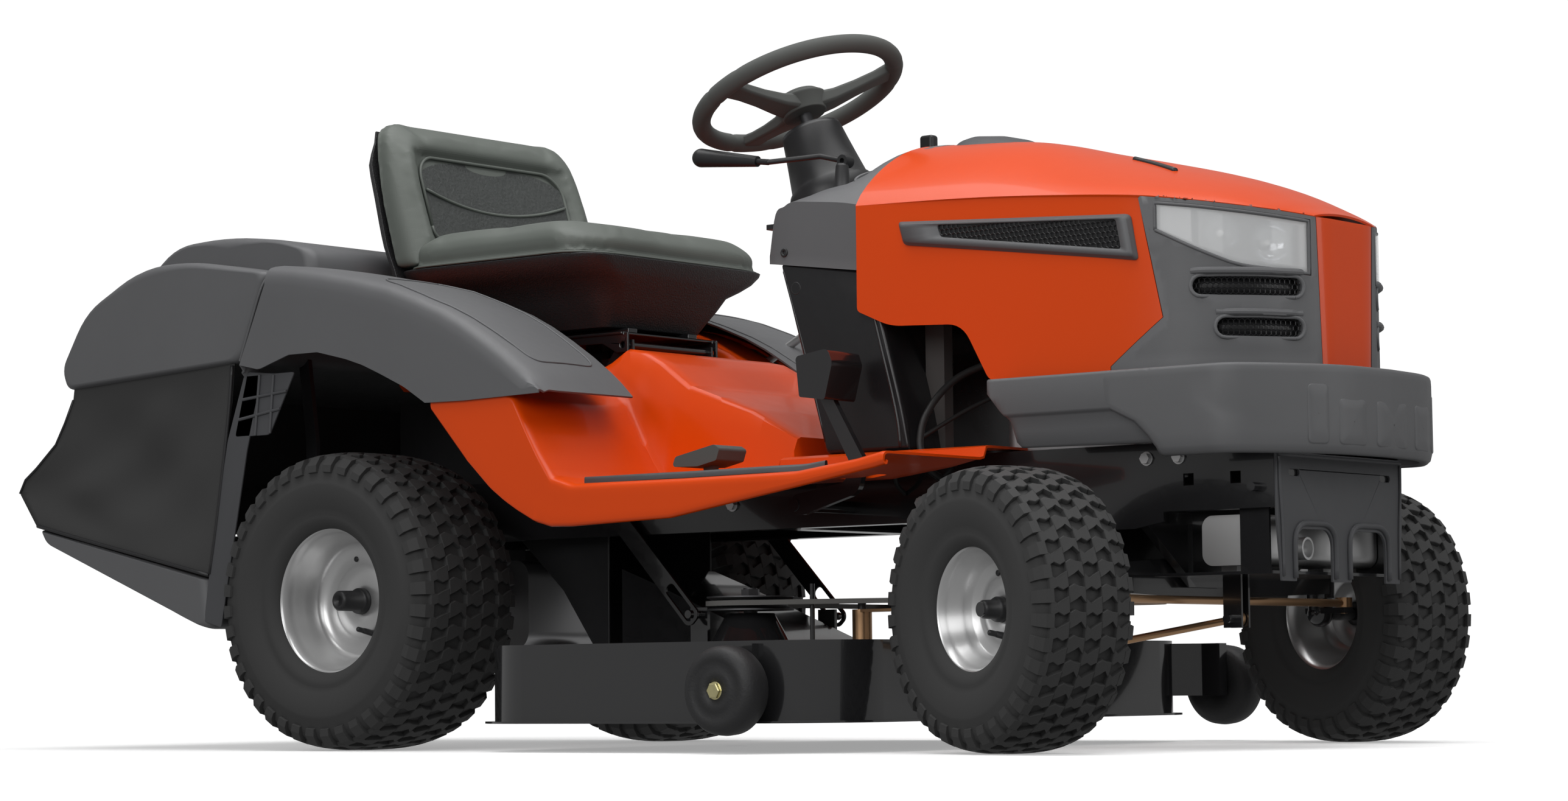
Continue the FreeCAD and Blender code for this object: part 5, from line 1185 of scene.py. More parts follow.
def tread_blocks(name, centre, axis, radius, width, count, columns=5, depth=7.0):
    """Staggered columns of zigzag blocks round a tyre."""
    side, other = basis(axis)
    span = width * 0.82
    pitch = 2 * pi / count
    column = span / columns
    verts, faces = [], []

    def place(turn, across, lift):
        crown = radius - 11.0 * (2 * across / width) ** 4 - 2.0 * (2 * across / width) ** 2
        out = side * cos(turn) + other * sin(turn)
        return centre + axis * (across / 1000) + out * ((crown + lift) / 1000)

    for c in range(columns):
        mid = -span / 2 + column * (c + 0.5)
        shape = lug_outline("left" if c % 2 else "right")
        for k in range(count):
            turn = pitch * (k + (0.5 if c % 2 else 0.0))
            start = len(verts)
            rings = [(1.0, -depth), (0.97, -0.9), (0.9, 0.0)]
            for share, lift in rings:
                for u, v in shape:
                    verts.append(place(turn + u * share * 0.84 * pitch, mid + v * share * column * 1.04,
                                       lift))
            n = len(shape)
            for ring in range(2):
                for i in range(n):
                    a, b = start + ring * n + i, start + ring * n + (i + 1) % n
                    faces.append((a, b, b + n, a + n))
            faces.append(tuple(start + 2 * n + i for i in range(n)))
    for sign in (-1, 1):
        for k in range(count):
            turn = pitch * (k + (0.25 if sign > 0 else 0.75))
            start = len(verts)
            for share in (0.44, -0.12):
                for across, lift in ((width * 0.385, -depth), (width * 0.385, 0.2), (width * 0.452, 0.4),
                                     (width * 0.494, -9.0), (width * 0.496, -19.0), (width * 0.478, -22.0)):
                    verts.append(place(turn + share * pitch, sign * across, lift))
            n = 6
            faces += [(start + i, start + (i + 1) % n, start + n + (i + 1) % n, start + n + i)
                      for i in range(n)]
            faces.append(tuple(start + i for i in range(n)))
            faces.append(tuple(start + n + i for i in range(n))[::-1])
    return new_object(name, verts, faces, smooth=False)


# across as a share of the half width, and up from the bead as a share of the wall's height
TYRE_WALL = ((0.80, 0.02), (0.86, 0.10), (0.90, 0.17), (0.885, 0.20), (0.93, 0.27), (0.975, 0.42),
             (0.992, 0.56), (0.985, 0.60), (0.968, 0.63), (0.95, 0.74), (0.91, 0.83))
# across as a share of the half width, and below the tread's top in millimetres
TYRE_CROWN = ((0.84, 13.0), (0.6, 8.5), (0.3, 7.4), (0, 7.0))


def tyre(name, centre, axis, radius, width, bead, count):
    """Tyre with a bead, ringed sidewalls and a block tread."""
    half = width / 2
    tall = radius - bead
    wall = [(half * 0.70, bead + 1)] + [(half * share, bead + rise * tall) for share, rise in TYRE_WALL]
    wall += [(half * share, radius - drop) for share, drop in TYRE_CROWN]
    foot = [(-half * 0.62, bead + 4), (half * 0.62, bead + 4)]
    profile = wall + [(-d, r) for d, r in reversed(wall[:-1])] + foot
    body = lathe("carcass", profile, centre, axis, 128)
    blocks = tread_blocks("blocks", centre, axis, radius, width, count)
    return join(name, [body, blocks])


# across as a share of the half width, and out from the bead in millimetres
RIM_OUTSIDE = ((0.70, 11), (0.745, 12), (0.77, 9.5), (0.76, 3), (0.72, -1.5), (0.60, -3), (0.55, -6),
               (0.40, -11), (0.34, -15), (0.20, -17))
RIM_INSIDE = ((-0.2, -21), (-0.55, -7), (-0.72, -3), (-0.76, 3), (-0.77, 9), (-0.745, 12), (-0.70, 10),
              (-0.66, 1), (0, -1), (0.66, 1))


def rim(name, centre, axis, bead, width, hub, face):
    """Pressed wheel: stepped barrel, dished disc and hub ring. The axis points outward."""
    half = width / 2
    out = [(half * share, bead + rise) for share, rise in RIM_OUTSIDE]
    out += [(face + 8, bead - 19), (face + 2, bead - 25), (face, bead * 0.58), (face + 2.5, bead * 0.53),
            (face + 6, bead * 0.48), (face + 6.5, hub + 9), (face + 4, hub + 5), (face + 4, hub)]
    back = [(face, hub), (face - 1, bead * 0.5), (face - 4, bead * 0.6), (face - 3, bead - 29)]
    back += [(half * share, bead + rise) for share, rise in RIM_INSIDE]
    return lathe(name, out + back, centre, axis, 112)


def wheel_details(centre, axis, bead, face, hub, cap_out):
    """Hub cap, valve stem, and black plugs in the disc's hole and slot as painted shade for the dark seen
    through them.
    """
    up = Vector((0, 0, 1))
    ahead = axis.cross(up).normalized()
    cap = lathe("cap", [(face - 2, 0.1), (face - 2, hub + 4.5), (face + 12, hub + 4.5),
                        (face + 15, hub + 3.0), (face + 15, hub + 0.5), (cap_out - 3, hub),
                        (cap_out, hub - 3), (cap_out, hub - 6),
                        (cap_out - 2, hub - 7), (cap_out - 2, 0.1)], centre, axis, 48)
    spot = up * -0.55 + ahead * -0.30
    stem_base = centre + axis * ((face + 2) / 1000) + spot * (bead * 0.86 / 1000)
    lean = (axis * 0.9 + spot * -0.35).normalized()
    stem = rod("stem", stem_base, stem_base + lean * 0.026, 5.2, 16, 0.8)
    stem_cap = rod("stem_cap", stem_base + lean * 0.022, stem_base + lean * 0.036, 3.8, 12)
    pieces = [cap, stem, stem_cap]
    # The hole and the slot are black plugs on the disc face: painted shade, not openings.
    for label, way, radius, segments in (("hole", up * 0.82 + ahead * 0.2, 4.2, 16),
                                         ("slot", up * 0.7 - ahead * 0.35, 3.0, 12)):
        spot = centre + axis * ((face + 0.6) / 1000) + way.normalized() * (bead * 0.62 / 1000)
        pieces.append(rod(label, spot - axis * 0.002, spot + axis * 0.0016, radius, segments))
    return join("details", pieces)


# radius, width, bead radius and tread blocks, then the disc's face, its hub and its cap
REAR_WHEEL = ((222.0, 208.0, 105.0, 40), (8, 15, 62))
FRONT_WHEEL = ((184.0, 150.0, 78.0, 36), (6, 12, 42))
REAR_TRACK = 346
FRONT_TRACK = 400.7
FRONT_AXLE = {-1: 1212.5, 1: 1251.5}


def wheel_places():
    """Name, body, centre, outward axis and sizes of the four wheels."""
    turn = Vector((sin(STEER_AXIS), cos(STEER_AXIS), 0))
    places = []
    for letter, word, sign in (("r", "right", -1), ("l", "left", 1)):
        hub = at(0, sign * REAR_TRACK, REAR_WHEEL[0][0])
        places.append((f"rear_{word}", f"rear_wheel_{letter}", hub, Vector((0, sign, 0))) + REAR_WHEEL)
        hub = at(FRONT_AXLE[sign], sign * FRONT_TRACK, FRONT_WHEEL[0][0])
        places.append((f"front_{word}", f"front_wheel_{letter}", hub, turn * sign) + FRONT_WHEEL)
    return places


def build_wheels():
    for label, body, centre, axis, (radius, width, bead, count), (face, hub, cap_out) in wheel_places():
        end, side = label.split("_")
        rubber_ring = tyre("tyre_" + label, centre, axis, radius, width, bead, count)
        finish(rubber_ring, "tyre_rubber", body, "tyre_rubber", f"{end}_tyre_{side}")
        disc = rim("rim_" + label, centre, axis, bead, width, hub, face)
        finish(disc, "silver_paint", body, "rim_paint", f"{end}_rim_{side}")
        details = wheel_details(centre, axis, bead, face, hub, cap_out)
        details.name = "hub_" + label
        finish(details, "black_moulding", body, "black_plastic")


# ---- fender pan and covers ----
PAN_EDGE = ((-108, 690), (0, 684), (60, 676), (130, 660), (190, 640), (250, 614), (300, 584), (322, 562),
            (352, 534), (392, 500), (415, 458), (438, 420), (462, 386), (500, 374), (700, 373), (900, 374),
            (1000, 386), (1042, 394), (1054, 394))
PAN_CREST = ((-108, 556), (250, 556), (306, 560), (322, 563.7), (364, 590), (400, 582), (430, 566),
             (482, 528), (600, 486), (690, 440), (742, 411), (1054, 411))
SKIRT_LOW = ((223, 498), (300, 414), (346, 372), (372, 354), (396, 340), (430, 323), (460, 315), (500, 314),
             (680, 319), (900, 352), (1030, 372), (1054, 377))
PAN_HALF = 446
TUNNEL_HALF = 165


def soft_step(t):
    t = min(max(t, 0.0), 1.0)
    return t * t * (3 - 2 * t)


def pan_height(x, y):
    """Height of the pan's upper skin: side strips, a tunnel under the seat and a foot platform."""
    edge = along(PAN_EDGE, x)[0]
    crest = along(PAN_CREST, x)[0]
    width = abs(y)
    if x > 690:
        share = soft_step((224 - width) / 10)
        return edge + (max(edge, 411) - edge) * share
    share = soft_step((TUNNEL_HALF + 34 - width) / 36)
    height = edge + (crest - edge) * share
    scoop = soft_step((x - 150) / 120) * soft_step((420 - x) / 60) * soft_step((width - 205) / 40)
    return height - 9.0 * scoop * soft_step((430 - width) / 60)


PAN_SKIN = 0.0035
# x and y limits, corner, and z limits of the cuts: drive, steering, two pedals and the lift lever
PAN_OPENINGS = ((644, 790, -70, 70, 30, 380, 520), (838, 1060, -84, 84, 0, 380, 430),
                (858, 928, -297, -275, 8, 350, 400), (864, 944, -208, -160, 8, 350, 430),
                (98, 308, 317, 343, 10, 560, 720))
PAN_STEP = 7.0


def build_fender():
    """Painted fender pan with rolled edges, side skirts and the openings of the controls."""
    xs = [-106 + PAN_STEP * i for i in range(int(1160 / PAN_STEP) + 1)]
    half = [0, 20, 60, 100, 135, 160, 168, 176, 184, 192, 200, 208, 216, 222, 230, 250, 290, 330, 370, 400,
            420, 432]
    edge = [(437, -0.3), (441, -1.6), (444, -4.0), (445.3, -7.0), (PAN_HALF, -11.0)]
    grid = []
    for x in xs:
        row = [(y, pan_height(x, y)) for y in half]
        top = pan_height(x, 432)
        row += [(y, top + drop) for y, drop in edge]
        low = along(SKIRT_LOW, x)[0] if x > 223 else top - 20
        low = min(low, top - 16)
        row += [(PAN_HALF, top - 11 + (low + 6 - top + 11) * t) for t in (0.2, 0.4, 0.6, 0.8, 1.0)]
        row += [(PAN_HALF - 1.5, low + 2), (PAN_HALF - 5, low), (PAN_HALF - 9, low + 0.5),
                (PAN_HALF - 11, low + 5)]
        full = [(-y, z) for y, z in reversed(row[1:])] + row
        grid.append([at(x, y, z) for y, z in full])
    pan = skin_grid("fender_pan_skin", grid)
    modify(pan, "SOLIDIFY", thickness=PAN_SKIN, offset=-1.0, use_quality_normals=True)
    apply_modifiers(pan)
    cut(pan, [plate("opening", "z", rectangle(x0, x1, y0, y1, corner), low, high)
              for x0, x1, y0, y1, corner, low, high in PAN_OPENINGS])
    soft_edges(pan, 0.0008, 2, 40)
    return pan


MAT_MIDDLE = 414
MAT_HALF = 21


def build_mats():
    """Grey ribbed foot strips along the pan's inner edges."""
    mats = []
    for side in (-1, 1):
        rows = []
        for k in range(49):
            x = 500 + (930 - 500) * k / 48
            wide = MAT_HALF * min(1.0, (k + 1.5) / 16.0, (49.5 - k) / 10.0)
            top = 9.0
            row = []
            for across, lift in ((-1, 0.4), (-0.97, 6.0), (-0.8, top), (-0.4, top + 1), (0, top + 1.2),
                                 (0.4, top + 1), (0.8, top), (0.97, 6.0), (1, 0.4)):
                y = MAT_MIDDLE + across * wide
                row.append(at(x, side * y, pan_height(x, y) + lift))
            rows.append(row)
        mats.append(skin_grid("mat", rows))
    return join("foot_strips", mats)


COVER_TOP = ((-114, 728), (-60, 722), (0, 712), (70, 698), (141, 681), (195, 662), (250, 640), (290, 620),
             (330, 596), (370, 570), (404, 545), (425, 528), (440, 514), (446, 508))
COVER_LOW = ((-168, 581), (-126, 572), (-61, 590), (0, 590), (60, 576), (95, 565), (131, 550), (180, 528),
             (223, 502), (300, 501), (446, 504))


COVER_FRONT = 446
COVER_SIDE = 451.2
COVER_CROWN = 5.0


def cover_crown(y):
    """Rise of a cover's top at y, 0 at its inner and outer edges."""
    return COVER_CROWN * sin(pi * (y - 230) / 240)


def build_covers():
    """Grey covers over the rear wheels, each with an outlined panel on top."""
    covers = []
    for side in (-1, 1):
        grid = []
        for k in range(81):
            x = -113 + (445 + 113) * k / 80
            x_low = -168 + (445 + 168) * k / 80
            top = along(COVER_TOP, x)[0]
            low = min(along(COVER_LOW, x_low)[0], along(COVER_TOP, x_low)[0] - 3)
            row = []
            reach = soft_step((COVER_FRONT - x) / 40)
            for y in (248, 262, 300, 340, 380, 410):
                row.append((x, y, top + cover_crown(y) * reach))
            row += [(x, 428, top + 0.5), (x, 438, top - 2.5), (x, 445, top - 8 * reach),
                    (x, 449.4, top - 16 * reach), (x, COVER_SIDE, top - 28 * reach)]
            bottom = row[-1][2]
            for t in (0.15, 0.3, 0.5, 0.7, 0.85, 1.0):
                row.append((x + (x_low - x) * t, COVER_SIDE, bottom + (low - bottom) * t))
            if k == 0:
                for back, sink in ((6.5, 34), (6.5, 11), (0.5, 8)):
                    grid.append([at(px - back, side * min(y, COVER_SIDE - sink), min(z, top + 6) - sink)
                                 for px, y, z in row])
            grid.append([at(px, side * y, z) for px, y, z in row])
        piece = skin_grid("cover", grid)
        thicken(piece, 3.0, (100, side * 200, 500))
        soft_edges(piece, 0.0012, 2, 35)
        apply_modifiers(piece)
        covers.append(piece)
        outline = rounded_outline([(96, 268), (150, 262), (398, 274), (398, 408), (208, 426), (120, 420),
                                   (96, 404)], 24, 6)

        def lay(u, v, lift, side=side):
            top = along(COVER_TOP, u)[0] + cover_crown(v) * soft_step((COVER_FRONT - u) / 40)
            return at(u, side * v, top + lift - 2.5 * soft_step((v - 410) / 25))
        ring = [lay(u, v, 0.5) for u, v in dense_line(outline + outline[:1], 12)]
        covers.append(pipe("outline", ring + ring[:1], 1.5, 8, 0))
    return join("wheel_covers", covers)


# ---- seat ----
def round_block_ring(x0, x1, half, z, corner, steps=7):
    return [at(x, y, z) for x, y in rectangle(x0, x1, -half, half, corner, steps)]


def inflate(obj, cap, held, voxel=0.006, pressure=4.0, frames=20):
    """Swells a padded piece with a short cloth simulation; no point moves further than the cap, in mm."""
    modify(obj, "REMESH", mode="VOXEL", voxel_size=voxel)
    apply_modifiers(obj)
    start = [(vert.co.copy(), vert.normal.copy()) for vert in obj.data.vertices]
    cloth = obj.modifiers.new("Cloth", "CLOTH")
    cloth.settings.use_pressure = True
    cloth.settings.uniform_pressure_force = pressure
    cloth.settings.effector_weights.gravity = 0.0
    for frame_number in range(1, frames + 1):
        bpy.context.scene.frame_set(frame_number)
    apply_modifiers(obj)
    bpy.context.scene.frame_set(1)
    for vert, (place, normal) in zip(obj.data.vertices, start):
        shift = vert.co - place
        if held(place, normal):
            vert.co = place
        elif shift.length > cap / 1000:
            vert.co = place + shift * (cap / 1000 / shift.length)
    modify(obj, "SMOOTH", factor=0.5, iterations=3)
    modify(obj, "SUBSURF", levels=1, render_levels=1)
    return apply_modifiers(obj)


# growth of the outline, height, and share of the front's fall, up the cushion
CUSHION_LEVELS = ((-60, 736, 0), (-14, 735.4, 0), (-5, 737, 0), (-1.6, 742, 0), (0, 749, 0.2),
                  (0.6, 757, 0.4), (-0.6, 765, 0.7), (-5, 772.5, 0.9), (-13, 777.6, 1), (-25, 780.4, 1),
                  (-38, 781, 1))
CUSHION_REAR = -58
CUSHION_FRONT = 334
CUSHION_HALF = 233
CUSHION_SWELL = 9.0
BACK_HALF = 231
BACK_TOP = 984
BACK_SWELL = 6.0
PANEL_HALF = 163


def bow(amount, y):
    """How far the seat's back bends forward at y: nothing at its middle, the amount near its side."""
    return amount * (y / 232) ** 2


def build_seat():
    """Cushion and back in vinyl: a domed seat with a seam, and a thick border round an inset back panel."""
    def outline(grow):
        grow -= 5
        rear, front, half = CUSHION_REAR - grow, CUSHION_FRONT + grow, CUSHION_HALF + grow
        return rounded_outline([(rear, -half), (front - 26, -half), (front, -half * 0.72), (front + 0.5, 0),
                                (front, half * 0.72), (front - 26, half), (rear, half)],
                               [60, 70, 90, 60, 90, 70, 60], 8)

    def ring(grow, z, dome=0.0):
        return [at(x, y, z - 12 * soft_step((x - 260) / 90) * dome) for x, y in outline(grow)]
    layers = [ring(*level) for level in CUSHION_LEVELS]
    for share in (0.72, 0.55, 0.38, 0.2, 0.03):
        last = []
        for x, y in outline(-36):
            px, py = 140 + (x - 140) * share, y * share
            dip = 9.0 * (1 - share ** 2) * soft_step((300 - px) / 120)
            last.append(at(px, py, 780.8 - dip - 12 * soft_step((px - 260) / 90)))
        layers.append(last)
    cushion = ring_solid("cushion", layers)
    inflate(cushion, CUSHION_SWELL, lambda place, normal: normal.z < -0.6)

    table = ((735, -16, 60), (770, -30, 60), (800, -42, 56), (850, -58, 52), (900, -74, 48), (940, -88, 43),
             (961, -97, 40), (982, -105, 29))

    def back_place(y, z, depth):
        face, thick = along(table, z)
        return at(face - thick * depth + bow(16.0, y), y, z)

    def back_outline(grow):
        grow -= 4
        half, top = BACK_HALF + grow, BACK_TOP + grow
        return rounded_outline([(-half, 741), (half, 741), (half, 880), (half - 16, top), (16 - half, top),
                                (-half, 880)],
                               [8, 8, 60, 62, 62, 60], 8)
    layers = []
    for grow, depth in ((-60, 1.0), (-14, 1.0), (-4, 0.94), (0, 0.8), (-1.5, 0.70), (0, 0.6), (0, 0.4),
                        (-4, 0.2), (-12, 0.07), (-24, 0.01), (-36, 0.0), (-46, 0.03), (-52, 0.12),
                        (-55, 0.2), (-58, 0.16), (-66, 0.13)):
        layers.append([back_place(y, max(z, 738), depth) for y, z in back_outline(grow)])
    last = back_outline(-66)
    for share in (0.75, 0.5, 0.25, 0.03):
        depth = 0.12 - 0.04 * (1 - share)
        layers.append([back_place(y * share, 856 + (max(z, 738) - 856) * share, depth) for y, z in last])
    back = ring_solid("back", layers)
    panel_low, panel_high = at(0, -172, 780), at(0, 172, 930)

    def held(place, normal):
        on_panel = panel_low.y < place.y < panel_high.y and panel_low.z < place.z < panel_high.z
        return normal.x < -0.5 or on_panel
    inflate(back, BACK_SWELL, held)
    panel = []
    for i in range(33):
        y = -PANEL_HALF + 2 * PANEL_HALF * i / 32
        top = 920 - 24 * abs(y / PANEL_HALF) ** 4
        row = []
        for j in range(21):
            depth = 0.055 - 0.05 * sin(pi * j / 20) * sin(pi * i / 32)
            row.append(back_place(y, 790 + (top - 790) * j / 20, depth))
        panel.append(row)
    inset_panel = skin_grid("panel", panel)
    seams = []
    arc = [back_place(y, 842 + 26 * (y / 160) ** 2, 0.008) for y in [-160 + 320 * k / 24 for k in range(25)]]
    seams.append(pipe("seam", arc, 2.4, 8, 1))
    border = rounded_outline([(-165, 788), (165, 788), (165, 900), (140, 923), (-140, 923), (-165, 900)],
                             20, 6)
    rim_line = [back_place(y, z, 0.06) for y, z in border]
    seams.append(pipe("seam", rim_line + rim_line[:1], 2.6, 8, 0))
    welt = ring(-2.5, 736.5)
    seams.append(pipe("welt", welt + welt[:1], 1.6, 8, 0))
    return join("seat_vinyl", [cushion, back]), inset_panel, join("seat_seams", seams)


# z, rear, front, half width and corner of the seat shell's pan
SHELL_LEVELS = ((632.6, 0, 275, 110, 24), (650, -18, 286, 124, 34), (672, -38, 300, 142, 44),
                (692, -53, 311, 158, 56), (704, -66, 320, 184, 60), (716, -74, 326, 206, 62),
                (728, -78, 330, 219, 62), (734.4, -79, 331, 221.5, 62))


def build_shell():
    """Pebbled seat shell: a pan that narrows towards its slide, and a back."""
    rows = []
    for z, rear, front, half, corner in SHELL_LEVELS:
        rows.append(round_block_ring(rear, front, half, z, corner))
    pan = ring_solid("pan", rows)
    table = ((700, -64, 34), (735, -76, 22), (770, -92, 22), (800, -100, 24), (850, -112, 24),
             (900, -126, 22), (962, -139, 11))
    rows = []
    for k in range(15):
        z = 700 + (963 - 700) * k / 14
        face, thick = along(table, z)
        half = 222 - 24 * soft_step((z - 900) / 63)
        ring = []
        for y, depth in [(-half, 0.0), (-half * 0.98, 0.5), (-half * 0.9, 0.85), (-half * 0.7, 1),
                         (0, 1.06), (half * 0.7, 1), (half * 0.9, 0.85), (half * 0.98, 0.5), (half, 0.0),
                         (half * 0.6, 0), (0, 0), (-half * 0.6, 0)]:
            ring.append(at(face - thick * depth + bow(12.0, y), y, z))
        rows.append(ring)
    back = ring_solid("shell_back", rows)
    ribs = []
    for y in (-120, -60, 0, 60, 120):
        line = []
        for z in (760, 820, 880, 930):
            face, thick = along(table, z)
            line.append(at(face - thick - 1 + bow(12.0, y), y, z))
        ribs.append(pipe("rib", line, 5.0, 10, 4))
    return soft_edges(join("seat_shell_skin", [pan, back] + ribs), 0.004, 3, 28)


# ---- dash, column and steering wheel ----
COLUMN_TILT = radians(22.5)
WHEEL_AXIS = Vector((sin(COLUMN_TILT), 0, -cos(COLUMN_TILT)))


def column_point(d):
    return at(559 + sin(COLUMN_TILT) * d, 0, 969 - cos(COLUMN_TILT) * d)


GRIP_RING = 0.151
GRIP_RADIUS = 0.0139
GRIP_STEPS = 144
SPOKE_ANGLES = (-96, 47, 163)


def build_steering_wheel():
    """Soft grip ring, three grooved spokes and a domed hub cap."""
    ahead = Vector((cos(COLUMN_TILT), 0, sin(COLUMN_TILT)))
    left = Vector((0, 1, 0))
    up = -WHEEL_AXIS
    centre = column_point(0)
    rows = []
    for i in range(GRIP_STEPS):
        turn = 2 * pi * i / GRIP_STEPS
        out = ahead * cos(turn) + left * sin(turn)
        groove = 1.0
        for mark in SPOKE_ANGLES:
            gap = abs((degrees(turn) - mark + 180) % 360 - 180)
            groove -= 0.10 * exp(-((gap - 12) / 1.1) ** 2)
        rows.append([centre + out * (GRIP_RING + GRIP_RADIUS * groove * cos(t))
                     + up * GRIP_RADIUS * groove * sin(t) * 0.98
                     for t in [2 * pi * k / 20 for k in range(20)]])
    ring = skin_grid("ring", rows, closed_rows=True, closed_columns=True)
    spokes = []
    for mark in SPOKE_ANGLES:
        turn = radians(mark)
        out = ahead * cos(turn) + left * sin(turn)
        across = up.cross(out)
        rows = []
        for r, drop, wide, thick in ((22, -22, 23, 12), (50, -20, 19, 10), (85, -13, 15.5, 8.5),
                                     (118, -6, 15, 8), (140, -1, 17, 9), (148, 0, 19, 9)):
            section = []
            for u, v in ((-1, -0.7), (-0.8, -1), (0.8, -1), (1, -0.7), (1, 0.6), (0.82, 1), (0.45, 1),
                         (0.34, 0.45), (-0.34, 0.45), (-0.45, 1), (-0.82, 1), (-1, 0.6)):
                section.append(centre + out * (r / 1000) + across * (u * wide / 1000)
                               + up * ((drop + v * thick) / 1000))
            rows.append(section)
        spokes.append(ring_solid("spoke", rows))
    hub = lathe("hub", [(36, 0.1), (36, 33), (20, 37), (14, 40), (10, 40), (8.5, 37), (8, 33.5), (5, 33.5),
                        (2, 30), (-1, 20), (-2, 0.1)],
                centre, WHEEL_AXIS, 64)
    return soft_edges(join("steering_wheel_grip", [ring] + spokes + [hub]), 0.0016, 2, 35)


def build_column():
    """Ribbed black cover round the steering column."""
    profile = [(238, 58), (206, 63), (180, 66), (168, 66), (160, 62.5), (154, 57.5), (120, 52), (90, 47.5),
               (70, 44.8), (65, 44), (65, 34)]
    cover = lathe("column_sleeve", profile, column_point(0), WHEEL_AXIS, 72, closed=False)
    modify(cover, "SOLIDIFY", thickness=0.002, offset=0.0)
    return cover


CONSOLE_SKIN = 0.0032
CONSOLE_HALF = 207.5
CONSOLE_REAR = 663
# x, y, foot and top of the two lever boots
BOOTS = ((736, 128, 780, 833), (721, -103, 780, 838))


def build_dash():
    """Grey console: scooped top, oval cup and side screws."""
    stations = ((662, 700, 748, 198), (678, 758, 768, 204), (696, 768, 790, 206.5), (712, 773, 804, 207),
                (750, 770, 834, 207), (802, 764, 857, 207), (842, 756, 862, 207.5), (861, 752, 861, 207.5))
    floor = ((662, 689), (862, 662))
    grid = []
    dense = [tuple(p) for p in smooth_path([Vector(row) for row in stations], 5)]
    for x, shoulder, top, half in dense:
        low = along(floor, x)[0]
        side = [(half, low + (shoulder - low) * t) for t in (0, 0.2, 0.4, 0.6, 0.8, 0.93)]
        over = []
        for k in range(11):
            t = k / 10
            y = half * (1 - t ** 1.1)
            z = crowned(shoulder, top, t)
            scoop = soft_step((y - 62) / 40) * soft_step((170 - y) / 40)
            scoop = scoop * soft_step((812 - x) / 50) * soft_step((x - 668) / 40)
            over.append((y, z - 16.0 * scoop))
        arc = side + over
        ring = [(y, z) for y, z in arc] + [(-y, z) for y, z in reversed(arc[:-1])]
        grid.append([at(x, y, z) for y, z in ring])
    face = [at(CONSOLE_REAR, p.y * 1000, p.z * 1000) for p in grid[0]]
    rear = []
    for share in (0.0, 0.5, 0.9):
        rear.append([at(CONSOLE_REAR, y * 1000 * share, 700 + (z * 1000 - 700) * share) for _, y, z in face])
    console = skin_grid("dash_panel", rear + grid)
    modify(console, "SOLIDIFY", thickness=CONSOLE_SKIN, offset=-1.0, use_quality_normals=True)
    apply_modifiers(console)
    cut(console, [lathe("hole", [(near, 0.1), (near, radius), (60, radius), (60, 0.1)], column_point(down),
                        WHEEL_AXIS, 48) for near, radius, down in ((-60, 68, 190), (-30, 74, 230))])
    extras = []
    for side in (-1, 1):
        cup = [at(806 + 22 * cos(t), side * (150 + 15 * sin(t)), 806 - 9 * sin(t)) for t in
               [2 * pi * k / 24 for k in range(25)]]
        extras.append(pipe("cup", cup, 2.4, 8, 0))
    console = join("dash_panel", [console] + extras)
    soft_edges(console, 0.0025, 3, 32)
    screws = []
    for side in (-1, 1):
        for x, z in ((696, 702), (838, 684)):
            screws.append(lathe("screw", [(-3, 6.4), (0.4, 6.4), (1.2, 5.6), (1.2, 3.0), (-1, 2.6),
                                          (-1, 0.1)],
                                at(x, side * CONSOLE_HALF, z), Vector((0, side, 0)), 28))
    boots = []
    for x, y, foot, top in BOOTS:
        profile = [(0, 17), (9, 17), (11, 14), (20, 14), (22, 12), (top - foot - 4, 9.5), (top - foot, 8),
                   (top - foot, 0.1)]
        boots.append(lathe("boot", profile, at(x, y, foot), Vector((0, 0, 1)), 36))
    return console, join("dash_screws", screws), join("lever_boots", boots)


def build_tower():
    """Smooth black panel under the console, with a folded front edge and sunk screws."""
    outline = [(686, 687.5), (856, 663), (861, 615), (902, 462), (911, 412), (765, 412)]
    tower = body_of_outline("dash_tower_skin", outline, 204.6, [5, 4, 60, 40, 6, 6], 7, 0.0)
    soft_edges(tower, 0.002, 3, 32)
    folds, screws = [], []
    for side in (-1, 1):
        fold = [at(x, side * 203.6, z) for x, z in ((846, 655), (850, 612), (888, 470), (896, 416))]
        folds.append(pipe("fold", fold, 3.0, 10, 5))
        rear = [at(x, side * 202.6, z) for x, z in ((692, 676), (728, 560), (764, 430))]
        folds.append(pipe("fold", rear, 2.4, 10, 5))
        screws.append(lathe("screw", [(-4, 9.0), (0.2, 9.0), (0.4, 8.0), (-0.6, 6.0), (-0.6, 0.1)],
                            at(714, side * 204.5, 650), Vector((0, side, 0)), 28))
    return join("dash_tower_skin", [tower] + folds), join("tower_screws", screws)


# ---- collector ----
CHEEK_STEPS = 6


def body_of_outline(name, outline, half, corner, edge=10.0, crown=4.0):
    """Closed moulding: a side outline carried across, with rounded cheeks."""
    ring = rounded_outline(outline, corner, 5)
    mid = (sum(p[0] for p in ring) / len(ring), sum(p[1] for p in ring) / len(ring))
    rows = []
    levels = [(half, edge)]
    for k in range(1, CHEEK_STEPS + 1):
        turn = pi / 2 * k / CHEEK_STEPS
        levels.append((half - edge * (1 - cos(turn)), edge * (1 - sin(turn))))
    stations = levels + [(half * s, 0.0) for s in (0.75, 0.5, 0.25, 0.0)]
    stations = stations + [(-y, depth) for y, depth in reversed(stations[:-1])]
    for y, depth in stations:
        lift = crown * (1 - (y / half) ** 2)
        row = []
        for x, z in ring:
            dx, dz = mid[0] - x, mid[1] - z
            size = hypot(dx, dz) or 1.0
            up = max(0.0, -dz / size)
            row.append(at(x + dx / size * depth, y, z + dz / size * depth + lift * up))
        rows.append(row)
    return ring_solid(name, rows)


LID_HALF = 441.5


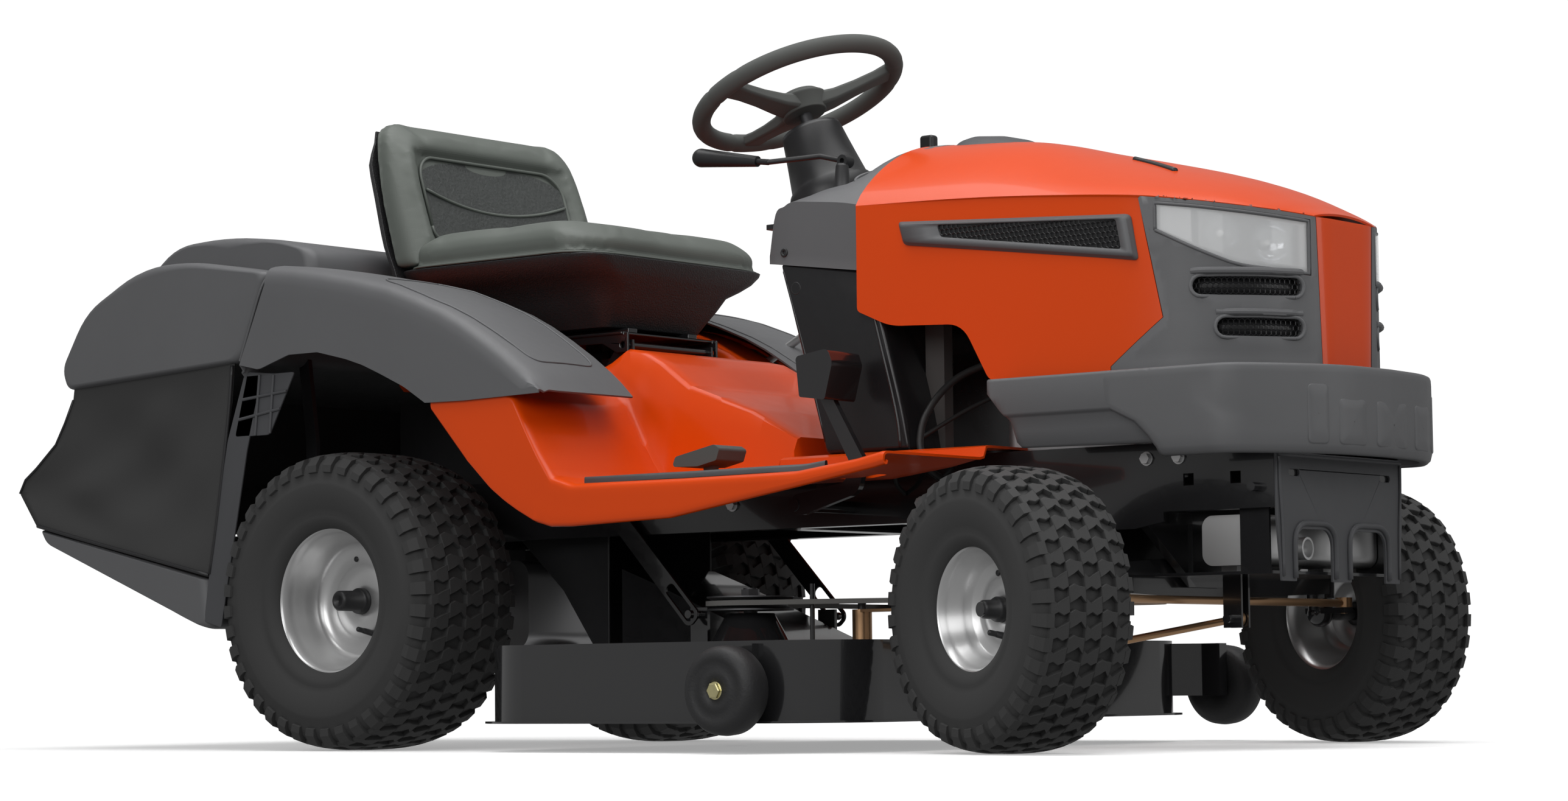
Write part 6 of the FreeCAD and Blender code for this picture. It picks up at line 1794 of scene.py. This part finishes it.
def build_lid():
    """Grey collector lid: a lower block with a raised crest and a rolled skirt."""
    low = body_of_outline("lid", [(-121, 721), (-176, 588), (-584, 568), (-597, 600), (-542, 688),
                                  (-414, 749), (-300, 752)],
                          LID_HALF, [14, 20, 12, 16, 40, 60, 60], 16, 2.5)
    crest = body_of_outline("crest",
                            [(-122, 722), (-126, 764), (-188, 784), (-320, 800), (-440, 794), (-530, 724),
                                      (-460, 702)], 345, [14, 24, 40, 60, 40, 24, 20], 18, 1.5)
    seam = []
    for side in (-1, 1):
        places = ((-176, 441.8, 588), (-150, 441.8, 650), (-128, 441.0, 700), (-124, 424, 722))
        line = [at(x, side * y, z) for x, y, z in places]
        seam.append(pipe("seam", line, 2.2, 8, 5))
    return soft_edges(join("collector_lid_skin", [low, crest] + seam), 0.0015, 2, 40)


BAG_HALF = 434.5
BAG_REAR = ((0.0, -568, 592), (0.12, -574, 552), (0.28, -594, 516), (0.42, -616, 483), (0.56, -662, 448),
            (0.68, -690, 430), (0.8, -703, 409), (1.0, -660, 353))


BAG_COLUMNS = 28
BAG_LEVELS = 27
BAG_REAR_COLUMNS = 24


def build_bag():
    """Sagging cloth bag hung from the lid, tight at its frame and slack between."""
    front = ((0.0, -200, 587), (0.15, -205, 530), (0.4, -222, 430), (0.7, -240, 335), (1.0, -255, 264))
    grid = []
    for i in range(BAG_LEVELS):
        t = i / (BAG_LEVELS - 1)
        fx, fz = along(front, t)
        rx, rz = along(BAG_REAR, t)
        row = []
        slack = sin(pi * min(max(t, 0.02), 0.98)) ** 0.8
        for k in range(BAG_COLUMNS + 1):
            s = k / BAG_COLUMNS
            x, z = fx + (rx - fx) * s, fz + (rz - fz) * s
            belly = sin(pi * s) ** 0.7
            fold = 6.5 * sin(9 * s + 3.1 * t) * sin(5 * t + 2 * s) + 4.0 * sin(15 * s - 9 * t)
            fold += 4.5 * sin(6 * s + 11 * t)
            y = BAG_HALF - 4.0 - (18.0 + fold) * slack * belly
            row.append((x, y, z))
        side = [(x, -y, z) for x, y, z in row]
        across_rear = []
        rx, ry, rz = row[-1]
        for j in range(1, BAG_REAR_COLUMNS):
            u = 1 - 2 * j / BAG_REAR_COLUMNS
            sag = 14.0 * slack * cos(pi * u / 2) ** 2 * (1 if t < 0.9 else 0.4)
            across_rear.append((rx + sag * (0.6 + 0.2 * sin(7 * u)), -ry * u, rz - sag * 0.3))
        other = [(x, y, z) for x, y, z in reversed(row)]
        grid.append([at(*p) for p in side + across_rear + other])
    return skin_grid("collector_bag_cloth", grid)


def build_bag_trim():
    """Edge binding along the lid and the pan, and stitched corner seams."""
    pieces = []
    for side in (-1, 1):
        y = side * (BAG_HALF - 1.5)
        for label, line in (("binding", ((-203, 584), (-212, 500), (-236, 350), (-252, 268))),
                            ("hem", ((-255, 266), (-400, 298), (-560, 333), (-656, 355)))):
            pieces.append(pipe(label, [at(x, y, z) for x, z in line], 3.0, 8, 5))
        corner = [at(x, side * (BAG_HALF - 4.5), z) for _, x, z in BAG_REAR[1:7]]
        pieces.append(pipe("corner", corner, 2.2, 8, 0))
    return join("bag_binding", pieces)


BACKING_HALF = 431
BACKING_SKIN = 3


def build_backing():
    """Ribbed black plastic between each rear wheel and the collector."""
    pieces = []
    for side in (-1, 1):
        low, high = sorted((side * BACKING_HALF, side * (BACKING_HALF + BACKING_SKIN)))
        outline = [(-176, 566), (-212, 470), (-248, 300), (-264, 196), (-226, 186), (-170, 452), (-136, 566)]
        pieces.append(plate("post", "y", outline, low, high, 4, 3))
        pieces.append(plate("panel", "y", [(-168, 572), (-196, 474), (-120, 474), (-66, 566), (-110, 566)],
                            low, high, 6, 3))
        for start, end in (((-186, 500), (-96, 512)), ((-178, 530), (-82, 538)), ((-150, 474), (-140, 566)),
                           ((-118, 476), (-110, 564))):
            line = [at(x, side * (BACKING_HALF + 4), z) for x, z in (start, end)]
            pieces.append(pipe("rib", line, 2.6, 8, 1))
    return soft_edges(join("rear_backing", pieces), 0.001, 2, 35)


def build_pan():
    """Grey lower pan of the collector."""
    pan = body_of_outline("collector_pan_skin",
                          [(-255, 260), (-245, 178), (-300, 197), (-645, 330), (-657, 350)], 435.5,
                          [4, 26, 50, 14, 4], 22, 0.0)
    soft_edges(pan, 0.002, 2, 40)
    return pan


# ---- deck and small parts ----
GUARD_FRONT = 1471
# y and z of the rib over one window
GUARD_ARCH = ((18, 222), (18, 268), (24, 284), (40, 293), (70, 294), (100, 293), (116, 284), (122, 268),
              (122, 222))


def build_guard_ribs():
    """Raised ribs round the windows of the guard plate, and its folded top."""
    ribs = []
    for side in (-1, 1):
        arch = [at(GUARD_FRONT, side * y, z) for y, z in GUARD_ARCH]
        ribs.append(pipe("rib", arch, 4.0, 10, 4))
        edge = [at(GUARD_FRONT, side * y, z) for y, z in ((150, 224), (152, 290), (156, 340), (157, 378))]
        ribs.append(pipe("edge", edge, 2.2, 8, 4))
    fold = [at(GUARD_FRONT - 1, y, 382) for y in (-158, -80, 0, 80, 158)]
    ribs.append(pipe("fold", fold, 3.2, 10, 3))
    return join("guard_ribs", ribs)


GAUGE_HALF = 496
GAUGE_RADIUS = 60


def build_gauge_wheels():
    """Textured gauge wheels with a stepped hub and a plated bolt."""
    wheels = []
    for letter, x in (("r", 822), ("l", 974)):
        sign = -1 if letter == "r" else 1
        centre = at(x, sign * GAUGE_HALF, 84)
        axis = Vector((0, sign, 0))
        profile = [(-26, 12), (-26, 44), (-22, 54), (-13, GAUGE_RADIUS - 1), (0, GAUGE_RADIUS),
                   (13, GAUGE_RADIUS - 1), (22, 54), (26, 44), (24, 40), (23, 30), (24.5, 27),
                   (24.5, 12)]
        wheel = lathe("gauge_skin_" + letter, profile, centre, axis, 72)
        head = bolt(centre + axis * 0.0225, axis, 19.0, 5.0)
        head.name = "gauge_bolt_" + letter
        wheels.append((letter, wheel, head))
    return wheels


# ---- stage ----
def stage_settings():
    return bpy.context.scene.mower_looks


CAMERA_ANGLES = (38.8, -4.43, -0.6)
CAMERA_LENS = 83.8
CAMERA_PLACE = (3920.47, -4221.64, 92.78)
FLOOR_PROFILE = ((0.02, 0.0), (3.0, 0.0), (8.0, 0.0), (14.0, 0.0), (15.4, 0.3), (16.4, 1.2), (17.0, 2.8),
                 (17.2, 5.0), (17.2, 14.0))
FLOOR_STEPS = 96
# name, place, aim, size, power
LIGHTS = (("overhead", (0.3, -0.3, 3.6), (0.1, 0.0, 0.4), (4.2, 3.2), 135),
          ("front_right", (3.6, -3.4, 2.2), (0.4, 0, 0.4), (2.4, 2.4), 36),
          ("right_side", (0.7, -4.8, 2.0), (0.2, 0, 0.45), (3.0, 2.0), 66),
          ("nose", (4.4, 1.2, 1.6), (0.7, 0, 0.4), (2.0, 2.0), 30))


def build_camera():
    """Camera low on the mower's front right, looking a little up."""
    turn, lift, roll = [radians(angle) for angle in CAMERA_ANGLES]
    back = Vector((sin(turn) * cos(lift), -cos(turn) * cos(lift), sin(lift)))
    ahead = -back
    right = ahead.cross(Vector((0, 0, 1))).normalized()
    up = right.cross(ahead)
    right, up = (right * cos(roll) + up * sin(roll), up * cos(roll) - right * sin(roll))
    data = bpy.data.cameras.new("camera")
    data.sensor_width = 36.0
    data.lens = CAMERA_LENS
    data.clip_end = 100.0
    camera = linked("camera", data)
    matrix = Matrix((right, up, back)).transposed().to_4x4()
    matrix.translation = at(*CAMERA_PLACE)
    camera.matrix_world = matrix
    bpy.context.scene.camera = camera


def build_floor():
    """Pale floor that rises into a round backdrop, wide enough to hold the camera on any side."""
    rows = []
    for step in range(FLOOR_STEPS):
        turn = 2 * pi * step / FLOOR_STEPS
        rows.append([Vector((r * cos(turn), r * sin(turn), z)) for r, z in FLOOR_PROFILE])
    floor = skin_grid("floor", rows, closed_rows=True)
    graph = Graph("floor")
    patch = graph.noise(1.5)
    far = graph.reach().clip(1.4, 5.0)
    graph.set(Base_Color=graph.mix(patch * 0.2, (0.93, 0.93, 0.93), (0.9, 0.9, 0.9)),
              Roughness=patch * 0.1 + 0.6,
              Emission_Color=graph.mix(far, (0.42, 0.42, 0.42), (1.0, 1.0, 1.0)), Emission_Strength=0.78)
    floor.data.materials.append(graph.material)
    floor.visible_diffuse = False
    floor.visible_glossy = False
    floor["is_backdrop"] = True


def soft_light(name, place, aim, size, power):
    data = bpy.data.lights.new(name, "AREA")
    data.shape = "RECTANGLE"
    data.size, data.size_y = size
    data.energy = power
    light = linked(name, data)
    light.location = place
    light.rotation_euler = (Vector(aim) - Vector(place)).to_track_quat("-Z", "Y").to_euler()


def build_lights():
    settings = stage_settings()
    bpy.context.scene.view_settings.view_transform = "Standard"
    for name, place, aim, size, power in LIGHTS:
        soft_light(name, place, aim, size, power * settings.light)
    world = bpy.data.worlds.new("studio")
    bpy.context.scene.world = world
    world.use_nodes = True
    background = world.node_tree.nodes["Background"]
    background.inputs[0].default_value = (1.0, 1.0, 1.0, 1.0)
    background.inputs[1].default_value = settings.ambient


# ---- settings ----
class MowerLooks(bpy.types.PropertyGroup):
    paint: bpy.props.FloatVectorProperty(
        name="Paint", description="Colour of the hood and the fender pan", default=(0.64, 0.056, 0.001),
        min=0, max=1, size=3, subtype="COLOR")
    trim: bpy.props.FloatVectorProperty(
        name="Trim", description="Colour of the grey mouldings", default=(0.1, 0.101, 0.105),
        min=0, max=1, size=3, subtype="COLOR")
    light: bpy.props.FloatProperty(
        name="Light", description="Strength of the studio lights", default=1.0, min=0.1, max=5)
    ambient: bpy.props.FloatProperty(
        name="Ambient", description="Strength of the light from all round", default=0.3, min=0, max=5)


# ---- operators ----
class MOWER_OT_stage(bpy.types.Operator):
    """Camera, floor and studio lights"""
    bl_idname = "mower.stage"
    bl_label = "Stage"

    def execute(self, context):
        build_camera()
        build_floor()
        build_lights()
        return {"FINISHED"}


class MOWER_OT_hood(bpy.types.Operator):
    """Painted hood, grey grille moulding, side trims and headlamps"""
    bl_idname = "mower.hood"
    bl_label = "Hood"

    def execute(self, context):
        grille, comb = build_grille()
        hood = build_hood_paint()
        finish(hood, "orange_paint", "hood", "hood_paint", "hood_shell")
        finish(grille, "grey_moulding", "hood", "trim_grey", "grille")
        # The grille's honeycomb, with the black blocks of painted shade behind it.
        finish(comb, "black_moulding", "hood", "black_plastic")
        cap, slot_shades = build_hood_trims()
        finish(cap, "dark_moulding", "hood", "trim_grey")
        # Black strips of painted shade for the slots on the hood's top.
        finish(slot_shades, "black_moulding", "hood", "black_plastic")
        trims, mesh = build_wedges()
        finish(trims, "grey_moulding", "hood", "trim_grey")
        # The wedges' honeycomb, with its black bed of painted shade.
        finish(mesh, "black_moulding", "hood", "black_plastic")
        lenses, surround, bowls, backs, bulbs = build_lamps()
        finish(lenses, "lamp_clear", "hood", "lamp_clear", "headlamp_lenses")
        finish(surround, "grey_moulding", "hood", "trim_grey")
        finish(bowls, "chrome", "hood", "lamp_chrome", "headlamp_reflectors")
        finish(backs, "lamp_back", "hood", "lamp_chrome")
        finish(bulbs, "white_plastic", "hood", "lamp_clear")
        return {"FINISHED"}


class MOWER_OT_bumper(bpy.types.Operator):
    """Grey front bumper"""
    bl_idname = "mower.bumper"
    bl_label = "Bumper"

    def execute(self, context):
        finish(build_bumper(), "grey_moulding", "hood", "trim_grey", "bumper")
        return {"FINISHED"}


class MOWER_OT_wheels(bpy.types.Operator):
    """Tyres with a block tread, and pressed rims"""
    bl_idname = "mower.wheels"
    bl_label = "Wheels"

    def execute(self, context):
        build_wheels()
        return {"FINISHED"}


class MOWER_OT_fender(bpy.types.Operator):
    """Painted fender pan, foot strips and grey wheel covers"""
    bl_idname = "mower.fender"
    bl_label = "Fender"

    def execute(self, context):
        finish(build_fender(), "orange_paint", "machine", "hood_paint", "fender_pan")
        finish(build_mats(), "dark_moulding", "machine", "trim_grey")
        finish(build_covers(), "grey_moulding", "machine", "trim_grey", "fender_covers")
        return {"FINISHED"}


class MOWER_OT_seat(bpy.types.Operator):
    """Vinyl seat with its pebbled shell"""
    bl_idname = "mower.seat"
    bl_label = "Seat"

    def execute(self, context):
        pad, panel, seams = build_seat()
        finish(pad, "vinyl", "seat", "vinyl", "seat_pad")
        finish(panel, "grained_vinyl", "seat", "vinyl")
        finish(seams, "vinyl", "seat", "vinyl")
        finish(build_shell(), "pebbled", "seat", "black_plastic", "seat_shell")
        return {"FINISHED"}


class MOWER_OT_dash(bpy.types.Operator):
    """Console, column cover and steering wheel"""
    bl_idname = "mower.dash"
    bl_label = "Dash"

    def execute(self, context):
        console, screws, boots = build_dash()
        finish(console, "grey_moulding", "machine", "trim_grey", "dash_console")
        tower, sunk = build_tower()
        finish(tower, "tower_plastic", "machine", "black_plastic", "dash_tower")
        finish(sunk, "black_moulding", "machine", "black_plastic")
        finish(screws, "black_moulding", "machine", "black_plastic")
        finish(boots, "black_moulding", "machine", "black_plastic")
        finish(build_column(), "black_moulding", "machine", "black_plastic", "column_cover")
        finish(build_steering_wheel(), "soft_rubber", "steering", "soft_rubber", "steering_wheel")
        return {"FINISHED"}


class MOWER_OT_collector(bpy.types.Operator):
    """Grey lid, sagging mesh bag and grey pan"""
    bl_idname = "mower.collector"
    bl_label = "Collector"

    def execute(self, context):
        finish(build_lid(), "grey_moulding", "collector", "trim_grey", "collector_lid")
        bag = build_bag()
        finish(bag, "bag_mesh", "collector", "bag_mesh", "collector_bag")
        finish(build_bag_trim(), "black_moulding", "collector", "bag_mesh")
        finish(build_pan(), "grey_moulding", "collector", "trim_grey", "collector_pan")
        finish(build_backing(), "dark_moulding", "machine", "black_plastic")
        return {"FINISHED"}


class MOWER_OT_deck(bpy.types.Operator):
    """Gauge wheels of the cutting deck, and the guard plate's ribs"""
    bl_idname = "mower.deck"
    bl_label = "Deck"

    def execute(self, context):
        finish(build_guard_ribs(), "dark_moulding", "machine", "trim_grey")
        for letter, wheel, head in build_gauge_wheels():
            node = "gauge_wheel_right" if letter == "r" else "gauge_wheel_left"
            finish(wheel, "gauge_plastic", "gauge_" + letter, "black_plastic", node)
            finish(head, "brass_bolt", "gauge_" + letter, "bright_steel")
        return {"FINISHED"}


# finish, width of its softened edges in metres, and the nodes that take it
NODE_FINISHES = (
    ("black_paint", 0.001, ("chassis_frame", "seat_mount", "front_axle", "spindle_right", "spindle_left",
                            "seat_slide", "brake_pedal")),
    ("black_moulding", 0.001, ("rear_frame", "discharge_chute")),
    ("dark_moulding", 0.0008, ("guard_plate",)),
    ("bright_steel", 0.002, ("muffler",)),
    ("cast_metal", 0.0, ("engine_block",)),
    ("black_paint", 0.002, ("engine_shroud",)),
    ("smoked_plastic", 0.003, ("fuel_tank",)),
    ("black_moulding", 0.002, ("battery",)),
    ("cast_metal", 0.002, ("transaxle",)),
    ("bright_steel", 0.0, ("chassis_bolts", "lift_lever")),
    ("conduit", 0.0, ("wiring",)),
    ("dark_steel", 0.0, ("steering_shaft", "steering_sector", "blade_spindle_right", "blade_spindle_left")),
    ("copper_plate", 0.0, ("tie_rod", "engine_pulley", "belt_idler", "front_link")),
    ("soft_rubber", 0.002, ("travel_pedal",)),
    ("black_moulding", 0.0015, ("blade_lever", "throttle_lever")),
    ("black_moulding", 0.0006, ("ignition_key",)),
    ("deck_paint", 0.0012, ("deck_shell",)),
    ("belt_rubber", 0.0, ("deck_belt",)),
    ("black_paint", 0.0008, ("lift_arms",)),
)


class MOWER_OT_metal(bpy.types.Operator):
    """Finishes of the frame, the drive and the small parts"""
    bl_idname = "mower.metal"
    bl_label = "Frame and drive"

    def execute(self, context):
        for name, width, nodes in NODE_FINISHES:
            for node in nodes:
                recoat(node, name, width)
        return {"FINISHED"}


OPERATORS = (MOWER_OT_stage, MOWER_OT_hood, MOWER_OT_bumper, MOWER_OT_wheels, MOWER_OT_fender,
             MOWER_OT_seat, MOWER_OT_dash, MOWER_OT_collector, MOWER_OT_deck, MOWER_OT_metal)


class MOWER_PT_panel(bpy.types.Panel):
    """Lists the pieces of the mower"""
    bl_idname = "MOWER_PT_panel"
    bl_label = "Mower"
    bl_space_type = "VIEW_3D"
    bl_region_type = "UI"
    bl_category = "Mower"

    def draw(self, context):
        for name in MowerLooks.__annotations__:
            self.layout.prop(context.scene.mower_looks, name)
        for operator in OPERATORS:
            self.layout.operator(operator.bl_idname)


def register():
    for item in (MowerLooks,) + OPERATORS + (MOWER_PT_panel,):
        bpy.utils.register_class(item)
    bpy.types.Scene.mower_looks = bpy.props.PointerProperty(type=MowerLooks)


def unregister():
    del bpy.types.Scene.mower_looks
    for item in (MOWER_PT_panel,) + OPERATORS[::-1] + (MowerLooks,):
        bpy.utils.unregister_class(item)


def write_size():
    rows = {"cad": CAD_BOX, "visual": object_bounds()}
    lines = {name: [[round(v, 4) for v in corner] for corner in box] for name, box in rows.items()}


def main():
    register()
    for operator in OPERATORS:
        kind, name = operator.bl_idname.split(".")
        getattr(getattr(bpy.ops, kind), name)()
    write_size()


if __name__ == "__main__":
    main()
